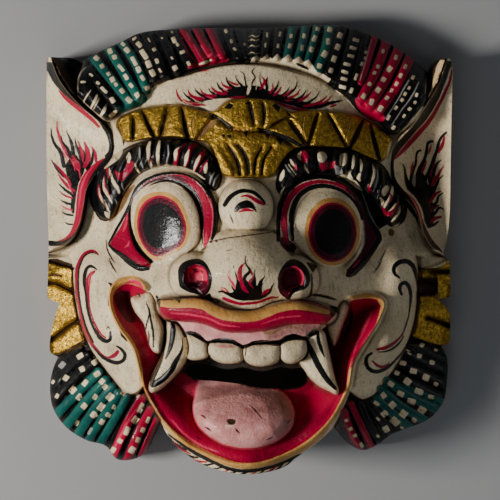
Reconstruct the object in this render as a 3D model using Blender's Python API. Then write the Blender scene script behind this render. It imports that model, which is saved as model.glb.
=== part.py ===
"""A carved and painted barong mask: the solid block, front and hollow back.

The mask is one piece of wood.  Its front is a relief of named features laid
out on a sheet (see below); its back is flat round the rim and hollowed out,
and the open mouth runs right through.  Blender 4.5, metres, +Z out of the
face, +Y towards the crest of the head.
"""
import math

import bmesh
import bpy
import numpy as np
from mathutils.geometry import delaunay_2d_cdt

# ---------------------------------------------------------------- layout
# The front is laid out on a sheet of 500 x 500 units of half a millimetre:
# a runs right and b runs down from the sheet's top left corner, and the
# mask's centre is at (250, 250).  Heights are in millimetres above the flat
# back.  The layout is the front as an eye 1.2 m in front of it sees it, so
# what stands further forward is drawn larger and is brought back in by place().
UNIT = 0.5
MID = 250.0
EYE = 1200.0
EYE_REF = 30.0
BACK_SCALE = (EYE - 18.0) / (EYE - EYE_REF)


def place(a, b, z):
    """Layout point and height -> millimetres, +X right, +Y up the face."""
    s = UNIT * (EYE - z) / (EYE - EYE_REF)
    return (a - MID) * s, (MID - b) * s, z


def smooth(t):
    t = np.clip(t, 0.0, 1.0)
    return t * t * (3.0 - 2.0 * t)


def mix(p, q, t):
    return p + (q - p) * t


def smax(p, q, k):
    h = np.clip(0.5 + 0.5 * (p - q) / k, 0.0, 1.0)
    return mix(q, p, h) + k * h * (1.0 - h)


def path(points, closed=False, step=4.0):
    """A smooth curve through a few named points, evenly sampled."""
    p = np.array(points, float)
    n = len(p)
    if n == 2 and not closed:
        m = max(2, int(np.hypot(*(p[1] - p[0])) / step) + 1)
        return p[0] + (p[1] - p[0]) * np.linspace(0, 1, m)[:, None]
    if closed:
        q = np.vstack([p[-1], p, p[0], p[1]])
        spans = n
    else:
        q = np.vstack([2 * p[0] - p[1], p, 2 * p[-1] - p[-2]])
        spans = n - 1
    out = []
    for i in range(spans):
        a0, a1, a2, a3 = q[i:i + 4]
        d01 = max(np.hypot(*(a1 - a0)), 1e-6) ** 0.5
        d12 = max(np.hypot(*(a2 - a1)), 1e-6) ** 0.5
        d23 = max(np.hypot(*(a3 - a2)), 1e-6) ** 0.5
        m1 = (a2 - a1) + d12 * ((a1 - a0) / d01 - (a2 - a0) / (d01 + d12))
        m2 = (a2 - a1) + d12 * ((a3 - a2) / d23 - (a3 - a1) / (d12 + d23))
        k = max(2, int(d12 * d12 / step * 2) + 1)
        t = np.linspace(0, 1, k, endpoint=False)[:, None]
        out.append((2 * t ** 3 - 3 * t ** 2 + 1) * a1 + (t ** 3 - 2 * t ** 2 + t) * m1
                   + (3 * t ** 2 - 2 * t ** 3) * a2 + (t ** 3 - t ** 2) * m2)
    c = np.vstack(out + ([] if closed else [p[-1:]]))
    loop = np.vstack([c, c[:1]]) if closed else c
    s = np.concatenate([[0], np.cumsum(np.hypot(*np.diff(loop, axis=0).T))])
    m = max(3, int(round(s[-1] / step)))
    u = np.linspace(0, s[-1], m, endpoint=False) if closed else np.linspace(0, s[-1], m + 1)
    return np.stack([np.interp(u, s, loop[:, 0]), np.interp(u, s, loop[:, 1])], 1)


def oval(a, b, ra, rb, turn=0.0, step=4.0):
    """A closed ellipse about (a, b), turned by turn degrees."""
    m = max(12, int(math.pi * (ra + rb) / step))
    t = np.linspace(0, 2 * math.pi, m, endpoint=False)
    c, s = math.cos(math.radians(turn)), math.sin(math.radians(turn))
    x, y = ra * np.cos(t), rb * np.sin(t)
    return np.stack([a + c * x - s * y, b + s * x + c * y], 1)


def near(P, C, reach):
    """Which points lie within reach of the curve's box."""
    lo, hi = C.min(0) - reach, C.max(0) + reach
    return np.flatnonzero((P[:, 0] > lo[0]) & (P[:, 0] < hi[0]) & (P[:, 1] > lo[1]) & (P[:, 1] < hi[1]))


def to_curve(P, C, reach=40.0, closed=False):
    """Distance to a curve (reach where it is further), and how far along it.
    The points P are sorted by a."""
    best = np.full(len(P), float(reach) ** 2)
    along = np.zeros(len(P))
    E = np.vstack([C, C[:1]]) if closed else C
    n = len(E) - 1
    a = P[:, 0]
    lo = np.searchsorted(a, np.minimum(E[:-1, 0], E[1:, 0]) - reach)
    hi = np.searchsorted(a, np.maximum(E[:-1, 0], E[1:, 0]) + reach)
    for k in range(n):
        if hi[k] <= lo[k]:
            continue
        cut = slice(lo[k], hi[k])
        wb = P[cut, 1] - E[k, 1]
        eb = E[k + 1, 1] - E[k, 1]
        i = np.flatnonzero((wb > min(eb, 0) - reach) & (wb < max(eb, 0) + reach))
        if not len(i):
            continue
        i += lo[k]
        e = E[k + 1] - E[k]
        w = P[i] - E[k]
        t = np.clip((w @ e) / max(e @ e, 1e-12), 0.0, 1.0)
        dd = (w[:, 0] - t * e[0]) ** 2 + (w[:, 1] - t * e[1]) ** 2
        m = dd < best[i]
        i = i[m]
        best[i] = dd[m]
        along[i] = (k + t[m]) / n
    return np.sqrt(best), along


def inside(P, C):
    i = near(P, C, 0.0)
    r = np.zeros(len(P), bool)
    if not len(i):
        return r
    x, y = P[i, 0], P[i, 1]
    c = np.zeros(len(i), bool)
    n = len(C)
    for k in range(n):
        x1, y1 = C[k]
        x2, y2 = C[(k + 1) % n]
        if y1 == y2:
            continue
        hit = ((y1 > y) != (y2 > y)) & (x < (x2 - x1) * (y - y1) / (y2 - y1) + x1)
        c ^= hit
    r[i] = c
    return r


def depth_in(P, C, reach=40.0):
    """How far inside a closed curve a point is (negative outside)."""
    d, _ = to_curve(P, C, reach, closed=True)
    return np.where(inside(P, C), d, -d)


def fit_heights(table):
    """A thin plate through named heights {(a, b): z}."""
    p = np.array(list(table.keys()), float) / 100.0
    z = np.array(list(table.values()), float)
    n = len(p)
    r2 = ((p[:, None] - p[None]) ** 2).sum(2)
    K = 0.5 * r2 * np.log(r2 + 1e-9)
    A = np.zeros((n + 3, n + 3))
    A[:n, :n] = K + 1e-4 * np.eye(n)
    A[:n, n] = A[n, :n] = 1
    A[:n, n + 1:] = p
    A[n + 1:, :n] = p.T
    w = np.linalg.solve(A, np.concatenate([z, [0, 0, 0]]))

    def height(P):
        q = P / 100.0
        h = w[n] + q @ w[n + 1:]
        for k in range(n):
            s = (q[:, 0] - p[k, 0]) ** 2 + (q[:, 1] - p[k, 1]) ** 2
            h = h + w[k] * 0.5 * s * np.log(s + 1e-9)
        return h
    return height


# ---------------------------------------------------------------- outline
CREST_EDGE = [(81, 62), (97, 53), (121, 42), (140, 33), (170, 29.5), (215, 28), (252, 28.5),
              (290, 26.5), (336, 25.5), (362, 31), (386, 42), (406, 54), (428, 73)]
EAR_R_TOP = [(428, 73), (433, 63), (441, 59), (450, 59), (453, 66)]
EAR_R_SIDE = [(453, 66), (451.5, 115), (450.5, 170), (449.5, 215), (447, 238), (443, 254)]
LEAF_R = [(443, 254), (449, 262), (450, 280), (449.5, 297), (437.5, 298.5)]
LEAF_R2 = [(437.5, 298.5), (449, 312), (450, 328), (448.5, 343), (441, 346)]
TUFT_R_EDGE = [(441, 346), (447, 358), (447, 380), (443, 402), (430, 418), (408, 428), (392, 434),
               (377, 445), (363, 450), (348, 443), (334, 427)]
CHIN_EDGE = [(334, 427), (318, 442), (300, 455), (284, 467), (262, 473), (240, 474), (218, 469.5),
             (198, 462), (178, 447), (167, 434), (161, 422)]
TUFT_L_EDGE = [(161, 422), (154, 436), (147, 451), (134, 459), (117, 459), (106, 446), (86, 440),
               (66, 427), (53, 408), (50, 386), (53, 369), (58, 357)]
LEAF_L2 = [(58, 357), (50.5, 352), (51, 334), (56, 314), (60, 303)]
LEAF_L = [(60, 303), (48.5, 298), (48, 278), (48.5, 258)]
EAR_L_SIDE = [(48.5, 258), (48.5, 235), (47, 190), (46.5, 120), (46.5, 68)]
EAR_L_TOP = [(46.5, 68), (47.5, 58), (58, 57.5), (72, 58.5), (81, 62)]
EDGES = [CREST_EDGE, EAR_R_TOP, EAR_R_SIDE, LEAF_R, LEAF_R2, TUFT_R_EDGE, CHIN_EDGE,
         TUFT_L_EDGE, LEAF_L2, LEAF_L, EAR_L_SIDE, EAR_L_TOP]


def outline(step):
    """The whole silhouette: the named edges joined corner to corner."""
    return np.vstack([path(e, step=step)[:-1] for e in EDGES])


# the opening right through the mouth, between the teeth and the tongue
MOUTH_HOLE = [(187, 371), (192, 364.5), (203, 364), (213, 366), (227, 369.5), (243, 367.5),
              (262, 371.5), (280, 367.5), (292, 369), (301, 368), (307, 375), (303, 384),
              (285, 388), (262, 388), (240, 384), (215, 381), (197, 379)]

# ---------------------------------------------------------------- the head
HEAD_HEIGHTS = {
    (250, 60): 48, (180, 75): 45, (320, 80): 45, (140, 100): 40, (362, 112): 40,
    (250, 95): 55, (200, 122): 55, (300, 124): 55, (150, 124): 48, (352, 130): 47,
    (250, 160): 63, (204, 158): 60, (290, 160): 60, (160, 152): 53, (335, 157): 53,
    (112, 160): 38, (386, 172): 38, (96, 215): 34, (404, 225): 34,
    (245, 200): 68, (211, 205): 63, (281, 207): 63, (165, 222): 57, (327, 226): 57,
    (117, 222): 42, (376, 226): 42, (72, 252): 27, (428, 256): 27,
    (245, 245): 76, (204, 252): 69, (288, 256): 69, (150, 270): 61, (342, 274): 61,
    (112, 262): 50, (380, 264): 50, (88, 262): 40, (409, 262): 40,
    (245, 300): 84, (200, 300): 77, (295, 302): 77, (160, 300): 67, (335, 306): 67,
    (118, 300): 57, (375, 304): 57, (80, 300): 39, (412, 300): 39,
    (104, 340): 53, (392, 340): 53, (86, 335): 38, (406, 338): 38, (132, 345): 60, (362, 345): 60,
    (128, 378): 54, (366, 378): 54, (108, 378): 38, (388, 378): 38,
    (148, 400): 63, (344, 402): 63, (176, 436): 70, (316, 436): 70, (247, 464): 78,
    (250, 474): 74, (198, 463): 66, (300, 456): 66, (245, 350): 84, (245, 400): 80,
}

# ---------------------------------------------------------------- hair crest
CREST_INNER = [(76, 97), (92, 111), (108, 121), (122, 113), (143, 104), (148, 92), (160, 84),
               (184, 76), (205, 69.5), (228, 65), (252, 64), (278, 67.5), (303, 74), (326, 84),
               (345, 97), (361, 114), (378, 122), (392, 136), (408, 127), (421, 112), (428, 98)]
# locks of hair: (outer end, middle, inner end, width)
LOCKS = {
    "k1": [(83, 68), (91, 92), (106, 116), 13], "k2": [(89, 70), (103, 88), (117, 108), 10],
    "g1": [(93, 57), (112, 80), (130, 103), 12], "g2": [(109, 48), (122, 70), (138, 97), 12],
    "g3": [(122, 43), (134, 61), (147, 90), 11], "k3": [(133, 37), (145, 55), (156, 82), 11],
    "k4": [(146, 34), (157, 58), (166, 80), 11], "k5": [(160, 31), (171, 56), (177, 72), 10],
    "k6": [(171, 31), (182, 51), (190, 66), 10], "r1": [(184, 30), (194, 46), (203, 61), 10],
    "r2": [(197, 29), (206, 46), (214, 58), 10], "r3": [(210, 29), (217, 44), (222, 55), 10],
    "k7": [(226, 28), (231, 42), (239, 58), 10], "k8": [(239, 29), (243, 43), (247, 56), 9],
    "k9": [(258, 29), (254, 42), (253, 58), 9], "k10": [(268, 28), (266, 41), (264, 55), 9],
    "k11": [(280, 27), (278, 41), (276, 56), 10], "g4": [(293, 28), (290, 42), (287, 57), 10],
    "g5": [(306, 27), (303, 42), (298, 58), 10], "g6": [(317, 27), (313, 43), (308, 60), 9],
    "g7": [(330, 27), (325, 51), (318, 69), 12], "k12": [(342, 28), (336, 50), (329, 72), 11],
    "k13": [(356, 32), (348, 60), (343, 88), 14], "k14": [(365, 35), (360, 62), (351, 92), 9],
    "r4": [(375, 37), (367, 62), (361, 82), 9], "r5": [(386, 43), (377, 68), (363, 97), 12],
    "r6": [(399, 50), (388, 74), (371, 104), 13], "r7": [(410, 57), (398, 84), (380, 110), 12],
    "k15": [(418, 66), (406, 92), (388, 118), 11], "k16": [(424, 74), (413, 102), (394, 127), 11],
    "k17": [(428, 84), (421, 106), (406, 128), 9],
}
CREST_IN, CREST_OUT = 47.0, 21.0        # heights at the inner and outer edge

# ---------------------------------------------------------------- ears
EAR_L_RIM = [(50, 52), (54, 62), (60, 77), (72, 94), (90, 112), (103, 123), (112, 136), (113.5, 150),
             (108, 163), (98, 174), (89, 188), (85, 206), (81, 224), (74, 238), (62, 247), (48, 252)]
EAR_R_RIM = [(449, 52), (444, 64), (438, 82), (427, 101), (411, 125), (399, 138), (392, 152),
             (392, 170), (398, 185), (411, 200), (418, 214), (422, 232), (431, 248), (444, 256)]
EAR_RIM = 39.0
EAR_L_EDGE, EAR_L_SINK = 25.0, 1.5      # the left ear slopes evenly out to its edge
EAR_R_EDGE, EAR_R_SINK = 30.0, 14.0     # the right one is hollowed
WEDGE_L = [(50, 52), (84, 54), (82, 66), (77, 78), (76, 97), (72, 94), (60, 77), (54, 62)]
WEDGE_R = [(449, 52), (431, 55), (428, 73), (427, 86), (427, 101), (438, 82), (444, 64)]

# ---------------------------------------------------------------- sides
CHEEK_L = [(72, 256), (73, 275), (75, 296), (79, 318), (85, 336), (93, 352), (104, 367), (115, 381),
           (126, 393), (136, 394), (143, 388)]
CHEEK_R = [(416, 256), (418.5, 276), (417, 300), (414, 322), (408, 342), (398, 362), (386, 379),
           (374, 394), (362, 399), (350, 392)]
LEAF_TOP_L = [(30, 261), (48, 262), (60, 266), (72, 268)]
LEAF_TOP_R = [(470, 252), (449, 259), (436, 265), (419, 270)]
LEAF_LOW_L = [(88, 342), (74, 349), (58, 356), (30, 360)]
LEAF_LOW_R = [(407, 336), (424, 341), (441, 346), (470, 350)]
LEAF_IN, LEAF_SLOPE = 31.0, 0.26        # height against the cheek, fall a unit outwards
LEAF_R_HOLLOW = 4.0                     # the right leaf is cut deeper along the cheek
# cuts that fan out over the gilt leaves
LEAF_CUTS = [[(73, 291), (66, 288), (58, 284), (48, 283)], [(80, 320), (70, 326), (60, 334), (51, 340)],
             [(420, 282), (428, 280.5), (434, 283)], [(427, 318), (437, 321), (449, 326)]]
TUFT_IN, TUFT_OUT = 36.0, 15.0
TUFT_LOCKS = {
    "k1": [(78, 349), (64, 358), (53, 372), 11], "k2": [(86, 356), (68, 368), (52, 388), 11],
    "k3": [(93, 364), (74, 378), (54, 401), 11], "g1": [(99, 372), (80, 390), (59, 412), 11],
    "g2": [(106, 380), (87, 400), (68, 424), 11], "g3": [(112, 387), (96, 407), (79, 433), 11],
    "g4": [(119, 393), (105, 414), (90, 438), 10], "g5": [(127, 397), (114, 420), (101, 442), 10],
    "r1": [(142, 398), (127, 424), (114, 453), 12], "r2": [(150, 410), (140, 430), (128, 458), 12],
    "r3": [(156, 420), (149, 438), (141, 456), 8],
    "K1": [(411, 344), (428, 349), (445, 356), 11], "K2": [(406, 353), (424, 360), (446, 369), 12],
    "K3": [(400, 363), (420, 372), (446, 384), 12], "K4": [(393, 373), (413, 384), (443, 398), 12],
    "G1": [(387, 381), (408, 395), (436, 409), 11], "G2": [(381, 389), (401, 406), (424, 420), 11],
    "G3": [(377, 398), (392, 413), (408, 426), 11], "K5": [(369, 402), (380, 418), (392, 433), 10],
    "K6": [(360, 403), (370, 425), (380, 441), 9], "R1": [(351, 403), (361, 425), (371, 446), 9],
    "R2": [(344, 412), (350, 430), (359, 448), 11],
}

# ---------------------------------------------------------------- tiara
TIARA = [(116, 128), (119, 119), (142, 109), (178, 105), (200, 110), (213, 112), (228, 101),
         (250, 98.5), (272, 101), (290, 112), (302, 111), (338, 112), (360, 117), (378, 127),
         (391, 138), (389, 150), (382, 161), (366, 157), (345, 149), (325, 147), (303, 147),
         (291, 152), (281, 164), (272, 176), (246, 177.5), (223, 175), (217, 161), (209, 144),
         (196, 140), (170, 137), (145, 139), (124, 141)]
TIARA_UP = 4.5
# V cuts across the band, (top end, bottom end)
TIARA_CUTS = [[(133, 115), (133, 139)], [(142, 109), (155, 137)], [(168, 106), (160, 137)],
              [(182, 107), (188, 139)], [(213, 118), (197, 140)], [(290, 120), (306, 143)],
              [(317, 115), (309, 145)], [(327, 112), (347, 148)], [(363, 120), (350, 149)],
              [(371, 126), (379, 160)]]
TIARA_FOLD = [[(200, 110), (216, 117), (233, 129), (262, 131), (279, 122), (291, 114)],
              [(262, 131), (280, 137), (296, 148)]]
TIARA_RAYS = [[(249, 101), (251, 113), (254, 124)], [(262, 101), (264, 113), (263, 126)],
              [(229, 147), (236, 158), (240, 174)], [(238, 145), (246, 158), (248, 174)],
              [(262, 148), (256, 160), (255, 174)], [(272, 147), (264, 160), (262, 174)]]

# facets cut at a slant: (corners, where level, rise a unit to the right)
TIARA_FACETS = [([(116, 121), (131, 116), (131, 138), (124, 140)], 128, 0.16),
                ([(136, 127), (149, 126), (153, 138), (136, 139)], 144, 0.20),
                ([(161, 126), (170, 126), (186, 135), (186, 139), (160, 137)], 172, 0.13),
                ([(209, 144), (214, 142), (232, 168), (232, 176), (223, 176)], 214, 0.12)]

# ---------------------------------------------------------------- brows
BROW_L = [(97, 214), (90, 196), (94, 178), (106, 163), (126, 149), (148, 140.5), (170, 138.5),
          (190, 141), (206, 149), (216, 162), (221, 178), (215, 190), (204, 180), (190, 171),
          (170, 166), (150, 169), (135, 178), (124, 194), (112, 218), (103, 220)]
BROW_R = [(277, 188), (281, 168), (291, 153), (306, 147.5), (328, 148), (350, 150), (368, 158),
          (384, 168), (392, 184), (401, 196), (406, 210), (402, 222), (392, 226), (379, 213),
          (371, 198), (360, 187), (345, 178), (326, 173), (307, 175), (293, 185), (284, 196)]
BROW_UP = 7.0
BROW_LOCKS = [
    [(141, 146), (138, 158), (132, 170), 6], [(150, 142), (148, 155), (144, 168), 6],
    [(160, 140), (159, 153), (156, 166), 6], [(169, 140), (169, 153), (167, 166), 6],
    [(179, 142), (177, 153), (175, 165), 6], [(191, 143), (188, 154), (186, 166), 6],
    [(203, 150), (199, 159), (194, 170), 6], [(211, 159), (206, 168), (201, 176), 6],
    [(128, 151), (120, 166), (117, 182), 7], [(114, 160), (107, 176), (107, 192), 7],
    [(101, 172), (98, 188), (102, 208), 7],
    [(296, 158), (298, 168), (301, 178), 6], [(306, 152), (309, 162), (311, 173), 7],
    [(321, 151), (322, 161), (323, 172), 8], [(337, 151), (337, 162), (337, 172), 7],
    [(346, 152), (345, 164), (343, 175), 6], [(354, 155), (354, 167), (351, 179), 6],
    [(363, 158), (362, 171), (358, 184), 6], [(375, 164), (374, 178), (367, 192), 7],
    [(383, 172), (383, 186), (378, 200), 6], [(392, 186), (390, 198), (385, 208), 6],
    [(399, 197), (395, 208), (389, 216), 6], [(404, 206), (399, 215), (394, 222), 5],
]

# ---------------------------------------------------------------- eyes
EYE_L = [(129.5, 222), (134, 203), (146, 188), (163, 181), (181, 186), (194, 200), (200, 220),
         (199, 240), (188, 253), (172, 262), (152, 262), (137, 249)]
EYE_R = [(363, 232), (359, 211), (347, 195), (330, 188), (312, 192), (300, 204), (294.5, 222),
         (294, 241), (306, 255), (322, 265), (341, 266), (355, 254)]
LID_L = [(118, 214), (124, 196), (137, 181), (154, 173), (174, 171), (194, 176), (209, 189),
         (217, 207), (217, 228), (210, 243), (199, 252), (203, 232), (199, 208), (188, 191),
         (165, 181), (147, 188), (135, 202), (129.5, 222), (137, 249), (150, 263), (140, 266),
         (124, 258), (108, 246)]
LID_R = [(278, 240), (277, 216), (283, 195), (298, 181), (318, 176), (338, 179), (357, 192),
         (369, 210), (378, 226), (383, 238), (374, 254), (360, 268), (349, 277), (346, 268),
         (356, 254), (363, 232), (359, 211), (347, 195), (330, 188), (312, 192), (300, 204),
         (294.5, 222), (294, 242), (286, 247)]
PUPIL_L = (161.5, 226, 19.5, 23)
PUPIL_R = (334, 231, 19.5, 26.5)
EYE_UP, LID_UP = 9.0, 4.0
EYE_LEAN = ((0.40, 0.50), (0.0, 0.0))     # how far each bulge leans, right and up

# ---------------------------------------------------------------- nose
NUB = (246, 208, 27, 28)
NOSE_BALLS = [(246, 270, 47, 40, 72, 23), (197, 277, 27, 25, 68, 19), (293, 280, 26, 25, 68, 19),
              (246, 243, 40, 14, 70, 11), (222, 276, 38, 26, 70, 20), (270, 277, 38, 26, 70, 20)]
NOSTRIL_L = (196, 278, 13, 14)
NOSTRIL_R = (292.5, 280, 13, 14)
NOSTRIL_DEEP = 7.0

# ---------------------------------------------------------------- mouth
RIM = [(145, 288), (138, 279), (126, 278.5), (113, 288), (111, 304), (119, 325), (133, 345),
       (140, 368), (143, 388), (152, 405), (165, 425), (184, 443), (205, 455), (235, 465),
       (262, 463.5), (288, 454), (310, 441), (330, 422), (341, 404), (348.5, 385), (353, 362),
       (365, 341), (379, 317), (383, 302), (373, 296), (352, 298)]
RIM_UP = 3.0
RIM_R_PROUD = 7.5       # the rim stands higher beside the right cheek
RECESS_TOP = [(352, 298), (340, 312), (325, 328), (305, 337), (275, 342), (245, 345), (215, 341),
              (185, 334), (165, 320), (152, 300), (145, 288)]
LIP = [(157, 304), (162, 298.5), (180, 298), (203, 298), (218, 304.5), (240, 310), (258, 310),
       (276, 304.5), (298, 300.5), (314, 303), (330, 308), (337, 314), (330, 323), (312, 324),
       (290, 324.5), (268, 330), (245, 332.5), (222, 331), (203, 323.5), (180, 321), (163, 318)]
GUM = [(172, 320), (203, 322), (224, 329), (245, 331), (268, 328), (290, 323), (322, 324),
       (318, 330), (306, 337), (295, 334), (281, 340), (262, 342), (244, 346), (228, 342),
       (207, 342), (196, 336), (185, 336), (178, 330)]
TEETH = [
    [(184, 337), (196, 335), (207, 342), (209, 352), (208, 357), (196, 360.5), (188, 359), (183, 350)],
    [(209, 343), (225, 342), (242, 346), (244, 355), (243, 361), (228, 364), (215, 360.5), (208, 354)],
    [(244, 346), (262, 344), (280, 344), (281, 353), (278, 362), (262, 366.5), (249, 364), (243, 358)],
    [(281, 343), (293, 339), (306, 339), (308, 350), (304, 358), (292, 364), (282, 361), (279, 352)],
]
TONGUE = [(201, 377), (195, 392), (192, 407), (196, 424), (207, 436), (225, 446), (247, 449.5),
          (266, 447), (282, 439), (293, 427), (295, 410), (285, 393), (262, 385), (230, 380)]
FANG_L = [(167, 322), (175, 321), (182, 327), (187, 336), (189.5, 347), (188, 357), (183, 366),
          (175, 376), (166, 385), (157, 391.5), (151, 392.5), (149, 388), (150, 382), (153, 374),
          (158, 364), (162.5, 354), (165.5, 344), (166.8, 333)]
FANG_R = [(306, 337), (316, 329), (324, 331), (328, 345), (331, 358), (333.5, 370), (336.5, 382),
          (339, 390), (337.5, 394.5), (330, 391.5), (320, 386.5), (310, 378), (304, 369.5),
          (299, 361), (305.5, 357), (308, 348)]
TUSK_L = [(131, 298), (136, 295.5), (143, 294), (150, 292), (156, 301), (160, 315), (164.5, 328),
          (164, 340), (161, 353), (154, 352), (149, 344), (146.5, 333), (143.5, 323), (139, 317),
          (134, 310)]
TUSK_R = [(344, 300), (348.5, 303), (348, 312), (344.5, 322), (341, 332), (337, 343), (334, 347.5),
          (331, 341), (328, 333), (326, 325), (330, 320), (336, 314), (338, 306)]
LIP_UP = 7.0


class Carving:
    """The front: heights at layout points, built up feature by feature."""

    def __init__(self, step=3.0):
        c = lambda p: path(p, closed=True, step=step)
        o = lambda p: path(p, step=step)
        self.head = fit_heights(HEAD_HEIGHTS)
        self.outline = outline(step)
        out = np.array([(30, 20), (470, 20), (470, 480), (30, 480)], float)
        self.crest = np.vstack([o(CREST_INNER), [(430, 60), (440, 10), (60, 10), (78, 60)]])
        self.crest_in = o(CREST_INNER)
        self.ear_l = np.vstack([o(EAR_L_RIM), [(20, 252), (20, 52)]])
        self.ear_r = np.vstack([o(EAR_R_RIM), [(480, 256), (480, 52)]])
        self.wedge_l, self.wedge_r = np.array(WEDGE_L, float), np.array(WEDGE_R, float)
        self.side_l = np.vstack([o(CHEEK_L), [(150, 402), (161, 420), (161, 480), (20, 480), (20, 256)]])
        self.side_r = np.vstack([o(CHEEK_R), [(346, 402), (334, 426), (334, 480), (480, 480), (480, 256)]])
        self.leaf_l = np.vstack([o(LEAF_TOP_L), o(CHEEK_L)[3:], [(80, 480), (20, 480)]])
        self.leaf_l = np.vstack([o(LEAF_TOP_L), [(78, 300), (92, 341)], o(LEAF_LOW_L)])
        self.leaf_r = np.vstack([o(LEAF_TOP_R), [(412, 300), (404, 335)], o(LEAF_LOW_R)])
        self.locks = [(o(v[:3]), v[3]) for v in LOCKS.values()]
        self.tuft_locks = [(o(v[:3]), v[3]) for v in TUFT_LOCKS.values()]
        self.brow_locks = [(o(v[:3]), v[3]) for v in BROW_LOCKS]
        self.tiara = c(TIARA)
        self.brows = [c(BROW_L), c(BROW_R)]
        self.eyes = [c(EYE_L), c(EYE_R)]
        self.lids = [c(LID_L), c(LID_R)]
        self.mouth = np.vstack([o(RIM), o(RECESS_TOP)[1:-1]])
        self.rim = o(RIM)
        self.hole = c(MOUTH_HOLE)
        self.lip, self.gum, self.tongue = c(LIP), c(GUM), c(TONGUE)
        self.teeth = [c(t) for t in TEETH]
        self.fangs = [c(FANG_L), c(FANG_R)]
        self.tusks = [c(TUSK_L), c(TUSK_R)]

    @staticmethod
    def over(z, d, height, edge):
        """Lay a height over z where d > 0, with a cut edge this wide."""
        return mix(z, height, smooth(0.5 + d / edge))

    @staticmethod
    def round_top(d, width):
        """0 at an edge, 1 from width in, with a round shoulder."""
        t = np.clip(d / width, 0.0, 1.0)
        return np.sqrt(1.0 - (1.0 - t) ** 2)

    def ribs(self, P, locks, up):
        """Rounded locks of hair: the height of the nearest one."""
        best = np.zeros(len(P))
        for c, w in locks:
            d, _ = to_curve(P, c, w)
            t = np.clip(1.0 - (d / (0.54 * w)) ** 2, 0.0, 1.0)
            best = np.maximum(best, up * np.sqrt(t))
        return best

    def cut(self, z, P, points, width, deep):
        """A V shaped cut along a line."""
        c = path(points, step=3.0)
        d, t = to_curve(P, c, width)
        return z - deep * (1.0 - np.clip(d / width, 0, 1))

    def heights(self, P):
        order = np.argsort(P[:, 0], kind="stable")
        z = np.empty(len(P))
        z[order] = self.sorted_heights(P[order])
        return z

    def sorted_heights(self, P):
        a, b = P[:, 0], P[:, 1]
        over, top = self.over, self.round_top
        z = self.head(P)
        edge_d, _ = to_curve(P, self.outline, 75.0, closed=True)

        # cheeks: a swelling along each lobe, the right one the rounder
        for line, up, wide in (([(98, 268), (99, 300), (108, 336), (124, 368)], 3.5, 30),
                               ([(399, 262), (401, 290), (397, 320), (388, 345), (376, 370)], 8.5, 27)):
            d, t = to_curve(P, path(line), 30)
            z = z + up * smooth(1 - d / wide)

        # tiara
        d = depth_in(P, self.tiara, 12)
        z = z + TIARA_UP * smooth(0.5 + d / 3.0)
        for cutline in TIARA_CUTS:
            z = self.cut(z, P, cutline, 4.0, 2.2)
        for cutline in TIARA_FOLD:
            z = self.cut(z, P, cutline, 4.0, 2.0)
        for cutline in TIARA_RAYS:
            z = self.cut(z, P, cutline, 3.0, 1.6)
        for facet, a0, rise in TIARA_FACETS:
            d = depth_in(P, np.array(facet, float), 6)
            z = z + rise * (a - a0) * smooth(0.5 + d / 5.0)

        # eyeballs and lids, then the brows over them
        for eye, lid, lean in zip(self.eyes, self.lids, EYE_LEAN):
            d = depth_in(P, lid, 14)
            z = z + LID_UP * smooth(0.5 + d / 3.0) * (0.7 + 0.3 * top(d, 8))
            d = depth_in(P, eye, 4)
            c, h = (eye.min(0) + eye.max(0)) / 2, (eye.max(0) - eye.min(0)) / 2 + 4
            r = ((a - c[0]) / h[0]) ** 2 + ((b - c[1]) / h[1]) ** 2
            bulge = 1 + lean[0] * (a - c[0]) / h[0] - lean[1] * (b - c[1]) / h[1]
            z = z + (EYE_UP * np.sqrt(np.clip(1 - r, 0, 1)) * bulge - 1.5) * smooth(0.5 + d / 2.0)
        rib = self.ribs(P, self.brow_locks, 2.0)
        for brow in self.brows:
            d = depth_in(P, brow, 16)
            z = z + (BROW_UP * top(d, 13) + rib) * smooth(0.5 + d / 2.5)

        # nose: a small nub between the eyes over a broad round nose
        ca, cb, ra, rb = NUB
        r = ((a - ca) / ra) ** 2 + ((b - cb) / rb) ** 2
        z = smax(z, 68 + 13 * np.sqrt(np.clip(1 - r, 0, 1)) - 60 * np.clip(r - 1, 0, 1), 1.0)
        for ca, cb, ra, rb, low, up in NOSE_BALLS:
            r = ((a - ca) / ra) ** 2 + ((b - cb) / rb) ** 2
            z = smax(z, low + up * np.sqrt(np.clip(1 - r, 0, 1)) - 60 * np.clip(r - 1, 0, 1), 5.0)
        for ca, cb, ra, rb in (NOSTRIL_L, NOSTRIL_R):
            r = np.sqrt(((a - ca) / ra) ** 2 + ((b - cb) / rb) ** 2)
            z = z - NOSTRIL_DEEP * smooth((1.0 - r) / 0.45)

        # mouth: the recess falls away inside the rim
        d_in = depth_in(P, self.mouth, 60)
        d_rim, _ = to_curve(P, self.rim, 60)
        wide = mix(26.0, 54.0, smooth((b - 365) / 60))
        deep = mix(22.0, 27.0, smooth((b - 365) / 60))
        deep = deep - 10.0 * smooth((170 - a) / 16) * smooth((384 - b) / 30)    # shallow by the left tusk
        floor = self.head(P) - deep * smooth(d_rim / wide)
        z = over(z, d_in, floor, 2.5)
        z = z + RIM_UP * smooth(1 - (d_rim - 0.5) / 5.5) * smooth((b - 276) / 8)
        proud = RIM_R_PROUD * smooth((a - 338) / 16) * smooth((b - 290) / 16) * smooth((412 - b) / 34)
        z = z + proud * np.where(d_in > 0, smooth(1 - d_rim / 24), smooth(1 - d_rim / 5))

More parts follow.
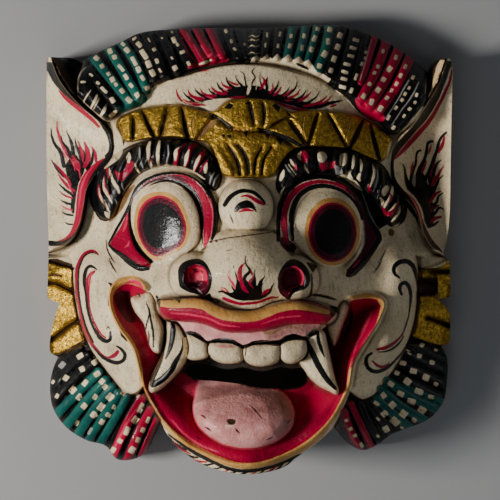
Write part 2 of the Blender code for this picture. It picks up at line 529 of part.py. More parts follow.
        # tongue, gums, teeth, upper lip, tusks and fangs
        d = depth_in(P, self.tongue, 60)
        slope = mix(57.0, 84.0, smooth((b - 376) / 52)) - 5.0 * ((a - 245) / 50) ** 2
        z = np.where(d > -1, np.maximum(z, mix(z, slope, top(d, 13))), z)
        arch = 66 + 22 * np.sqrt(np.clip(1 - ((a - 247) / np.where(a > 247, 99, 104)) ** 2, 0, 1))
        d = depth_in(P, self.gum, 12)
        z = over(z, d, arch - 3.0, 2.0)
        for tooth in self.teeth:
            d = depth_in(P, tooth, 14)
            z = over(z, d, arch - 4.5 + 4.0 * top(d, 10), 1.6)
        for tusk in self.tusks:
            d = depth_in(P, tusk, 14)
            z = over(z, d, 58 + 5.0 * top(d, 8) + 4 * smooth((b - 300) / 50), 2.0)
        for fang, low in zip(self.fangs, (0.0, 2.5)):
            d = depth_in(P, fang, 14)
            z = over(z, d, mix(76.0, 72.0, smooth((b - 330) / 60)) - low + 5.0 * top(d, 8), 2.0)
        d = depth_in(P, self.lip, 16)
        z = over(z, d, arch - 2 + LIP_UP * top(d, 13), 2.0)

        # ears
        for ear, rim, side, low, sink in ((self.ear_l, EAR_L_RIM, 46.5, EAR_L_EDGE, EAR_L_SINK),
                                          (self.ear_r, EAR_R_RIM, 451.5, EAR_R_EDGE, EAR_R_SINK)):
            d = depth_in(P, ear, 12)
            r = path(rim, step=3.0)
            w = np.abs(np.interp(b, r[:, 1], r[:, 0]) - side) + 1e-6
            t = np.clip(np.abs(a - side) / w, 0, 1)
            bowl = mix(low, EAR_RIM - 2, t) - sink * 4 * t * (1 - t) * smooth(w / 62)
            bowl = bowl + 2.0 * smooth(1 - np.abs(d - 2.5) / 6)
            z = over(z, d, bowl, 3.0)

        # crest of hair, and the wedges behind the ears
        d = depth_in(P, self.crest, 60)
        d_in, _ = to_curve(P, self.crest_in, 80)
        t = d_in / (d_in + edge_d + 1e-6)
        roll = mix(CREST_IN, CREST_OUT, t ** 1.7) - 3.0 * smooth(1 - d_in / 7)
        side = np.clip((np.abs(a - 250) - 110) / 60, 0, 1)
        roll = roll - 7.0 * side * (1 - t)
        z = over(z, d, roll - 1.8 + self.ribs(P, self.locks, 3.4), 2.5)
        for wedge, rim in ((self.wedge_l, self.ear_l), (self.wedge_r, self.ear_r)):
            d = depth_in(P, wedge, 20)
            d_rim, _ = to_curve(P, rim, 30)
            z = over(z, d, mix(EAR_RIM - 1, 18.0, smooth(d_rim / 15)), 1.5)

        # gilt side leaves and the lower tufts
        for side, leaf, hollow in ((self.side_l, self.leaf_l, 0.0),
                                   (self.side_r, self.leaf_r, LEAF_R_HOLLOW)):
            d = depth_in(P, side, 60)
            d_in, _ = to_curve(P, side[:40], 90)
            t = d / (d + edge_d + 1e-6)
            t = np.clip(t, 0, 1)
            hair = mix(TUFT_IN, TUFT_OUT, t ** 1.5) - 1.8 + self.ribs(P, self.tuft_locks, 3.4)
            low = mix(hair, 26.0, smooth((345 - b) / 4))
            z = over(z, d, low, 3.0)
            dl = depth_in(P, leaf, 12)
            gilt = LEAF_IN - LEAF_SLOPE * np.clip(d, 0, 32) + 0.7 * np.sin((b - 262) * 0.16)
            gilt = gilt - hollow * smooth((20 - d) / 5) * smooth((b - 268) / 4) * smooth((297 - b) / 4)
            for line in LEAF_CUTS:
                gilt = self.cut(gilt, P, line, 4.0, 2.4)
            z = np.where(d > -2, mix(z, gilt, smooth(0.5 + dl / 2.0) * smooth(0.5 + d / 3.0)), z)
        return z

    def steps(self):
        """The curves along which the front steps up or down: (curve, closed)."""
        ca, cb, ra, rb = NUB
        found = [(self.crest_in, False), (self.tiara, True), (self.lip, True), (self.tongue, True),
                 (self.rim, False), (path(RECESS_TOP, step=5.0), False),
                 (path(EAR_L_RIM, step=5.0), False), (path(EAR_R_RIM, step=5.0), False),
                 (path(CHEEK_L, step=5.0), False), (path(CHEEK_R, step=5.0), False)]
        for group in (self.brows, self.eyes, self.lids, self.fangs, self.tusks, self.teeth):
            found += [(c, True) for c in group]
        return found


# ---------------------------------------------------------------- the hollow
WALL = 9.7                     # wood left in front of the hollow, mm
HOLLOW = (250.0, 247.0, 152.0, 176.0)     # centre and half sizes, layout units
HOLLOW_DEEP = 60.0
MOUTH_FLARE = (1.04, 1.65)      # the mouth opening widens towards the back


def flared(hole):
    c = np.array([246.0, 376.0])
    return c + (hole - c) * MOUTH_FLARE + (0.0, -3.0)


def hollow_edge(shrink=1.0, step=10.0):
    """The hollow's edge in the flat back."""
    ca, cb, ra, rb = HOLLOW
    t = np.linspace(0, 2 * math.pi, 400, endpoint=False)
    c, s = np.cos(t), np.sin(t)
    k = (np.abs(c) ** 2.4 + np.abs(s) ** 2.4) ** (-1 / 2.4) * shrink
    return path(np.stack([ca + ra * k * c, cb + rb * k * s], 1)[::8], closed=True, step=step)


class Back:
    """Height of the back surface: flat rim, and a hollow that follows the
    front at the thickness of the wall."""

    def __init__(self, carving, cell=5.0):
        self.cell = cell
        n = int(500 / cell) + 1
        g = np.arange(n) * cell
        A, B = np.meshgrid(g, g)
        P = np.stack([A.ravel(), B.ravel()], 1)
        front = carving.heights(P).reshape(n, n)
        m = int(WALL / UNIT / cell) + 1
        wall = np.full((n, n), 1e9)
        for i in range(-m, m + 1):
            for j in range(-m, m + 1):
                r = math.hypot(i, j) * cell * UNIT
                if r < WALL:
                    shifted = np.roll(np.roll(front, i, 0), j, 1)
                    wall = np.minimum(wall, shifted - math.sqrt(WALL ** 2 - r ** 2))
        z = np.clip(wall, 0, HOLLOW_DEEP)
        for _ in range(3):      # chisel work leaves no sharp inner corners
            z = (z * 4 + np.roll(z, 1, 0) + np.roll(z, -1, 0) + np.roll(z, 1, 1) + np.roll(z, -1, 1)) / 8
        self.z = z

    def heights(self, P):
        q = np.clip(P / self.cell, 0, len(self.z) - 1.001)
        i, j = q[:, 1].astype(int), q[:, 0].astype(int)
        v, u = q[:, 1] - i, q[:, 0] - j
        z = self.z
        wall = ((z[i, j] * (1 - u) + z[i, j + 1] * u) * (1 - v)
                + (z[i + 1, j] * (1 - u) + z[i + 1, j + 1] * u) * v)
        ca, cb, ra, rb = HOLLOW
        r = (np.abs((P[:, 0] - ca) / ra) ** 2.4 + np.abs((P[:, 1] - cb) / rb) ** 2.4) ** (1 / 2.4)
        bowl = HOLLOW_DEEP * np.clip(1 - r ** 2.2, 0, 1) ** 0.55
        return np.where(bowl < 0.02, 0.0, np.clip(-smax(-bowl, -wall, 4.0), 0, None))


# ---------------------------------------------------------------- meshing
def beside(curve, closed, gap, step):
    """Chains of points at a gap on each side of a curve."""
    c = path(curve, closed=closed, step=step)
    if closed:
        run = np.roll(c, -1, 0) - np.roll(c, 1, 0)
    else:
        run = np.gradient(c, axis=0)
    side = np.stack([-run[:, 1], run[:, 0]], 1)
    side /= np.hypot(*side.T)[:, None] + 1e-9
    chains = []
    for s in (-gap, gap):
        q = c + s * side
        order = np.argsort(q[:, 0], kind="stable")
        d = np.empty(len(q))
        d[order] = to_curve(q[order], c, gap * 2, closed=closed)[0]
        good = d > 0.93 * gap
        chain = []
        for p, g in zip(q, good):
            if g:
                chain.append(p)
            else:
                if len(chain) > 1:
                    chains.append(np.array(chain))
                chain = []
        if closed and len(chain) > 1 and good.all():
            chain.append(chain[0])
        if len(chain) > 1:
            chains.append(np.array(chain))
    return chains


def triangulate(points, loops, lines=()):
    """Delaunay triangles inside the first loop and outside the others, that
    keep to the loops and to the lines (pairs of point numbers)."""
    edges, n = [], 0
    for loop in loops:
        m = len(loop)
        edges += [(n + k, n + (k + 1) % m) for k in range(m)]
        n += m
    edges += [tuple(int(i) for i in e) for e in lines]
    verts, kept, faces, ids, _, _ = delaunay_2d_cdt(
        [tuple(p) for p in points], edges, [], 0, 1e-5, True)
    V = np.array([tuple(v) for v in verts], float)
    T = np.array([f for f in faces if len(f) == 3], int)
    c = V[T].mean(1)
    keep = inside(c, loops[0])
    for hole in loops[1:]:
        keep &= ~inside(c, hole)
    return V, T[keep]


def gather(loops, chains, first):
    """The starting points and the lines that the triangles keep to."""
    border = np.vstack(loops)
    points, lines, seen = [p for p in border], [], {}
    for p in border:
        seen[(round(p[0] / 1.1), round(p[1] / 1.1))] = -1
    for chain in chains:
        ok = inside(chain, loops[0])
        for hole in loops[1:]:
            ok &= ~inside(chain, hole)
        order = np.argsort(chain[:, 0], kind="stable")
        for loop in loops:
            d = np.empty(len(chain))
            d[order] = to_curve(chain[order], loop, 4.0, closed=True)[0]
            ok &= d > 1.6
        last = None
        for p, good in zip(chain, ok):
            if not good:
                last = None
                continue
            key = (round(p[0] / 1.1), round(p[1] / 1.1))
            here = seen.get(key)
            if here is None:
                here = len(points)
                points.append(p)
                seen[key] = here
            if here < 0:
                last = None
                continue
            if last is not None and last != here:
                lines.append((last, here))
            last = here
    P = np.array(points)
    g = np.arange(0, 500, first)
    A, B = np.meshgrid(g, g * 0.866)
    A = A + (np.arange(len(g)) % 2)[:, None] * first / 2
    Q = np.stack([A.ravel(), B.ravel()], 1)
    ok = inside(Q, loops[0])
    for hole in loops[1:]:
        ok &= ~inside(Q, hole)
    Q = Q[ok]
    cell = first * 0.5
    taken = set(map(tuple, np.round(P / cell).astype(int)))
    Q = np.array([q for q in Q if tuple(np.round(q / cell).astype(int)) not in taken])
    return np.vstack([P, Q]), lines


def fitted(surface, loops, budget, first, chains=(), rounds=9):
    """Triangles laid where the surface bends: points go in, round by round,
    where flat triangles miss it most, until the budget is used."""
    P, lines = gather(loops, chains, first)
    V, T = triangulate(P, loops, lines)
    for k in range(rounds):
        left = budget - len(T)
        if left < 20:
            break
        z = surface(V)
        tri = V[T]
        sides = np.stack([np.hypot(*(tri[:, (i + 1) % 3] - tri[:, i]).T) for i in range(3)], 1)
        long = sides.argmax(1)
        r = np.arange(len(T))
        p, q = T[r, long], T[r, (long + 1) % 3]
        mid = (V[p] + V[q]) / 2
        miss_mid = np.abs(surface(mid) - (z[p] + z[q]) / 2)
        cen = tri.mean(1)
        miss_cen = np.abs(surface(cen) - z[T].mean(1))
        use_cen = (miss_cen > 0.7 * miss_mid) | (sides.max(1) < 1.3 * sides.min(1))
        miss = np.where(use_cen, miss_cen, miss_mid) * np.sqrt(sides.max(1))
        add = np.where(use_cen[:, None], cen, mid)
        miss[sides.max(1) < 3.0] = 0
        near_edge = np.full(len(add), 1e9)
        order = np.argsort(add[:, 0], kind="stable")
        for loop in loops:
            d = np.empty(len(add))
            d[order] = to_curve(add[order], loop, 3.0, closed=True)[0]
            near_edge = np.minimum(near_edge, d)
        miss[near_edge < 1.2] = 0
        take = np.argsort(-miss, kind="stable")[: max(10, int(left / 2 / (rounds - k) * 1.6))]
        take = take[miss[take] > 0.02]
        new = add[take]
        cell = np.round(new / 1.6).astype(int)
        _, first_of = np.unique(cell, axis=0, return_index=True)
        new = new[np.sort(first_of)]
        P = np.vstack([P, new])
        V, T = triangulate(P, loops, lines)
    return V, T


def tuck_at(a, b):
    """How far the wall leans in at the back, mm: the underside of the chin
    slopes away, elsewhere the edge is only eased."""
    return 0.6 + 15.0 * np.exp(-((a - 247) / 62) ** 2) * smooth((b - 425) / 30)


def build_mask(name, material):
    carving = Carving(step=5.0)
    back = Back(carving)
    edge = outline(8.5)
    hole = path(MOUTH_HOLE, closed=True, step=7.0)
    chains = []
    for curve, closed in carving.steps():
        chains += beside(curve, closed, 1.7, 9.0)
    for curve, wide in carving.locks + carving.tuft_locks:
        chains += [path(curve, step=16.0)] + beside(curve, False, 0.52 * wide, 16.0)
    Vf, Tf = fitted(carving.heights, [edge, hole], 7350, 15.0, chains)
    ring = hollow_edge()
    lips = [np.vstack([c, c[:1]])
            for c in (ring, hollow_edge(0.985), hollow_edge(0.95), hollow_edge(0.88, 14.0))]
    Vb, Tb = fitted(back.heights, [edge, flared(hole)], 1150, 34.0, lips, rounds=5)

    zf = carving.heights(Vf)
    zb = back.heights(Vb)
    zb[:len(edge)] = 0.0
    xf = np.stack(place(Vf[:, 0], Vf[:, 1], zf), 1)
    s = UNIT * BACK_SCALE
    xb = np.stack([(Vb[:, 0] - MID) * s, (MID - Vb[:, 1]) * s, zb], 1)

    # the side wall: rings from the front edge down to the flat back
    n = len(edge)
    tangent = np.roll(edge, -1, 0) - np.roll(edge, 1, 0)
    normal = np.stack([-tangent[:, 1], tangent[:, 0]], 1)
    normal /= np.hypot(*normal.T)[:, None]
    if not inside(edge[:1] + normal[:1] * 2, edge)[0]:
        normal = -normal
    lean = tuck_at(edge[:, 0], edge[:, 1])
    rings = []
    for t in (0.35, 0.7):
        ring = xf[:n] * (1 - t) + xb[:n] * t
        ring[:, 2] = zf[:n] * (1 - t)
        pull = lean * (t ** 2.2)
        ring[:, 0] += normal[:, 0] * pull
        ring[:, 1] -= normal[:, 1] * pull
        rings.append(ring)
    xb[:n, 0] += normal[:, 0] * lean
    xb[:n, 1] -= normal[:, 1] * lean

    verts = [xf, xb] + rings
    start = np.cumsum([0] + [len(v) for v in verts])
    faces = []
    def up(V, T):
        e1, e2 = V[T[:, 1]] - V[T[:, 0]], V[T[:, 2]] - V[T[:, 0]]
        return (e1[:, 0] * e2[:, 1] - e1[:, 1] * e2[:, 0]) < 0     # b runs down
    flip = ~up(Vf, Tf)
    Tf = np.where(flip[:, None], Tf[:, ::-1], Tf)
    faces += [tuple(int(i) for i in t) for t in Tf]
    flip = up(Vb, Tb)
    Tb = np.where(flip[:, None], Tb[:, ::-1], Tb) + start[1]
    faces += [tuple(int(i) for i in t) for t in Tb]
    ladder = [0, start[2], start[3], start[1]]
    area = 0.5 * np.sum(edge[:, 0] * np.roll(edge[:, 1], -1) - np.roll(edge[:, 0], -1) * edge[:, 1])
    for lo, hi in zip(ladder[:-1], ladder[1:]):
        for k in range(n):
            j = (k + 1) % n
            q = (lo + k, lo + j, hi + j, hi + k)
            if area < 0:
                q = q[::-1]
            faces += [(int(q[0]), int(q[1]), int(q[2])), (int(q[0]), int(q[2]), int(q[3]))]
    m = len(hole)
    area_h = 0.5 * np.sum(hole[:, 0] * np.roll(hole[:, 1], -1) - np.roll(hole[:, 0], -1) * hole[:, 1])
    for k in range(m):
        j = (k + 1) % m
        q = (n + k, n + j, start[1] + n + j, start[1] + n + k)
        if area_h > 0:
            q = q[::-1]
        faces += [(int(q[0]), int(q[1]), int(q[2])), (int(q[0]), int(q[2]), int(q[3]))]

    points = np.vstack(verts)
    points[:, :2] -= (points[:, :2].min(0) + points[:, :2].max(0)) / 2   # origin under the middle
    mesh = bpy.data.meshes.new(name)
    mesh.from_pydata((points * 0.001).tolist(), [], faces)
    welded = bmesh.new()
    welded.from_mesh(mesh)
    bmesh.ops.remove_doubles(welded, verts=welded.verts[:], dist=0.00006)
    bmesh.ops.dissolve_degenerate(welded, edges=welded.edges[:], dist=0.00002)
    bmesh.ops.triangulate(welded, faces=welded.faces[:])
    welded.to_mesh(mesh)
    welded.free()
    mesh.validate()
    mesh.update()
    mesh.shade_smooth()
    mesh.set_sharp_from_angle(angle=math.radians(40))
    mesh.materials.append(material)
    obj = bpy.data.objects.new(name, mesh)
    bpy.context.scene.collection.objects.link(obj)
    return obj


def painted_wood():
    m = bpy.data.materials.new("painted_wood")
    m.use_nodes = True
    p = m.node_tree.nodes["Principled BSDF"]
    p.inputs["Base Color"].default_value = (0.66, 0.60, 0.48, 1)
    p.inputs["Roughness"].default_value = 0.42
    p.inputs["Metallic"].default_value = 0.0
    return m


def main():
    for obj in list(bpy.data.objects):
        bpy.data.objects.remove(obj, do_unlink=True)
    build_mask("mask", painted_wood())


main()
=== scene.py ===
"""Barong mask: a carved wooden face with painted and gilded surfaces.

The fine surface of the carving is one closed mesh, laid out with the same
named curves as the solid it stands for, then painted colour by colour.
"""

import math

import bmesh
import bpy
import numpy as np
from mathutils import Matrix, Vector
from mathutils.geometry import delaunay_2d_cdt

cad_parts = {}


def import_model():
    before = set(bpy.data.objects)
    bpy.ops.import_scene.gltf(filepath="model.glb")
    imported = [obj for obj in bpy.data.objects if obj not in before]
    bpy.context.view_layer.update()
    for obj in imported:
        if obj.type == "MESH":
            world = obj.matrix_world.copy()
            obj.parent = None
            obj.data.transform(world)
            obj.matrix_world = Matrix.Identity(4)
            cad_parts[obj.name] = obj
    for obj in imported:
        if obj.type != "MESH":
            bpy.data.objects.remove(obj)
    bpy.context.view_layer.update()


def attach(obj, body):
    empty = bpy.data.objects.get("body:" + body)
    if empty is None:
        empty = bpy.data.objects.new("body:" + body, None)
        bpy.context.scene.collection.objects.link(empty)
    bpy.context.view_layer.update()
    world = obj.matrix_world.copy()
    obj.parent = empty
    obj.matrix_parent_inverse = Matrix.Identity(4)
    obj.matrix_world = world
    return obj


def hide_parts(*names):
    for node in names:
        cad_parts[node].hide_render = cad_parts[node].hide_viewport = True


# ---------------------------------------------------------------- layout
# The front is laid out on a sheet of 500 x 500 units of half a millimetre:
# a runs right and b runs down from the sheet's top left corner, and the
# mask's centre is at (250, 250).  Heights are in millimetres above the flat
# back.  The layout is the front as an eye 1.2 m in front of it sees it, so
# what stands further forward is drawn larger and is brought back in by place().
UNIT = 0.5
MID = 250.0
EYE = 1200.0
EYE_REF = 30.0
BACK_SCALE = (EYE - 18.0) / (EYE - EYE_REF)


def place(a, b, z):
    """Layout point and height -> millimetres, +X right, +Y up the face."""
    s = UNIT * (EYE - z) / (EYE - EYE_REF)
    return (a - MID) * s, (MID - b) * s, z


def smooth(t):
    t = np.clip(t, 0.0, 1.0)
    return t * t * (3.0 - 2.0 * t)


def mix(p, q, t):
    return p + (q - p) * t


def smax(p, q, k):
    h = np.clip(0.5 + 0.5 * (p - q) / k, 0.0, 1.0)
    return mix(q, p, h) + k * h * (1.0 - h)


def path(points, closed=False, step=4.0):
    """A smooth curve through a few named points, evenly sampled."""
    p = np.array(points, float)
    n = len(p)
    if n == 2 and not closed:
        m = max(2, int(np.hypot(*(p[1] - p[0])) / step) + 1)
        return p[0] + (p[1] - p[0]) * np.linspace(0, 1, m)[:, None]
    if closed:
        q = np.vstack([p[-1], p, p[0], p[1]])
        spans = n
    else:
        q = np.vstack([2 * p[0] - p[1], p, 2 * p[-1] - p[-2]])
        spans = n - 1
    out = []
    for i in range(spans):
        a0, a1, a2, a3 = q[i:i + 4]
        d01 = max(np.hypot(*(a1 - a0)), 1e-6) ** 0.5
        d12 = max(np.hypot(*(a2 - a1)), 1e-6) ** 0.5
        d23 = max(np.hypot(*(a3 - a2)), 1e-6) ** 0.5
        m1 = (a2 - a1) + d12 * ((a1 - a0) / d01 - (a2 - a0) / (d01 + d12))
        m2 = (a2 - a1) + d12 * ((a3 - a2) / d23 - (a3 - a1) / (d12 + d23))
        k = max(2, int(d12 * d12 / step * 2) + 1)
        t = np.linspace(0, 1, k, endpoint=False)[:, None]
        out.append((2 * t ** 3 - 3 * t ** 2 + 1) * a1 + (t ** 3 - 2 * t ** 2 + t) * m1
                   + (3 * t ** 2 - 2 * t ** 3) * a2 + (t ** 3 - t ** 2) * m2)
    c = np.vstack(out + ([] if closed else [p[-1:]]))
    loop = np.vstack([c, c[:1]]) if closed else c
    s = np.concatenate([[0], np.cumsum(np.hypot(*np.diff(loop, axis=0).T))])
    m = max(3, int(round(s[-1] / step)))
    u = np.linspace(0, s[-1], m, endpoint=False) if closed else np.linspace(0, s[-1], m + 1)
    return np.stack([np.interp(u, s, loop[:, 0]), np.interp(u, s, loop[:, 1])], 1)


def oval(a, b, ra, rb, turn=0.0, step=4.0):
    """A closed ellipse about (a, b), turned by turn degrees."""
    m = max(12, int(math.pi * (ra + rb) / step))
    t = np.linspace(0, 2 * math.pi, m, endpoint=False)
    c, s = math.cos(math.radians(turn)), math.sin(math.radians(turn))
    x, y = ra * np.cos(t), rb * np.sin(t)
    return np.stack([a + c * x - s * y, b + s * x + c * y], 1)


def near(P, C, reach):
    """Which points lie within reach of the curve's box."""
    lo, hi = C.min(0) - reach, C.max(0) + reach
    return np.flatnonzero((P[:, 0] > lo[0]) & (P[:, 0] < hi[0]) & (P[:, 1] > lo[1]) & (P[:, 1] < hi[1]))


def to_curve(P, C, reach=40.0, closed=False):
    """Distance to a curve (reach where it is further), and how far along it.
    The points P are sorted by a."""
    best = np.full(len(P), float(reach) ** 2)
    along = np.zeros(len(P))
    E = np.vstack([C, C[:1]]) if closed else C
    n = len(E) - 1
    a = P[:, 0]
    lo = np.searchsorted(a, np.minimum(E[:-1, 0], E[1:, 0]) - reach)
    hi = np.searchsorted(a, np.maximum(E[:-1, 0], E[1:, 0]) + reach)
    for k in range(n):
        if hi[k] <= lo[k]:
            continue
        cut = slice(lo[k], hi[k])
        wb = P[cut, 1] - E[k, 1]
        eb = E[k + 1, 1] - E[k, 1]
        i = np.flatnonzero((wb > min(eb, 0) - reach) & (wb < max(eb, 0) + reach))
        if not len(i):
            continue
        i += lo[k]
        e = E[k + 1] - E[k]
        w = P[i] - E[k]
        t = np.clip((w @ e) / max(e @ e, 1e-12), 0.0, 1.0)
        dd = (w[:, 0] - t * e[0]) ** 2 + (w[:, 1] - t * e[1]) ** 2
        m = dd < best[i]
        i = i[m]
        best[i] = dd[m]
        along[i] = (k + t[m]) / n
    return np.sqrt(best), along


def inside(P, C):
    i = near(P, C, 0.0)
    r = np.zeros(len(P), bool)
    if not len(i):
        return r
    x, y = P[i, 0], P[i, 1]
    c = np.zeros(len(i), bool)
    n = len(C)
    for k in range(n):
        x1, y1 = C[k]
        x2, y2 = C[(k + 1) % n]
        if y1 == y2:
            continue
        hit = ((y1 > y) != (y2 > y)) & (x < (x2 - x1) * (y - y1) / (y2 - y1) + x1)
        c ^= hit
    r[i] = c
    return r


def depth_in(P, C, reach=40.0):
    """How far inside a closed curve a point is (negative outside)."""
    d, _ = to_curve(P, C, reach, closed=True)
    return np.where(inside(P, C), d, -d)


def fit_heights(table):
    """A thin plate through named heights {(a, b): z}."""
    p = np.array(list(table.keys()), float) / 100.0
    z = np.array(list(table.values()), float)
    n = len(p)
    r2 = ((p[:, None] - p[None]) ** 2).sum(2)
    K = 0.5 * r2 * np.log(r2 + 1e-9)
    A = np.zeros((n + 3, n + 3))
    A[:n, :n] = K + 1e-4 * np.eye(n)
    A[:n, n] = A[n, :n] = 1
    A[:n, n + 1:] = p
    A[n + 1:, :n] = p.T
    w = np.linalg.solve(A, np.concatenate([z, [0, 0, 0]]))

    def height(P):
        q = P / 100.0
        h = w[n] + q @ w[n + 1:]
        for k in range(n):
            s = (q[:, 0] - p[k, 0]) ** 2 + (q[:, 1] - p[k, 1]) ** 2
            h = h + w[k] * 0.5 * s * np.log(s + 1e-9)
        return h
    return height


# ---------------------------------------------------------------- outline
CREST_EDGE = [(81, 62), (97, 53), (121, 42), (140, 33), (170, 29.5), (215, 28), (252, 28.5),
              (290, 26.5), (336, 25.5), (362, 31), (386, 42), (406, 54), (428, 73)]
EAR_R_TOP = [(428, 73), (433, 63), (441, 59), (450, 59), (453, 66)]
EAR_R_SIDE = [(453, 66), (451.5, 115), (450.5, 170), (449.5, 215), (447, 238), (443, 254)]
LEAF_R = [(443, 254), (449, 262), (450, 280), (449.5, 297), (437.5, 298.5)]
LEAF_R2 = [(437.5, 298.5), (449, 312), (450, 328), (448.5, 343), (441, 346)]
TUFT_R_EDGE = [(441, 346), (447, 358), (447, 380), (443, 402), (430, 418), (408, 428), (392, 434),
               (377, 445), (363, 450), (348, 443), (334, 427)]
CHIN_EDGE = [(334, 427), (318, 442), (300, 455), (284, 467), (262, 473), (240, 474), (218, 469.5),
             (198, 462), (178, 447), (167, 434), (161, 422)]
TUFT_L_EDGE = [(161, 422), (154, 436), (147, 451), (134, 459), (117, 459), (106, 446), (86, 440),
               (66, 427), (53, 408), (50, 386), (53, 369), (58, 357)]
LEAF_L2 = [(58, 357), (50.5, 352), (51, 334), (56, 314), (60, 303)]
LEAF_L = [(60, 303), (48.5, 298), (48, 278), (48.5, 258)]
EAR_L_SIDE = [(48.5, 258), (48.5, 235), (47, 190), (46.5, 120), (46.5, 68)]
EAR_L_TOP = [(46.5, 68), (47.5, 58), (58, 57.5), (72, 58.5), (81, 62)]
EDGES = [CREST_EDGE, EAR_R_TOP, EAR_R_SIDE, LEAF_R, LEAF_R2, TUFT_R_EDGE, CHIN_EDGE,
         TUFT_L_EDGE, LEAF_L2, LEAF_L, EAR_L_SIDE, EAR_L_TOP]


def outline(step):
    """The whole silhouette: the named edges joined corner to corner."""
    return np.vstack([path(e, step=step)[:-1] for e in EDGES])


# the opening right through the mouth, between the teeth and the tongue
MOUTH_HOLE = [(187, 371), (192, 364.5), (203, 364), (213, 366), (227, 369.5), (243, 367.5),
              (262, 371.5), (280, 367.5), (292, 369), (301, 368), (307, 375), (303, 384),
              (285, 388), (262, 388), (240, 384), (215, 381), (197, 379)]

# ---------------------------------------------------------------- the head
HEAD_HEIGHTS = {
    (250, 60): 48, (180, 75): 45, (320, 80): 45, (140, 100): 40, (362, 112): 40,
    (250, 95): 55, (200, 122): 55, (300, 124): 55, (150, 124): 48, (352, 130): 47,
    (250, 160): 63, (204, 158): 60, (290, 160): 60, (160, 152): 53, (335, 157): 53,
    (112, 160): 38, (386, 172): 38, (96, 215): 34, (404, 225): 34,
    (245, 200): 68, (211, 205): 63, (281, 207): 63, (165, 222): 57, (327, 226): 57,
    (117, 222): 42, (376, 226): 42, (72, 252): 27, (428, 256): 27,
    (245, 245): 76, (204, 252): 69, (288, 256): 69, (150, 270): 61, (342, 274): 61,
    (112, 262): 50, (380, 264): 50, (88, 262): 40, (409, 262): 40,
    (245, 300): 84, (200, 300): 77, (295, 302): 77, (160, 300): 67, (335, 306): 67,
    (118, 300): 57, (375, 304): 57, (80, 300): 39, (412, 300): 39,
    (104, 340): 53, (392, 340): 53, (86, 335): 38, (406, 338): 38, (132, 345): 60, (362, 345): 60,
    (128, 378): 54, (366, 378): 54, (108, 378): 38, (388, 378): 38,
    (148, 400): 63, (344, 402): 63, (176, 436): 70, (316, 436): 70, (247, 464): 78,
    (250, 474): 74, (198, 463): 66, (300, 456): 66, (245, 350): 84, (245, 400): 80,
}

# ---------------------------------------------------------------- hair crest
CREST_INNER = [(76, 97), (92, 111), (108, 121), (122, 113), (143, 104), (148, 92), (160, 84),
               (184, 76), (205, 69.5), (228, 65), (252, 64), (278, 67.5), (303, 74), (326, 84),
               (345, 97), (361, 114), (378, 122), (392, 136), (408, 127), (421, 112), (428, 98)]
# locks of hair: (outer end, middle, inner end, width)
LOCKS = {
    "k1": [(83, 68), (91, 92), (106, 116), 13], "k2": [(89, 70), (103, 88), (117, 108), 10],
    "g1": [(93, 57), (112, 80), (130, 103), 12], "g2": [(109, 48), (122, 70), (138, 97), 12],
    "g3": [(122, 43), (134, 61), (147, 90), 11], "k3": [(133, 37), (145, 55), (156, 82), 11],
    "k4": [(146, 34), (157, 58), (166, 80), 11], "k5": [(160, 31), (171, 56), (177, 72), 10],
    "k6": [(171, 31), (182, 51), (190, 66), 10], "r1": [(184, 30), (194, 46), (203, 61), 10],
    "r2": [(197, 29), (206, 46), (214, 58), 10], "r3": [(210, 29), (217, 44), (222, 55), 10],
    "k7": [(226, 28), (231, 42), (239, 58), 10], "k8": [(239, 29), (243, 43), (247, 56), 9],
    "k9": [(258, 29), (254, 42), (253, 58), 9], "k10": [(268, 28), (266, 41), (264, 55), 9],
    "k11": [(280, 27), (278, 41), (276, 56), 10], "g4": [(293, 28), (290, 42), (287, 57), 10],
    "g5": [(306, 27), (303, 42), (298, 58), 10], "g6": [(317, 27), (313, 43), (308, 60), 9],
    "g7": [(330, 27), (325, 51), (318, 69), 12], "k12": [(342, 28), (336, 50), (329, 72), 11],
    "k13": [(356, 32), (348, 60), (343, 88), 14], "k14": [(365, 35), (360, 62), (351, 92), 9],
    "r4": [(375, 37), (367, 62), (361, 82), 9], "r5": [(386, 43), (377, 68), (363, 97), 12],
    "r6": [(399, 50), (388, 74), (371, 104), 13], "r7": [(410, 57), (398, 84), (380, 110), 12],
    "k15": [(418, 66), (406, 92), (388, 118), 11], "k16": [(424, 74), (413, 102), (394, 127), 11],
    "k17": [(428, 84), (421, 106), (406, 128), 9],
}
CREST_IN, CREST_OUT = 47.0, 21.0        # heights at the inner and outer edge

# ---------------------------------------------------------------- ears
EAR_L_RIM = [(50, 52), (54, 62), (60, 77), (72, 94), (90, 112), (103, 123), (112, 136), (113.5, 150),
             (108, 163), (98, 174), (89, 188), (85, 206), (81, 224), (74, 238), (62, 247), (48, 252)]
EAR_R_RIM = [(449, 52), (444, 64), (438, 82), (427, 101), (411, 125), (399, 138), (392, 152),
             (392, 170), (398, 185), (411, 200), (418, 214), (422, 232), (431, 248), (444, 256)]
EAR_RIM = 39.0
EAR_L_EDGE, EAR_L_SINK = 25.0, 1.5      # the left ear slopes evenly out to its edge
EAR_R_EDGE, EAR_R_SINK = 30.0, 14.0     # the right one is hollowed
WEDGE_L = [(50, 52), (84, 54), (82, 66), (77, 78), (76, 97), (72, 94), (60, 77), (54, 62)]
WEDGE_R = [(449, 52), (431, 55), (428, 73), (427, 86), (427, 101), (438, 82), (444, 64)]

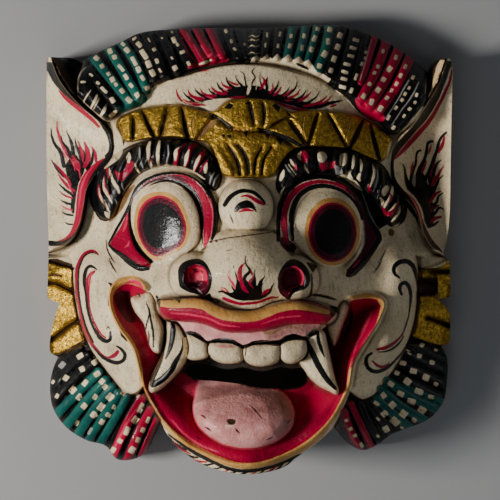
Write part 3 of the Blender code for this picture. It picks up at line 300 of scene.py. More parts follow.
# ---------------------------------------------------------------- sides
CHEEK_L = [(72, 256), (73, 275), (75, 296), (79, 318), (85, 336), (93, 352), (104, 367), (115, 381),
           (126, 393), (136, 394), (143, 388)]
CHEEK_R = [(416, 256), (418.5, 276), (417, 300), (414, 322), (408, 342), (398, 362), (386, 379),
           (374, 394), (362, 399), (350, 392)]
LEAF_TOP_L = [(30, 261), (48, 262), (60, 266), (72, 268)]
LEAF_TOP_R = [(470, 252), (449, 259), (436, 265), (419, 270)]
LEAF_LOW_L = [(88, 342), (74, 349), (58, 356), (30, 360)]
LEAF_LOW_R = [(407, 336), (424, 341), (441, 346), (470, 350)]
LEAF_IN, LEAF_SLOPE = 31.0, 0.26        # height against the cheek, fall a unit outwards
LEAF_R_HOLLOW = 4.0                     # the right leaf is cut deeper along the cheek
# cuts that fan out over the gilt leaves
LEAF_CUTS = [[(73, 291), (66, 288), (58, 284), (48, 283)], [(80, 320), (70, 326), (60, 334), (51, 340)],
             [(420, 282), (428, 280.5), (434, 283)], [(427, 318), (437, 321), (449, 326)]]
TUFT_IN, TUFT_OUT = 36.0, 15.0
TUFT_LOCKS = {
    "k1": [(78, 349), (64, 358), (53, 372), 11], "k2": [(86, 356), (68, 368), (52, 388), 11],
    "k3": [(93, 364), (74, 378), (54, 401), 11], "g1": [(99, 372), (80, 390), (59, 412), 11],
    "g2": [(106, 380), (87, 400), (68, 424), 11], "g3": [(112, 387), (96, 407), (79, 433), 11],
    "g4": [(119, 393), (105, 414), (90, 438), 10], "g5": [(127, 397), (114, 420), (101, 442), 10],
    "r1": [(142, 398), (127, 424), (114, 453), 12], "r2": [(150, 410), (140, 430), (128, 458), 12],
    "r3": [(156, 420), (149, 438), (141, 456), 8],
    "K1": [(411, 344), (428, 349), (445, 356), 11], "K2": [(406, 353), (424, 360), (446, 369), 12],
    "K3": [(400, 363), (420, 372), (446, 384), 12], "K4": [(393, 373), (413, 384), (443, 398), 12],
    "G1": [(387, 381), (408, 395), (436, 409), 11], "G2": [(381, 389), (401, 406), (424, 420), 11],
    "G3": [(377, 398), (392, 413), (408, 426), 11], "K5": [(369, 402), (380, 418), (392, 433), 10],
    "K6": [(360, 403), (370, 425), (380, 441), 9], "R1": [(351, 403), (361, 425), (371, 446), 9],
    "R2": [(344, 412), (350, 430), (359, 448), 11],
}

# ---------------------------------------------------------------- tiara
TIARA = [(116, 128), (119, 119), (142, 109), (178, 105), (200, 110), (213, 112), (228, 101),
         (250, 98.5), (272, 101), (290, 112), (302, 111), (338, 112), (360, 117), (378, 127),
         (391, 138), (389, 150), (382, 161), (366, 157), (345, 149), (325, 147), (303, 147),
         (291, 152), (281, 164), (272, 176), (246, 177.5), (223, 175), (217, 161), (209, 144),
         (196, 140), (170, 137), (145, 139), (124, 141)]
TIARA_UP = 4.5
# V cuts across the band, (top end, bottom end)
TIARA_CUTS = [[(133, 115), (133, 139)], [(142, 109), (155, 137)], [(168, 106), (160, 137)],
              [(182, 107), (188, 139)], [(213, 118), (197, 140)], [(290, 120), (306, 143)],
              [(317, 115), (309, 145)], [(327, 112), (347, 148)], [(363, 120), (350, 149)],
              [(371, 126), (379, 160)]]
TIARA_FOLD = [[(200, 110), (216, 117), (233, 129), (262, 131), (279, 122), (291, 114)],
              [(262, 131), (280, 137), (296, 148)]]
TIARA_RAYS = [[(249, 101), (251, 113), (254, 124)], [(262, 101), (264, 113), (263, 126)],
              [(229, 147), (236, 158), (240, 174)], [(238, 145), (246, 158), (248, 174)],
              [(262, 148), (256, 160), (255, 174)], [(272, 147), (264, 160), (262, 174)]]

# facets cut at a slant: (corners, where level, rise a unit to the right)
TIARA_FACETS = [([(116, 121), (131, 116), (131, 138), (124, 140)], 128, 0.16),
                ([(136, 127), (149, 126), (153, 138), (136, 139)], 144, 0.20),
                ([(161, 126), (170, 126), (186, 135), (186, 139), (160, 137)], 172, 0.13),
                ([(209, 144), (214, 142), (232, 168), (232, 176), (223, 176)], 214, 0.12)]

# ---------------------------------------------------------------- brows
BROW_L = [(97, 214), (90, 196), (94, 178), (106, 163), (126, 149), (148, 140.5), (170, 138.5),
          (190, 141), (206, 149), (216, 162), (221, 178), (215, 190), (204, 180), (190, 171),
          (170, 166), (150, 169), (135, 178), (124, 194), (112, 218), (103, 220)]
BROW_R = [(277, 188), (281, 168), (291, 153), (306, 147.5), (328, 148), (350, 150), (368, 158),
          (384, 168), (392, 184), (401, 196), (406, 210), (402, 222), (392, 226), (379, 213),
          (371, 198), (360, 187), (345, 178), (326, 173), (307, 175), (293, 185), (284, 196)]
BROW_UP = 7.0
BROW_LOCKS = [
    [(141, 146), (138, 158), (132, 170), 6], [(150, 142), (148, 155), (144, 168), 6],
    [(160, 140), (159, 153), (156, 166), 6], [(169, 140), (169, 153), (167, 166), 6],
    [(179, 142), (177, 153), (175, 165), 6], [(191, 143), (188, 154), (186, 166), 6],
    [(203, 150), (199, 159), (194, 170), 6], [(211, 159), (206, 168), (201, 176), 6],
    [(128, 151), (120, 166), (117, 182), 7], [(114, 160), (107, 176), (107, 192), 7],
    [(101, 172), (98, 188), (102, 208), 7],
    [(296, 158), (298, 168), (301, 178), 6], [(306, 152), (309, 162), (311, 173), 7],
    [(321, 151), (322, 161), (323, 172), 8], [(337, 151), (337, 162), (337, 172), 7],
    [(346, 152), (345, 164), (343, 175), 6], [(354, 155), (354, 167), (351, 179), 6],
    [(363, 158), (362, 171), (358, 184), 6], [(375, 164), (374, 178), (367, 192), 7],
    [(383, 172), (383, 186), (378, 200), 6], [(392, 186), (390, 198), (385, 208), 6],
    [(399, 197), (395, 208), (389, 216), 6], [(404, 206), (399, 215), (394, 222), 5],
]

# ---------------------------------------------------------------- eyes
EYE_L = [(129.5, 222), (134, 203), (146, 188), (163, 181), (181, 186), (194, 200), (200, 220),
         (199, 240), (188, 253), (172, 262), (152, 262), (137, 249)]
EYE_R = [(363, 232), (359, 211), (347, 195), (330, 188), (312, 192), (300, 204), (294.5, 222),
         (294, 241), (306, 255), (322, 265), (341, 266), (355, 254)]
LID_L = [(118, 214), (124, 196), (137, 181), (154, 173), (174, 171), (194, 176), (209, 189),
         (217, 207), (217, 228), (210, 243), (199, 252), (203, 232), (199, 208), (188, 191),
         (165, 181), (147, 188), (135, 202), (129.5, 222), (137, 249), (150, 263), (140, 266),
         (124, 258), (108, 246)]
LID_R = [(278, 240), (277, 216), (283, 195), (298, 181), (318, 176), (338, 179), (357, 192),
         (369, 210), (378, 226), (383, 238), (374, 254), (360, 268), (349, 277), (346, 268),
         (356, 254), (363, 232), (359, 211), (347, 195), (330, 188), (312, 192), (300, 204),
         (294.5, 222), (294, 242), (286, 247)]
PUPIL_L = (161.5, 226, 19.5, 23)
PUPIL_R = (334, 231, 19.5, 26.5)
EYE_UP, LID_UP = 9.0, 4.0
EYE_LEAN = ((0.40, 0.50), (0.0, 0.0))     # how far each bulge leans, right and up

# ---------------------------------------------------------------- nose
NUB = (246, 208, 27, 28)
NOSE_BALLS = [(246, 270, 47, 40, 72, 23), (197, 277, 27, 25, 68, 19), (293, 280, 26, 25, 68, 19),
              (246, 243, 40, 14, 70, 11), (222, 276, 38, 26, 70, 20), (270, 277, 38, 26, 70, 20)]
NOSTRIL_L = (196, 278, 13, 14)
NOSTRIL_R = (292.5, 280, 13, 14)
NOSTRIL_DEEP = 7.0

# ---------------------------------------------------------------- mouth
RIM = [(145, 288), (138, 279), (126, 278.5), (113, 288), (111, 304), (119, 325), (133, 345),
       (140, 368), (143, 388), (152, 405), (165, 425), (184, 443), (205, 455), (235, 465),
       (262, 463.5), (288, 454), (310, 441), (330, 422), (341, 404), (348.5, 385), (353, 362),
       (365, 341), (379, 317), (383, 302), (373, 296), (352, 298)]
RIM_UP = 3.0
RIM_R_PROUD = 7.5       # the rim stands higher beside the right cheek
RECESS_TOP = [(352, 298), (340, 312), (325, 328), (305, 337), (275, 342), (245, 345), (215, 341),
              (185, 334), (165, 320), (152, 300), (145, 288)]
LIP = [(157, 304), (162, 298.5), (180, 298), (203, 298), (218, 304.5), (240, 310), (258, 310),
       (276, 304.5), (298, 300.5), (314, 303), (330, 308), (337, 314), (330, 323), (312, 324),
       (290, 324.5), (268, 330), (245, 332.5), (222, 331), (203, 323.5), (180, 321), (163, 318)]
GUM = [(172, 320), (203, 322), (224, 329), (245, 331), (268, 328), (290, 323), (322, 324),
       (318, 330), (306, 337), (295, 334), (281, 340), (262, 342), (244, 346), (228, 342),
       (207, 342), (196, 336), (185, 336), (178, 330)]
TEETH = [
    [(184, 337), (196, 335), (207, 342), (209, 352), (208, 357), (196, 360.5), (188, 359), (183, 350)],
    [(209, 343), (225, 342), (242, 346), (244, 355), (243, 361), (228, 364), (215, 360.5), (208, 354)],
    [(244, 346), (262, 344), (280, 344), (281, 353), (278, 362), (262, 366.5), (249, 364), (243, 358)],
    [(281, 343), (293, 339), (306, 339), (308, 350), (304, 358), (292, 364), (282, 361), (279, 352)],
]
TONGUE = [(201, 377), (195, 392), (192, 407), (196, 424), (207, 436), (225, 446), (247, 449.5),
          (266, 447), (282, 439), (293, 427), (295, 410), (285, 393), (262, 385), (230, 380)]
FANG_L = [(167, 322), (175, 321), (182, 327), (187, 336), (189.5, 347), (188, 357), (183, 366),
          (175, 376), (166, 385), (157, 391.5), (151, 392.5), (149, 388), (150, 382), (153, 374),
          (158, 364), (162.5, 354), (165.5, 344), (166.8, 333)]
FANG_R = [(306, 337), (316, 329), (324, 331), (328, 345), (331, 358), (333.5, 370), (336.5, 382),
          (339, 390), (337.5, 394.5), (330, 391.5), (320, 386.5), (310, 378), (304, 369.5),
          (299, 361), (305.5, 357), (308, 348)]
TUSK_L = [(131, 298), (136, 295.5), (143, 294), (150, 292), (156, 301), (160, 315), (164.5, 328),
          (164, 340), (161, 353), (154, 352), (149, 344), (146.5, 333), (143.5, 323), (139, 317),
          (134, 310)]
TUSK_R = [(344, 300), (348.5, 303), (348, 312), (344.5, 322), (341, 332), (337, 343), (334, 347.5),
          (331, 341), (328, 333), (326, 325), (330, 320), (336, 314), (338, 306)]
LIP_UP = 7.0


class Carving:
    """The front: heights at layout points, built up feature by feature."""

    def __init__(self, step=3.0):
        c = lambda p: path(p, closed=True, step=step)
        o = lambda p: path(p, step=step)
        self.head = fit_heights(HEAD_HEIGHTS)
        self.outline = outline(step)
        out = np.array([(30, 20), (470, 20), (470, 480), (30, 480)], float)
        self.crest = np.vstack([o(CREST_INNER), [(430, 60), (440, 10), (60, 10), (78, 60)]])
        self.crest_in = o(CREST_INNER)
        self.ear_l = np.vstack([o(EAR_L_RIM), [(20, 252), (20, 52)]])
        self.ear_r = np.vstack([o(EAR_R_RIM), [(480, 256), (480, 52)]])
        self.wedge_l, self.wedge_r = np.array(WEDGE_L, float), np.array(WEDGE_R, float)
        self.side_l = np.vstack([o(CHEEK_L), [(150, 402), (161, 420), (161, 480), (20, 480), (20, 256)]])
        self.side_r = np.vstack([o(CHEEK_R), [(346, 402), (334, 426), (334, 480), (480, 480), (480, 256)]])
        self.leaf_l = np.vstack([o(LEAF_TOP_L), o(CHEEK_L)[3:], [(80, 480), (20, 480)]])
        self.leaf_l = np.vstack([o(LEAF_TOP_L), [(78, 300), (92, 341)], o(LEAF_LOW_L)])
        self.leaf_r = np.vstack([o(LEAF_TOP_R), [(412, 300), (404, 335)], o(LEAF_LOW_R)])
        self.locks = [(o(v[:3]), v[3]) for v in LOCKS.values()]
        self.tuft_locks = [(o(v[:3]), v[3]) for v in TUFT_LOCKS.values()]
        self.brow_locks = [(o(v[:3]), v[3]) for v in BROW_LOCKS]
        self.tiara = c(TIARA)
        self.brows = [c(BROW_L), c(BROW_R)]
        self.eyes = [c(EYE_L), c(EYE_R)]
        self.lids = [c(LID_L), c(LID_R)]
        self.mouth = np.vstack([o(RIM), o(RECESS_TOP)[1:-1]])
        self.rim = o(RIM)
        self.hole = c(MOUTH_HOLE)
        self.lip, self.gum, self.tongue = c(LIP), c(GUM), c(TONGUE)
        self.teeth = [c(t) for t in TEETH]
        self.fangs = [c(FANG_L), c(FANG_R)]
        self.tusks = [c(TUSK_L), c(TUSK_R)]

    @staticmethod
    def over(z, d, height, edge):
        """Lay a height over z where d > 0, with a cut edge this wide."""
        return mix(z, height, smooth(0.5 + d / edge))

    @staticmethod
    def round_top(d, width):
        """0 at an edge, 1 from width in, with a round shoulder."""
        t = np.clip(d / width, 0.0, 1.0)
        return np.sqrt(1.0 - (1.0 - t) ** 2)

    def ribs(self, P, locks, up):
        """Rounded locks of hair: the height of the nearest one."""
        best = np.zeros(len(P))
        for c, w in locks:
            d, _ = to_curve(P, c, w)
            t = np.clip(1.0 - (d / (0.54 * w)) ** 2, 0.0, 1.0)
            best = np.maximum(best, up * np.sqrt(t))
        return best

    def cut(self, z, P, points, width, deep):
        """A V shaped cut along a line."""
        c = path(points, step=3.0)
        d, t = to_curve(P, c, width)
        return z - deep * (1.0 - np.clip(d / width, 0, 1))

    def heights(self, P):
        order = np.argsort(P[:, 0], kind="stable")
        z = np.empty(len(P))
        z[order] = self.sorted_heights(P[order])
        return z

    def sorted_heights(self, P):
        a, b = P[:, 0], P[:, 1]
        over, top = self.over, self.round_top
        z = self.head(P)
        edge_d, _ = to_curve(P, self.outline, 75.0, closed=True)

        # cheeks: a swelling along each lobe, the right one the rounder
        for line, up, wide in (([(98, 268), (99, 300), (108, 336), (124, 368)], 3.5, 30),
                               ([(399, 262), (401, 290), (397, 320), (388, 345), (376, 370)], 8.5, 27)):
            d, t = to_curve(P, path(line), 30)
            z = z + up * smooth(1 - d / wide)

        # tiara
        d = depth_in(P, self.tiara, 12)
        z = z + TIARA_UP * smooth(0.5 + d / 3.0)
        for cutline in TIARA_CUTS:
            z = self.cut(z, P, cutline, 4.0, 2.2)
        for cutline in TIARA_FOLD:
            z = self.cut(z, P, cutline, 4.0, 2.0)
        for cutline in TIARA_RAYS:
            z = self.cut(z, P, cutline, 3.0, 1.6)
        for facet, a0, rise in TIARA_FACETS:
            d = depth_in(P, np.array(facet, float), 6)
            z = z + rise * (a - a0) * smooth(0.5 + d / 5.0)

        # eyeballs and lids, then the brows over them
        for eye, lid, lean in zip(self.eyes, self.lids, EYE_LEAN):
            d = depth_in(P, lid, 14)
            z = z + LID_UP * smooth(0.5 + d / 3.0) * (0.7 + 0.3 * top(d, 8))
            d = depth_in(P, eye, 4)
            c, h = (eye.min(0) + eye.max(0)) / 2, (eye.max(0) - eye.min(0)) / 2 + 4
            r = ((a - c[0]) / h[0]) ** 2 + ((b - c[1]) / h[1]) ** 2
            bulge = 1 + lean[0] * (a - c[0]) / h[0] - lean[1] * (b - c[1]) / h[1]
            z = z + (EYE_UP * np.sqrt(np.clip(1 - r, 0, 1)) * bulge - 1.5) * smooth(0.5 + d / 2.0)
        rib = self.ribs(P, self.brow_locks, 2.0)
        for brow in self.brows:
            d = depth_in(P, brow, 16)
            z = z + (BROW_UP * top(d, 13) + rib) * smooth(0.5 + d / 2.5)

        # nose: a small nub between the eyes over a broad round nose
        ca, cb, ra, rb = NUB
        r = ((a - ca) / ra) ** 2 + ((b - cb) / rb) ** 2
        z = smax(z, 68 + 13 * np.sqrt(np.clip(1 - r, 0, 1)) - 60 * np.clip(r - 1, 0, 1), 1.0)
        for ca, cb, ra, rb, low, up in NOSE_BALLS:
            r = ((a - ca) / ra) ** 2 + ((b - cb) / rb) ** 2
            z = smax(z, low + up * np.sqrt(np.clip(1 - r, 0, 1)) - 60 * np.clip(r - 1, 0, 1), 5.0)
        for ca, cb, ra, rb in (NOSTRIL_L, NOSTRIL_R):
            r = np.sqrt(((a - ca) / ra) ** 2 + ((b - cb) / rb) ** 2)
            z = z - NOSTRIL_DEEP * smooth((1.0 - r) / 0.45)

        # mouth: the recess falls away inside the rim
        d_in = depth_in(P, self.mouth, 60)
        d_rim, _ = to_curve(P, self.rim, 60)
        wide = mix(26.0, 54.0, smooth((b - 365) / 60))
        deep = mix(22.0, 27.0, smooth((b - 365) / 60))
        deep = deep - 10.0 * smooth((170 - a) / 16) * smooth((384 - b) / 30)    # shallow by the left tusk
        floor = self.head(P) - deep * smooth(d_rim / wide)
        z = over(z, d_in, floor, 2.5)
        z = z + RIM_UP * smooth(1 - (d_rim - 0.5) / 5.5) * smooth((b - 276) / 8)
        proud = RIM_R_PROUD * smooth((a - 338) / 16) * smooth((b - 290) / 16) * smooth((412 - b) / 34)
        z = z + proud * np.where(d_in > 0, smooth(1 - d_rim / 24), smooth(1 - d_rim / 5))

        # tongue, gums, teeth, upper lip, tusks and fangs
        d = depth_in(P, self.tongue, 60)
        slope = mix(57.0, 84.0, smooth((b - 376) / 52)) - 5.0 * ((a - 245) / 50) ** 2
        z = np.where(d > -1, np.maximum(z, mix(z, slope, top(d, 13))), z)
        arch = 66 + 22 * np.sqrt(np.clip(1 - ((a - 247) / np.where(a > 247, 99, 104)) ** 2, 0, 1))
        d = depth_in(P, self.gum, 12)
        z = over(z, d, arch - 3.0, 2.0)
        for tooth in self.teeth:
            d = depth_in(P, tooth, 14)
            z = over(z, d, arch - 4.5 + 4.0 * top(d, 10), 1.6)
        for tusk in self.tusks:
            d = depth_in(P, tusk, 14)
            z = over(z, d, 58 + 5.0 * top(d, 8) + 4 * smooth((b - 300) / 50), 2.0)
        for fang, low in zip(self.fangs, (0.0, 2.5)):
            d = depth_in(P, fang, 14)
            z = over(z, d, mix(76.0, 72.0, smooth((b - 330) / 60)) - low + 5.0 * top(d, 8), 2.0)
        d = depth_in(P, self.lip, 16)
        z = over(z, d, arch - 2 + LIP_UP * top(d, 13), 2.0)

        # ears
        for ear, rim, side, low, sink in ((self.ear_l, EAR_L_RIM, 46.5, EAR_L_EDGE, EAR_L_SINK),
                                          (self.ear_r, EAR_R_RIM, 451.5, EAR_R_EDGE, EAR_R_SINK)):
            d = depth_in(P, ear, 12)
            r = path(rim, step=3.0)
            w = np.abs(np.interp(b, r[:, 1], r[:, 0]) - side) + 1e-6
            t = np.clip(np.abs(a - side) / w, 0, 1)
            bowl = mix(low, EAR_RIM - 2, t) - sink * 4 * t * (1 - t) * smooth(w / 62)
            bowl = bowl + 2.0 * smooth(1 - np.abs(d - 2.5) / 6)
            z = over(z, d, bowl, 3.0)

        # crest of hair, and the wedges behind the ears
        d = depth_in(P, self.crest, 60)
        d_in, _ = to_curve(P, self.crest_in, 80)
        t = d_in / (d_in + edge_d + 1e-6)
        roll = mix(CREST_IN, CREST_OUT, t ** 1.7) - 3.0 * smooth(1 - d_in / 7)
        side = np.clip((np.abs(a - 250) - 110) / 60, 0, 1)
        roll = roll - 7.0 * side * (1 - t)
        z = over(z, d, roll - 1.8 + self.ribs(P, self.locks, 3.4), 2.5)
        for wedge, rim in ((self.wedge_l, self.ear_l), (self.wedge_r, self.ear_r)):
            d = depth_in(P, wedge, 20)
            d_rim, _ = to_curve(P, rim, 30)
            z = over(z, d, mix(EAR_RIM - 1, 18.0, smooth(d_rim / 15)), 1.5)

        # gilt side leaves and the lower tufts
        for side, leaf, hollow in ((self.side_l, self.leaf_l, 0.0),
                                   (self.side_r, self.leaf_r, LEAF_R_HOLLOW)):
            d = depth_in(P, side, 60)
            d_in, _ = to_curve(P, side[:40], 90)
            t = d / (d + edge_d + 1e-6)
            t = np.clip(t, 0, 1)
            hair = mix(TUFT_IN, TUFT_OUT, t ** 1.5) - 1.8 + self.ribs(P, self.tuft_locks, 3.4)
            low = mix(hair, 26.0, smooth((345 - b) / 4))
            z = over(z, d, low, 3.0)
            dl = depth_in(P, leaf, 12)
            gilt = LEAF_IN - LEAF_SLOPE * np.clip(d, 0, 32) + 0.7 * np.sin((b - 262) * 0.16)
            gilt = gilt - hollow * smooth((20 - d) / 5) * smooth((b - 268) / 4) * smooth((297 - b) / 4)
            for line in LEAF_CUTS:
                gilt = self.cut(gilt, P, line, 4.0, 2.4)
            z = np.where(d > -2, mix(z, gilt, smooth(0.5 + dl / 2.0) * smooth(0.5 + d / 3.0)), z)
        return z

    def steps(self):
        """The curves along which the front steps up or down: (curve, closed)."""
        ca, cb, ra, rb = NUB
        found = [(self.crest_in, False), (self.tiara, True), (self.lip, True), (self.tongue, True),
                 (self.rim, False), (path(RECESS_TOP, step=5.0), False),
                 (path(EAR_L_RIM, step=5.0), False), (path(EAR_R_RIM, step=5.0), False),
                 (path(CHEEK_L, step=5.0), False), (path(CHEEK_R, step=5.0), False)]
        for group in (self.brows, self.eyes, self.lids, self.fangs, self.tusks, self.teeth):
            found += [(c, True) for c in group]
        return found
# ---------------------------------------------------------------- the hollow
WALL = 9.7                     # wood left in front of the hollow, mm
HOLLOW = (250.0, 247.0, 152.0, 176.0)     # centre and half sizes, layout units
HOLLOW_DEEP = 60.0
MOUTH_FLARE = (1.04, 1.65)      # the mouth opening widens towards the back


def flared(hole):
    c = np.array([246.0, 376.0])
    return c + (hole - c) * MOUTH_FLARE + (0.0, -3.0)


def hollow_edge(shrink=1.0, step=10.0):
    """The hollow's edge in the flat back."""
    ca, cb, ra, rb = HOLLOW
    t = np.linspace(0, 2 * math.pi, 400, endpoint=False)
    c, s = np.cos(t), np.sin(t)
    k = (np.abs(c) ** 2.4 + np.abs(s) ** 2.4) ** (-1 / 2.4) * shrink
    return path(np.stack([ca + ra * k * c, cb + rb * k * s], 1)[::8], closed=True, step=step)


class Back:
    """Height of the back surface: flat rim, and a hollow that follows the
    front at the thickness of the wall."""

    def __init__(self, carving, cell=5.0):
        self.cell = cell
        n = int(500 / cell) + 1
        g = np.arange(n) * cell
        A, B = np.meshgrid(g, g)
        P = np.stack([A.ravel(), B.ravel()], 1)
        front = carving.heights(P).reshape(n, n)
        m = int(WALL / UNIT / cell) + 1
        wall = np.full((n, n), 1e9)
        for i in range(-m, m + 1):
            for j in range(-m, m + 1):
                r = math.hypot(i, j) * cell * UNIT
                if r < WALL:
                    shifted = np.roll(np.roll(front, i, 0), j, 1)
                    wall = np.minimum(wall, shifted - math.sqrt(WALL ** 2 - r ** 2))
        z = np.clip(wall, 0, HOLLOW_DEEP)
        for _ in range(3):      # chisel work leaves no sharp inner corners
            z = (z * 4 + np.roll(z, 1, 0) + np.roll(z, -1, 0) + np.roll(z, 1, 1) + np.roll(z, -1, 1)) / 8
        self.z = z

    def heights(self, P):
        q = np.clip(P / self.cell, 0, len(self.z) - 1.001)
        i, j = q[:, 1].astype(int), q[:, 0].astype(int)
        v, u = q[:, 1] - i, q[:, 0] - j
        z = self.z
        wall = ((z[i, j] * (1 - u) + z[i, j + 1] * u) * (1 - v)
                + (z[i + 1, j] * (1 - u) + z[i + 1, j + 1] * u) * v)
        ca, cb, ra, rb = HOLLOW
        r = (np.abs((P[:, 0] - ca) / ra) ** 2.4 + np.abs((P[:, 1] - cb) / rb) ** 2.4) ** (1 / 2.4)
        bowl = HOLLOW_DEEP * np.clip(1 - r ** 2.2, 0, 1) ** 0.55
        return np.where(bowl < 0.02, 0.0, np.clip(-smax(-bowl, -wall, 4.0), 0, None))


def tuck_at(a, b):
    """How far the wall leans in at the back, mm: the underside of the chin
    slopes away, elsewhere the edge is only eased."""
    return 0.6 + 15.0 * np.exp(-((a - 247) / 62) ** 2) * smooth((b - 425) / 30)


# ---------------------------------------------------------------- noise
def lattice(i, j, seed):
    """A steady pseudo-random number in 0..1 for each cell of a grid."""
    h = (i.astype(np.int64) * 374761393 + j.astype(np.int64) * 668265263 + seed * 1442695041)
    h = (h ^ (h >> 13)) & 0xFFFFFFFF
    h = (h * 1274126177) & 0xFFFFFFFF
    h = (h ^ (h >> 16)) & 0xFFFFFFFF
    return h / 4294967296.0


def waves(P, size, seed=0, stretch=(1.0, 1.0)):
    """Smooth noise, -1..1, with bumps of about this size."""
    q = P / (size * np.array(stretch))
    f = np.floor(q)
    t = q - f
    t = t * t * (3 - 2 * t)
    i, j = f[:, 0], f[:, 1]
    v = ((lattice(i, j, seed) * (1 - t[:, 0]) + lattice(i + 1, j, seed) * t[:, 0]) * (1 - t[:, 1])
         + (lattice(i, j + 1, seed) * (1 - t[:, 0]) + lattice(i + 1, j + 1, seed) * t[:, 0]) * t[:, 1])
    return 2 * v - 1


def scoops(P, size, seed=0, stretch=(1.0, 1.0)):
    """Shallow gouge cuts: 0 in the middle of a cut, up to 1 on the ridges
    between neighbouring cuts."""
    q = P / (size * np.array(stretch))
    f = np.floor(q)
    one = np.full(len(P), 9.0)
    two = np.full(len(P), 9.0)
    for di in (-1, 0, 1):
        for dj in (-1, 0, 1):
            i, j = f[:, 0] + di, f[:, 1] + dj
            d = np.hypot(i + 0.15 + 0.7 * lattice(i, j, seed) - q[:, 0],
                         j + 0.15 + 0.7 * lattice(i, j, seed + 7) - q[:, 1])
            two = np.minimum(two, np.maximum(one, d))
            one = np.minimum(one, d)
    return 1 - np.clip((two - one) / 0.55, 0, 1)


# ---------------------------------------------------------------- meshing
def beside(curve, closed, gap, step):
    """Chains of points at a gap on each side of a curve."""
    c = path(curve, closed=closed, step=step)
    if closed:
        run = np.roll(c, -1, 0) - np.roll(c, 1, 0)
    else:
        run = np.gradient(c, axis=0)
    side = np.stack([-run[:, 1], run[:, 0]], 1)
    side /= np.hypot(*side.T)[:, None] + 1e-9
    chains = []
    for s in (-gap, gap):
        q = c + s * side
        order = np.argsort(q[:, 0], kind="stable")
        d = np.empty(len(q))
        d[order] = to_curve(q[order], c, gap * 2, closed=closed)[0]
        good = d > 0.9 * gap
        cut = np.flatnonzero(~good)
        for part in np.split(q, cut):
            if len(part) > 2:
                chains.append(part[1:] if len(cut) and not np.array_equal(part[0], q[0]) else part)
        if closed and good.all():
            chains[-1] = np.vstack([chains[-1], chains[-1][:1]])
    return chains


def triangulate(points, loops, lines=()):
    """Delaunay triangles inside the first loop and outside the others, that
    keep to the loops and to the lines (pairs of point numbers)."""
    edges, n = [], 0
    for loop in loops:
        m = len(loop)
        edges += [(n + k, n + (k + 1) % m) for k in range(m)]
        n += m
    edges += [tuple(int(i) for i in e) for e in lines]
    verts, kept, faces, ids, _, _ = delaunay_2d_cdt(
        [tuple(p) for p in points], edges, [], 0, 1e-5, True)
    V = np.array([tuple(v) for v in verts], float)
    T = np.array([f for f in faces if len(f) == 3], int)
    c = V[T].mean(1)
    keep = inside(c, loops[0])
    for hole in loops[1:]:
        keep &= ~inside(c, hole)
    return V, T[keep]


class Scatter:
    """Points that keep their distance from each other."""

    def __init__(self, border):
        self.points = [tuple(p) for p in border]
        self.cells = {}
        for k, p in enumerate(self.points):
            self.cells.setdefault((int(p[0] * 0.5), int(p[1] * 0.5)), []).append((p[0], p[1], k))
        self.lines = []

    def near(self, x, y, r):
        i, j = int(x * 0.5), int(y * 0.5)
        r2 = r * r
        for ci in ((i - 1, i, i + 1) if r <= 2 else range(i - 2, i + 3)):
            for cj in ((j - 1, j, j + 1) if r <= 2 else range(j - 2, j + 3)):
                for px, py, k in self.cells.get((ci, cj), ()):
                    if (px - x) ** 2 + (py - y) ** 2 < r2:
                        return k
        return -1

    def add(self, x, y):
        k = len(self.points)
        self.points.append((x, y))
        self.cells.setdefault((int(x * 0.5), int(y * 0.5)), []).append((x, y, k))
        return k

    def chain(self, c, r):
        """A line that the triangles keep to."""
        last = -1
        for x, y in c:
            k = self.near(x, y, r)
            if k < 0:
                k = self.add(x, y)
            elif k < self.border:
                last = -1
                continue
            if last >= 0 and last != k:
                self.lines.append((last, k))
            last = k

    def fill(self, Q, r):
        r = np.broadcast_to(r, (len(Q),))
        for (x, y), d in zip(Q.tolist(), r.tolist()):
            if self.near(x, y, d) < 0:
                self.add(x, y)


def clear_of(Q, loops, gap):
    """Which points lie inside the first loop, outside the others, and at
    least a gap away from all of them."""
    ok = inside(Q, loops[0])
    for hole in loops[1:]:
        ok &= ~inside(Q, hole)
    order = np.argsort(Q[:, 0], kind="stable")
    for loop in loops:
        d = np.empty(len(Q))
        d[order] = to_curve(Q[order], loop, gap * 1.5, closed=True)[0]
        ok &= d > gap
    return ok


def hexes(step):
    g = np.arange(20, 480, step)
    h = np.arange(10, 490, step * 0.866)
    A, B = np.meshgrid(g, h)
    A = A + (np.arange(len(h)) % 2)[:, None] * step / 2
    return np.stack([A.ravel(), B.ravel()], 1)


def sample(grid, P, cell):
    q = np.clip(P / cell, 0, np.array(grid.shape)[::-1] - 1.001)
    i, j = q[:, 1].astype(int), q[:, 0].astype(int)
    v, u = q[:, 1] - i, q[:, 0] - j
    return ((grid[i, j] * (1 - u) + grid[i, j + 1] * u) * (1 - v)
            + (grid[i + 1, j] * (1 - u) + grid[i + 1, j + 1] * u) * v)


def blur(z, r):
    """A box blur, twice."""
    for _ in range(2):
        for axis in (0, 1):
            pad = [(0, 0), (0, 0)]
            pad[axis] = (r + 1, r)
            s = np.cumsum(np.pad(z, pad, mode="edge"), axis=axis)
            n = 2 * r + 1
            z = (s[n:] - s[:-n]) / n if axis == 0 else (s[:, n:] - s[:, :-n]) / n
    return z
# ---------------------------------------------------------------- paint
# mauve is painted shade; grey is painted highlights and glints, and on the right ear cream in shade; rose is crimson
# paint that also carries painted highlights
COLOURS = ["brown", "wood", "gold", "green", "ochre", "pink", "painted_shade_mauve", "rose_and_highlight", "red", "maroon",
           "umber", "black", "pupil", "highlight_and_shade_grey"]        # each laid over the ones before it
REACH = 4.0


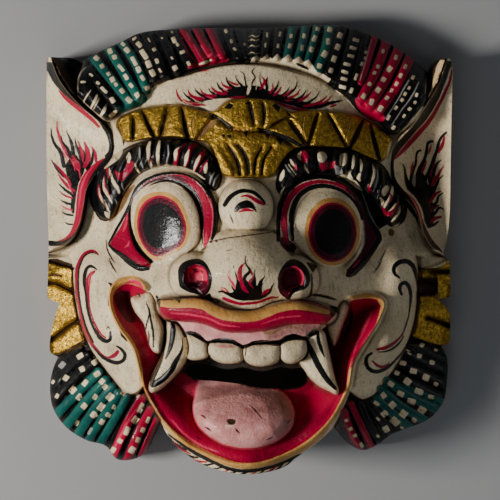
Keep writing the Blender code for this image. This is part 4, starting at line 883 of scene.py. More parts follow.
class Painter:
    """Brushes colours on in order.  Each colour keeps, for every point, the
    distance to its edge in layout units (negative inside), and a later stroke
    takes the place of what lay under it."""

    def __init__(self, P):
        self.order = np.argsort(P[:, 0], kind="stable")
        q = P[self.order]
        # the unsteady hand: edges wander by a fraction of a unit
        wob = lambda k, s: (np.sin(q[:, 0] * 0.31 * k + s) * np.sin(q[:, 1] * 0.27 * k + 1.7 * s)
                            + 0.6 * np.sin(q[:, 0] * 0.83 * k + 2.1 * s + q[:, 1] * 0.71 * k))
        q = q + 0.16 * np.stack([wob(1.0, 0.4), wob(1.13, 2.3)], 1)
        self.again = np.argsort(q[:, 0], kind="stable")
        self.P = q[self.again]
        self.D = np.full((len(COLOURS), len(P)), REACH)
        self.edges = []
        self.bounds = None

    def put(self, colour, d, i=None):
        if i is None:
            i = np.flatnonzero(d < REACH)
            d = d[i]
        if not len(i):
            return
        if self.bounds is not None:         # keep within a shape
            d = np.maximum(d, self.bounds[i])
        if colour == "white":
            self.D[:, i] = np.maximum(self.D[:, i], -d)
            return
        k = COLOURS.index(colour)
        own = np.minimum(self.D[k, i], d)
        for j in range(len(COLOURS)):
            if j < k:           # an under layer runs a little way beneath
                self.D[j, i] = np.maximum(self.D[j, i], -d - 1.0)
            elif j > k:
                own = np.minimum(own, np.maximum(d - 1.0, self.D[j, i]))
                self.D[j, i] = np.maximum(self.D[j, i], -d)
        self.D[k, i] = own

    def stroke(self, colour, width, points, closed=False, step=1.5):
        c = path(points, closed=closed, step=step)
        w = np.atleast_1d(np.array(width, float))
        reach = w.max() / 2 + REACH
        lo, hi = c[:, 0].min() - reach, c[:, 0].max() + reach
        s = slice(*np.searchsorted(self.P[:, 0], (lo, hi)))
        if s.stop <= s.start:
            return
        q = self.P[s]
        m = np.flatnonzero((q[:, 1] > c[:, 1].min() - reach) & (q[:, 1] < c[:, 1].max() + reach))
        if not len(m):
            return
        d, t = to_curve(q[m], c, reach, closed)
        if len(w) > 1:
            d = d - 0.5 * np.interp(t, np.linspace(0, 1, len(w)), w)
        else:
            d = d - 0.5 * w[0]
        near_it = d < REACH
        self.put(colour, d[near_it], m[near_it] + s.start)
        self.mark(c, w, closed)

    def mark(self, c, w, closed):
        """Points along a stroke: its middle and a little outside it, or on
        both sides of each edge of a broad one."""
        run = (np.roll(c, -1, 0) - np.roll(c, 1, 0)) if closed else np.gradient(c, axis=0)
        n = np.stack([-run[:, 1], run[:, 0]], 1)
        n /= np.hypot(*n.T)[:, None] + 1e-9
        h = 0.5 * np.interp(np.linspace(0, 1, len(c)), np.linspace(0, 1, len(w)), w)[:, None]
        thin = h[:, 0] < 1.9
        self.edges.append(np.where(thin[:, None], c, c - n * (h - 0.8)))
        self.edges.append((c + n * (h - 0.8))[~thin])
        self.edges += [c - n * (h + 0.75), c + n * (h + 0.75)]

    def rim(self, c):
        run = np.roll(c, -1, 0) - np.roll(c, 1, 0)
        n = np.stack([-run[:, 1], run[:, 0]], 1)
        n /= np.hypot(*n.T)[:, None] + 1e-9
        self.edges += [c - n * 0.8, c + n * 0.8]

    def area(self, colour, points, straight=False, grow=0.0):
        if straight:
            p = np.array(points, float)
            q = np.roll(p, -1, 0)
            c = np.vstack([a + (b - a) * np.linspace(0, 1, max(1, int(np.hypot(*(b - a)) / 1.5)),
                                                   endpoint=False)[:, None] for a, b in zip(p, q)])
        else:
            c = path(points, closed=True, step=1.5)
        self.put(colour, -depth_in(self.P, c, REACH + grow) - grow)
        self.rim(c)

    def shape(self, colour, c, grow=0.0):
        self.put(colour, -depth_in(self.P, c, REACH + abs(grow)) - grow)
        self.rim(path(c, closed=True, step=1.7))

    def dab(self, colour, a, b, along, across, turn):
        """One press of a flat brush."""
        t = math.radians(turn)
        u = np.array([math.cos(t), math.sin(t)])
        v = np.array([-u[1], u[0]])
        reach = max(along, across) / 2 + REACH
        s = slice(*np.searchsorted(self.P[:, 0], (a - reach, a + reach)))
        q = self.P[s] - (a, b)
        m = np.flatnonzero(np.abs(q[:, 1]) < reach)
        x, y = np.abs(q[m] @ u) - along / 2 + 0.8, np.abs(q[m] @ v) - across / 2 + 0.8
        d = np.hypot(np.clip(x, 0, None), np.clip(y, 0, None)) + np.minimum(np.maximum(x, y), 0) - 0.8
        self.put(colour, d, m + s.start)
        k = np.array([(-1, -1), (0, -1), (1, -1), (1, 0), (1, 1), (0, 1), (-1, 1), (-1, 0)], float)
        self.edges.append((a, b) + k[:, :1] * u * (along / 2 + 0.5) + k[:, 1:] * v * (across / 2 + 0.5))
        self.edges.append(np.array([(a, b)], float))

    def fields(self):
        out = np.empty_like(self.D)
        tmp = np.empty_like(self.D)
        tmp[:, self.again] = self.D
        out[:, self.order] = tmp
        return out


def on_locks(p, locks, names, dabs, colour="white"):
    """Rows of cream dabs down the locks: (a, b, along, across) each."""
    for a, b, along, across in dabs:
        best, turn = 1e9, 0.0
        for n in names:
            c = path(locks[n][:3], step=4.0)
            k = int(np.argmin(np.hypot(c[:, 0] - a, c[:, 1] - b)))
            d = math.hypot(c[k, 0] - a, c[k, 1] - b)
            if d < best:
                r = c[min(k + 1, len(c) - 1)] - c[max(k - 1, 0)]
                best, turn = d, math.degrees(math.atan2(r[1], r[0]))
        # no two presses of the brush alike
        n = lattice(np.array([int(a * 7)]), np.array([int(b * 5)]), 3)[0]
        m = lattice(np.array([int(b * 7)]), np.array([int(a * 5)]), 5)[0]
        p.dab(colour, a, b, along * (0.88 + 0.28 * n), across * (0.86 + 0.30 * m), turn + 26 * (m - 0.5))


def paint_crest(p, carving):
    p.shape("black", carving.crest)
    tint = {"g": "green", "r": "red"}
    for name, (o, m, i, w) in LOCKS.items():
        if name[0] in tint:
            o2 = (o[0] + (o[0] - m[0]) * 0.25, o[1] + (o[1] - m[1]) * 0.25)
            p.stroke(tint[name[0]], 0.80 * w, [o2, m, i])
    p.stroke("green", 9, [(122, 109), (132, 104), (143, 99)])
    p.stroke("red", 5, [(190, 66.5), (208, 63), (226, 59.5)])
    p.stroke("red", (8, 11, 11, 7), [(359, 101), (366, 110), (375, 116.6), (381.6, 118)])
    for name in ("g1", "g2", "g3", "g4", "g5", "g6", "g7", "r4", "r5", "r6", "r7"):
        o, m, i, w = LOCKS[name]
        q = path([o, m, i], step=2.0)
        t = np.gradient(q, axis=0)
        t /= np.hypot(*t.T)[:, None] + 1e-9
        e = q + 0.5 * w * np.stack([-t[:, 1], t[:, 0]], 1)
        p.stroke("black", 1.4, e[1:-1:4])
    left, right = ["k1", "k2", "g1", "g2", "g3", "k3", "k4", "k5", "k6"], list(LOCKS)[12:]
    on_locks(p, LOCKS, left, [
        (91, 75, 4, 2.6), (98, 83, 4, 3.2), (104, 90, 8, 3.6), (112.5, 100, 6, 4.5), (83, 82, 2, 4.5),
        (96.5, 58, 5, 5.5), (102, 66, 5, 4), (108.5, 74, 4.5, 3.6), (112.5, 79.5, 6, 4.4),
        (116, 84.5, 5, 3.6), (122, 91, 6, 4.4), (129, 100, 6.5, 5.5),
        (110, 51, 5, 4), (114.5, 57, 5, 4), (121, 68, 9, 4), (126, 77, 5.5, 4), (131, 85.5, 6, 4),
        (137, 95, 6, 5.5),
        (123, 44, 4.5, 4), (127, 50, 5.5, 5), (134, 61, 11, 4), (138.5, 69.5, 6, 5),
        (142.5, 78, 6, 4.2), (147, 88, 5, 4.6),
        (134.5, 38.5, 2.6, 5), (139, 44.5, 6, 5), (144, 54.5, 9.5, 5.4), (148.5, 64, 6.8, 5.6),
        (152.5, 73, 6.6, 5.6),
        (149, 40, 5, 1.6), (154, 49.5, 4.5, 4), (157, 61, 4.6, 3.6), (160, 70.5, 5, 2.6),
        (162, 38, 1.8, 2), (172, 58, 4, 2.4), (175, 68, 5, 6), (172, 32, 2.5, 2.2),
        (174, 40, 6, 4), (177.5, 44.5, 4, 2.6), (182.5, 52, 3, 5.5), (188.5, 63.5, 4.5, 3.4)])
    # broad cream strokes across the first lock, and its pale edge
    p.stroke("white", (0.8, 1.3, 1.0), [(91, 90), (87, 96), (83.4, 102)])
    p.stroke("white", (2.4, 3.0, 1.8), [(97, 95), (94.6, 101), (91, 108)])
    p.stroke("white", (0.8, 1.2, 0.8), [(99.6, 98), (96.4, 104), (93.6, 109.4)])
    p.stroke("white", (2.2, 3.4, 2.4), [(106.4, 104), (104.4, 109.4), (101, 115.4)])
    p.stroke("white", (3.6, 4.4, 3.0), [(110.6, 116), (113.4, 113.6), (116, 111.4)])
    p.stroke("white", (1.4, 2.4, 3.0, 2.2, 1.0), [(83, 102), (92, 111), (100, 117.6), (108, 123), (114, 125)])
    # painted highlight along the outer lock
    p.stroke("highlight_and_shade_grey", (1.2, 1.4, 1.0), [(86, 67), (80, 74), (77, 82), (78, 90)])
    # streaks on the red locks at the top left
    for s, w in (([(179, 33), (183, 42), (190, 55), (196, 62)], 1.6),
                 ([(186, 32), (190, 40)], 1.4), ([(194, 45), (198, 53), (203, 60)], 1.8),
                 ([(201, 46), (206, 55)], 2.2), ([(209, 44), (212, 53)], 2.0),
                 ([(204, 58), (208, 56.5), (212, 54)], 3.0), ([(215, 57), (219, 55)], 2.4)):
        p.stroke("rose_and_highlight", w, s)
    p.stroke("white", (1.5, 3.5, 2), [(199, 64.5), (205, 62.5), (211, 60)])
    p.stroke("black", (3, 2), [(212, 66.5), (222, 64)])
    on_locks(p, LOCKS, right, [
        (226, 31, 3.6, 3.4), (231.5, 41, 4.6, 3), (234.5, 49, 4, 3), (244.5, 44, 3, 2.2),
        (267, 35, 5, 2), (265.5, 45, 5, 2), (280, 34, 5, 2.4), (278, 46, 5, 2.6),
        (291, 36, 5, 3.2), (290, 46, 5.5, 3.4), (304, 36, 5, 3.2), (302, 48, 6, 3.6),
        (317.5, 29, 4, 4), (314.5, 38.5, 6, 4), (311.5, 49.5, 6, 4.2),
        (330, 29.5, 5, 4.8), (328, 41.5, 6.5, 5), (324.5, 54, 6.5, 5), (319.5, 66, 6, 5),
        (340, 35.5, 6, 4.6), (337.5, 47, 6, 4.6), (334, 59, 6.5, 4.8), (331, 70.5, 5.5, 4.6),
        (366, 52, 3.4, 2.6), (365, 58, 3.4, 2.6), (362, 64, 4, 3), (356, 77, 6, 2.8),
        (351.5, 90.5, 5, 3), (383, 51, 4, 3), (378, 66.5, 4, 3.6), (374.5, 73, 4, 3.4),
        (369.5, 84, 5, 4), (363.5, 96, 5, 4), (396, 57.5, 4.5, 4), (389.5, 69, 5.5, 4.4),
        (383.5, 79.5, 5.5, 4.6), (378, 90, 5.5, 4.6), (371.5, 102, 6, 5),
        (405.5, 66.5, 4.5, 3.4), (400.5, 75.5, 4.5, 3.6), (396.5, 84, 4.5, 3.6), (391.5, 90.5, 4, 3.6),
        (387, 98, 5, 4), (380.5, 108.5, 6, 5),
        (413, 77.5, 4.5, 3), (409, 88, 4.5, 3), (405, 94, 4, 3), (402, 100, 4, 3), (396, 108, 4.5, 3),
        (388.5, 117.5, 5, 3.4), (416.5, 95, 4, 3), (415, 102.5, 4, 3), (409.5, 109, 4, 3),
        (404, 116, 4.5, 3), (393.5, 127.5, 5, 3.4)])
    for a, b, w in ((356, 40, 7), (353, 48, 7), (351, 56, 7), (347, 64.5, 7.5), (345, 72, 7.5),
                    (344, 79, 7), (342.5, 87, 7)):
        p.dab("white", a, b, 3.4, w, 105)
    for y in (36, 40, 46, 53):
        p.stroke("white", 1.3, [(248.5, y + 1), (252, y - 0.6), (255.5, y + 0.8), (259, y - 0.4)])
    # painted highlights along the ridges of the locks
    p.stroke("highlight_and_shade_grey", 0.9, [(409, 80), (403, 90), (395, 104), (386, 118)])
    p.stroke("highlight_and_shade_grey", 0.9, [(419, 82), (412, 96), (400, 112), (392, 125)])
    p.stroke("highlight_and_shade_grey", 0.8, [(371, 40), (366, 60), (360, 80)])
    # the scalloped cream strip under the right half
    p.area("white", [(252, 58), (257, 55), (262, 59), (267, 54), (272, 59), (277, 53.5), (283, 59),
                     (288, 54), (294, 60), (299, 56), (304, 62), (309, 59), (313, 66), (317, 72),
                     (323, 74), (331, 79), (327, 84), (312, 77), (300, 73.5), (290, 70), (275, 66.5),
                     (262, 64.5), (250, 63)], straight=True)
    p.stroke("black", (2, 3.4, 2), [(297, 64), (302, 66), (308, 69)])
    p.stroke("white", (3, 5, 5, 5, 4), [(423, 108), (411, 124), (400, 136), (392, 144), (388, 158)])


def paint_forehead(p):
    # the carved line that edges the forehead
    p.stroke("umber", (0.6, 1.3, 1.5, 1.3, 0.8), [(183, 77), (200, 71), (222, 65.5), (250, 63.5),
                                                  (275, 66.5), (300, 73.5), (314, 77)])
    p.stroke("rose_and_highlight", (1.0, 2.2, 0.8), [(200, 72), (204, 70.5), (209, 71)])
    # the flaming brow in the middle of the forehead
    p.area("black", [(189, 101), (198, 102.4), (205, 101), (214, 99), (222, 98.5), (235, 98), (248, 98.5), (262, 99),
                     (275, 101), (290, 105), (302, 108.5), (312, 109.5), (320, 108.4), (332, 104.4), (344, 100),
                     (333, 101), (320, 103), (308, 103), (298, 99), (288, 97), (280, 94.5), (268, 90.6), (258, 86),
                     (248, 85.6), (240, 86.6), (231, 88.4), (222, 92), (213, 95.4), (204, 98.6), (196, 99)])
    black = (((0.8, 2.4, 3.6, 4.2), [(183, 92), (188, 97), (193.6, 100), (202, 101.4)]),
             ((0.6, 2.4, 3.2, 3.2), [(194, 87), (197, 92), (203, 96), (211, 98.6)]),
             ((0.6, 2.2, 2.6), [(208, 88), (211, 92), (217, 95.6)]),
             ((0.8, 2.4, 3.0, 3.0), [(217, 82), (219, 87), (224, 91), (231, 93.6)]),
             ((0.8, 2.2, 3.0, 3.2), [(226, 77), (227.2, 81.4), (230.4, 85.4), (237, 89)]),
             ((0.5, 1.6, 2.6), [(235, 75), (237, 80), (242, 86)]),
             ((0.6, 1.4, 1.6, 2.0), [(240, 71), (244, 74), (245, 80), (246, 87)]),
             ((0.6, 1.6, 1.8, 2.0, 2.0), [(255, 67.6), (252, 72), (255, 77), (252, 83), (251, 89)]),
             ((0.6, 1.2, 1.6), [(260, 72), (260, 80), (262, 87)]),
             ((0.8, 2.6, 3.0, 3.0), [(268, 77), (266, 82), (267, 88), (265, 93)]),
             ((0.8, 2.4, 3.0), [(279, 81), (277, 87), (271, 94)]),
             ((0.6, 2.0, 2.8), [(290, 86), (287, 91.4), (280, 96.6)]),
             ((0.8, 2.4, 3.0, 3.0), [(297, 82), (296, 87), (291, 92.4), (282, 98)]),
             ((0.8, 2.4, 3.0), [(306, 90), (303, 95.4), (296, 100)]),
             ((0.6, 1.8, 2.4, 2.8), [(319, 92), (316, 97), (309, 102), (303, 104)]))
    red = (((0.8, 2.4, 3.6, 3.4, 2.6, 1.2), [(176.4, 88.6), (177, 94), (180.4, 99), (185.6, 101.8), (195, 104.2), (206, 105.4)]),
           ((0.8, 3.0, 4.0, 3.0), [(188, 90), (190, 94.4), (195, 98), (203, 98.8)]),
           ((0.8, 2.4, 3.2, 2.4), [(200, 89), (203, 93), (208, 95.6), (215, 96)]),
           ((0.8, 2.6, 3.4, 2.6), [(211, 86), (214, 90), (219, 93), (226, 93.6)]),
           ((0.8, 2.4, 3.0), [(221, 82), (224, 86), (230, 88)]),
           ((0.8, 2.4, 2.0), [(229, 80.6), (233, 83.4), (238, 85)]),
           ((0.8, 2.6, 3.0, 2.0), [(262, 76.6), (264.6, 81), (263, 85.6), (260.4, 89)]),
           ((0.8, 2.4, 2.4), [(272, 83.6), (273, 88.6), (270, 93)]),
           ((0.8, 2.6, 2.4), [(281.4, 86.6), (279, 91), (274, 95)]),
           ((0.6, 2.0, 2.0), [(292, 88), (289, 92.6), (284, 96)]),
           ((0.8, 2.4, 2.4), [(300.4, 88.6), (297, 94), (289, 98)]),
           ((0.8, 2.8, 3.0), [(311, 91.4), (307, 96.4), (299, 101)]),
           ((0.8, 2.6, 3.0, 2.4), [(327.6, 95.4), (322, 100.6), (313, 104.6), (304, 106)]),
           ((0.8, 2.0, 1.6), [(331.6, 95.6), (327, 101), (320, 104)]),
           ((0.8, 2.8, 3.2, 2.8, 1.4), [(275, 102), (282, 104.2), (291, 107.8), (300, 109.6), (308, 110)]),
           ((0.8, 2.6, 1.4), [(229, 98), (237, 97.6), (245, 96.6)]),
           ((0.8, 3.0, 0.8), [(329.6, 107), (333, 105.8), (337, 104.6)]))
    for w, c in black:
        p.stroke("black", w, c)
    for w, c in red:
        p.stroke("red", w, c)
    for c in ([(206, 96.4), (214, 99)], [(284, 100.4), (293, 100.6)], [(222, 89.4), (228, 91.4)], [(284, 105.6), (294, 109)]):
        p.stroke("rose_and_highlight", (0.6, 1.4, 0.6), c)
    for c in ([(179, 96), (186, 102.5), (193, 104)], [(190.6, 97.4), (197, 101.4), (203, 102.6)]):
        p.stroke("white", (0.5, 1.0, 0.4), c)
    p.stroke("white", (1.4, 3.4, 3.6, 2.0), [(248.6, 79), (249.4, 84), (249, 89), (247.6, 94)])
    p.stroke("white", (0.5, 1.2, 0.5), [(257, 78), (257, 84), (256, 90)])


def paint_tiara(p, carving):
    p.shape("gold", carving.tiara, grow=0.5)
    p.bounds = 0.6 - depth_in(p.P, carving.tiara, REACH)
    # dark in the cuts, on the side turned from the light only
    for w, c in (((2.0, 3.6, 3.6, 2.6), [(133.6, 119), (133.6, 126), (133.4, 133), (133.4, 139)]),
                 ((1.4, 3.0, 4.2, 3.6), [(142, 110.6), (146, 120), (150, 130), (154.4, 136.6)]),
                 ((0.8, 1.6, 1.8, 1.4), [(169, 108), (165.4, 119), (162.4, 129), (160.4, 137)]),
                 ((1.4, 3.4, 4.4, 3.6), [(181.6, 107), (184, 119), (186.2, 131), (189, 139.4)]),
                 ((1.0, 2.4, 2.8, 2.2), [(205.6, 111), (213.6, 115), (222, 120), (232.6, 127.6)]),
                 ((1.0, 2.6, 3.2, 2.4), [(229, 146), (235, 155), (239, 166), (240.2, 174.6)]),
                 ((1.0, 2.6, 3.2, 2.4), [(238.8, 144), (244.2, 152), (248, 162), (249.2, 173)]),
                 ((1.0, 2.8, 3.0, 1.6), [(250.6, 102), (252, 110), (253.2, 117), (254.2, 122)]),
                 ((1.0, 2.6, 2.6, 1.4), [(262.6, 101), (264.6, 108), (264.8, 116), (263.8, 124)]),
                 ((1.0, 2.4, 2.8, 2.0), [(261.4, 149), (256.8, 157), (254.8, 166), (254.6, 174)]),
                 ((1.0, 2.4, 2.8, 2.0), [(271.4, 148), (265.6, 156), (262.6, 166), (261.6, 174)]),
                 ((1.6, 3.2, 4.2, 5.0, 4.0), [(258, 128.6), (268, 131), (278.6, 135), (290, 139.6), (300.6, 146)]),
                 ((1.0, 2.6, 2.6, 2.0), [(287, 120), (293, 128.6), (299.4, 137), (304.4, 144)]),
                 ((1.0, 2.6, 3.0, 2.0), [(326.6, 111.6), (335, 126), (342.6, 140), (347, 148)]),
                 ((1.6, 3.6, 4.6, 3.4), [(370.6, 124), (374, 140), (377, 150), (379.4, 159)])):
        p.stroke("black", w, c)
    # painted shade as well: umber down the other cuts and the fold, brown beside the cuts and over the fold at the left
    for w, c in (((2.0, 4.6, 4.6, 2.6), [(318.4, 113), (315, 123), (311.6, 134), (308.6, 145)]),
                 ((2.0, 5.0, 5.2, 3.0), [(363, 120), (358, 131), (354, 140), (349.6, 149)]),
                 ((1.0, 2.2, 2.2, 1.0), [(269, 129), (275, 123.6), (283, 120), (292, 116.6)]),
                 ((1.0, 2.0, 2.4, 1.4), [(285, 110), (289, 114.6), (295, 118)])):
        p.stroke("umber", w, c)
    p.stroke("brown", (2.0, 5.6, 6.4, 3.0), [(197.4, 140.6), (203, 132), (209, 125.4), (217, 121)])
    p.stroke("brown", (1.0, 2.6, 1.6), [(118, 122), (120, 130), (122, 138)])
    for c in ([(172, 110), (168, 124), (164.6, 136)], [(196, 112), (192, 124), (194, 136)], [(351, 118), (347, 134), (344, 144)],
              [(304, 118), (303, 132), (306, 143)]):
        p.stroke("brown", (0.6, 1.4, 1.2), c)
    # notches along the crown piece and under the fold
    for c in ([(224, 108), (229, 102.6), (234, 104.4), (231, 109)], [(244.6, 103.4), (250, 100.6), (250.4, 105)],
              [(272, 106), (275.4, 103), (281, 107), (279, 112)], [(220.6, 134), (225.6, 134), (224.6, 138.4)],
              [(226, 135.4), (231.4, 134), (232, 139.4)], [(243, 132), (248, 130.6), (247, 138)],
              [(264, 133), (270, 133.6), (269, 139.4)], [(275, 137), (283, 139), (281, 145.4)]):
        p.area("black", c, straight=True)
    for k in range(9):          # a row of small beads
        p.dab("ochre", 217.6 + 4.1 * k, 128.4 + 1.6 * math.sin(0.4 * k), 2.0, 1.8, 0)
    p.bounds = None


def paint_brows(p, carving):
    for brow in carving.brows:
        p.shape("black", brow, grow=1.2)
    p.area("black", [(118, 142), (126, 139), (122, 150), (108, 160), (104, 156)], straight=True)
    # left brow: cream and red lines down the locks, and thin painted highlights
    p.stroke("highlight_and_shade_grey", (0.8, 1.6, 1.4, 1.8, 0.8), [(139.6, 147), (139.6, 154), (140.6, 161), (143, 168)])
    p.stroke("white", (2.4, 3.8, 3.6, 3.4, 1.6), [(150, 142), (148.2, 149), (148.6, 156), (150, 163), (152, 169)])
    p.stroke("red", (0.8, 1.6, 0.8), [(150.5, 154), (151, 159), (152, 163)])
    p.stroke("white", (1.8, 3.4, 3.4, 3.2, 2.4), [(159.6, 141), (158, 149), (157.8, 157), (158.6, 166)])
    p.stroke("highlight_and_shade_grey", (0.6, 1.4, 1.2, 0.6), [(168, 145), (168.4, 153), (167, 160), (166.6, 166)])
    p.stroke("white", (1.0, 2.4, 1.0), [(164, 166), (167, 165), (170, 167)])
    p.stroke("red", (1.6, 4.4, 3.4, 4.6, 3.0), [(186, 143.5), (180.5, 148), (177.6, 155), (176, 161), (175, 166)])
    p.stroke("white", (0.8, 1.6, 4.2, 2.0), [(182, 146), (176.5, 149.6), (175.6, 155.5), (175.2, 160)])
    p.stroke("red", (3.0, 6.0, 5.0, 4.4, 2.4), [(197, 143.5), (192, 147), (189, 154), (187, 161), (185, 166)])
    p.stroke("white", (1.2, 3.6, 3.6, 1.4), [(189, 150), (186.6, 156), (185.6, 162), (184.6, 166)])
    p.stroke("red", (3.0, 5.4, 4.6, 3.6, 2.0), [(204.5, 151), (201.6, 155.5), (198, 162), (195.4, 167), (193.6, 171)])
    p.stroke("white", (1.2, 3.4, 2.6, 1.2), [(200.4, 155.5), (197, 161.5), (194.6, 167), (193.6, 171)])
    p.stroke("red", (0.8, 2.4, 1.8, 1.0), [(207.4, 160), (204.6, 164.5), (202, 168.5), (199.6, 172)])
    p.stroke("white", (1.2, 4.0, 2.6), [(207, 163), (205.8, 168), (205.4, 172.4)])
    p.stroke("highlight_and_shade_grey", (0.6, 1.8, 0.8), [(214.6, 172), (211, 178), (209.6, 184)])
    p.stroke("highlight_and_shade_grey", (0.6, 1.8, 0.8), [(220, 173), (215.6, 179), (213, 186)])
    p.area("red", [(128, 160), (134, 162), (132, 171), (127, 176), (122, 182), (117.5, 179), (114, 170),
                   (119.5, 173), (125, 169)], straight=True)
    p.stroke("white", (1.6, 5.4, 2.4), [(129, 153), (128.6, 158), (128.6, 162)])
    p.stroke("white", (0.8, 2.4, 1.6), [(134.6, 163.5), (136.5, 169), (140, 173.5)])
    p.stroke("red", (1.0, 2.6, 1.2), [(107.4, 165), (107.6, 172), (109.6, 179)])
    p.stroke("white", (0.8, 2.6, 3.4, 3.8, 2.0), [(109, 168), (111, 176), (114, 183), (118, 189.5), (119, 193)])
    p.stroke("highlight_and_shade_grey", (0.5, 1.0, 0.6), [(121, 180), (122.6, 187), (126, 193)])
    p.stroke("red", (0.8, 3.4, 2.6, 1.2), [(104, 176), (104, 184), (107, 191), (110, 196)])
    p.stroke("white", (0.6, 1.8, 3.0, 2.4, 1.2), [(103.6, 178), (103.4, 186), (106.4, 193), (110, 199), (112, 203)])
    p.stroke("red", (0.8, 3.4, 3.4, 1.6), [(98.6, 184), (99, 192), (102, 200), (106, 207)])
    p.stroke("white", (0.5, 1.4, 3.0, 2.6, 1.2), [(98.6, 188), (100, 195), (103, 201), (106, 206), (109.6, 212)])
    p.stroke("highlight_and_shade_grey", (0.6, 1.6, 0.8), [(115, 199), (117, 203), (116, 208)])
    p.stroke("brown", (1.2, 4.2, 7.0, 6.6, 4.4, 2.0), [(109.6, 222), (114, 216), (119, 208), (124.4, 199), (128.8, 192), (134, 185.6)])
    p.area("white", [(104, 211), (110, 213), (109.5, 219), (106, 217)], straight=True)
    # right brow, with thin painted highlights among its lines
    p.stroke("white", (1.4, 4.4, 2.4), [(283.6, 170), (282.4, 175), (280.6, 180)])
    p.stroke("highlight_and_shade_grey", (0.6, 1.4, 0.8), [(285.4, 164.5), (289, 170.5), (294, 176.5)])
    p.stroke("white", (0.5, 1.0, 0.5), [(288.4, 164), (292, 169.5), (296, 175)])
    p.stroke("red", (1.2, 3.0, 2.0), [(292, 162), (294.4, 165.6), (296.4, 169)])
    p.stroke("white", (1.4, 3.0, 1.0), [(290.4, 159.6), (292, 163), (294, 166.4)])
    p.area("red", [(300, 153), (305, 150), (309, 156), (307, 163), (302, 162)], straight=True)
    p.stroke("white", (1.4, 4.0, 1.4), [(301, 151.6), (299, 156), (300.6, 160)])
    p.stroke("white", (0.8, 2.6, 1.4), [(304.4, 164), (305.8, 168.6), (308.6, 173.4)])
    p.area("red", [(320, 160), (328, 162), (336, 161), (336, 168), (329, 169), (322, 171), (319.6, 166)], straight=True)
    p.area("white", [(318, 153), (323, 151.6), (327, 156), (325, 161.5), (319, 162)])
    p.area("highlight_and_shade_grey", [(334, 165), (341, 167), (343, 174), (336, 175)], straight=True)
    p.stroke("black", 1.2, [(329, 160), (329.4, 166), (329.4, 172)])
    p.area("white", [(341, 154.5), (346, 153), (347, 158), (345.6, 165), (340, 165.6), (339.6, 159)])
    p.stroke("white", (2.0, 3.2, 3.0, 2.0), [(353.6, 156), (353.4, 162), (352.6, 168)])
    p.stroke("white", (1.6, 3.0, 3.0, 2.0), [(360.4, 159.6), (361.4, 165), (360.8, 171)])
    p.stroke("white", (1.4, 3.6, 1.6), [(349.4, 171.6), (349, 174.6), (352, 178.4)])
    p.stroke("white", (1.4, 4.4, 2.0), [(360.6, 173.4), (358.4, 177), (360, 180.6)])
    p.stroke("white", (1.0, 2.6, 2.8, 2.4, 1.4), [(372.6, 164.6), (374.2, 171.6), (373, 179), (370, 186.6)])
    p.stroke("highlight_and_shade_grey", (0.6, 2.0, 2.0, 0.8), [(377, 169), (378, 177), (376, 184), (373, 191)])
    p.stroke("red", (1.0, 2.8, 1.4), [(368.6, 185), (369.4, 189), (372, 192)])
    p.area("white", [(381.5, 191), (386, 185.6), (389.4, 186.6), (387, 194), (383.6, 196.4)])
    p.stroke("white", (1.6, 3.4, 3.6, 3.2, 1.6), [(392.8, 186.6), (391.8, 193), (389, 200), (385.4, 205), (383.6, 209)])
    p.stroke("white", (1.0, 3.2, 1.6), [(380, 197.6), (382.4, 200.6), (382, 205)])
    p.stroke("red", (1.0, 2.2, 1.0), [(389.6, 192), (391.4, 198), (388, 203.6)])
    p.stroke("red", (2.0, 4.4, 4.4, 3.0, 1.4), [(383, 207.5), (385.6, 213), (390.6, 214.4), (394.6, 208.6), (398.4, 201.6)])
    p.stroke("white", (0.8, 2.2, 1.6), [(388.4, 211.5), (392, 208.6), (396, 203.4)])
    p.stroke("white", (0.8, 3.0, 3.0, 1.2), [(400.4, 205.6), (398.4, 212), (395, 217.6), (391.4, 221.6)])
    p.area("brown", [(389, 229), (394, 230), (393, 236), (389, 235)])
    # cream crescents below the brows
    p.stroke("white", (3.0, 6.0, 6.6, 5.6, 5.2, 3.6, 1.2), [(135.5, 180), (143, 175.6), (153, 171.4), (166, 168.6),
                                                         (180, 169.2), (192, 172.6), (204.6, 179)])
    p.stroke("white", (1.6, 4.0, 5.2, 4.4, 1.6), [(337.6, 176.6), (344.4, 176.4), (350, 180), (355.6, 184.4), (361.6, 190.4)])
    p.area("white", [(391.6, 226.5), (400.6, 222.6), (394.6, 232)], straight=True)
    p.stroke("white", (1.2, 2.6, 1.4), [(284.6, 187), (281.4, 192), (279.4, 199)])
    p.stroke("white", (1.5, 3, 1.5), [(133, 181), (128, 187), (123, 195)])


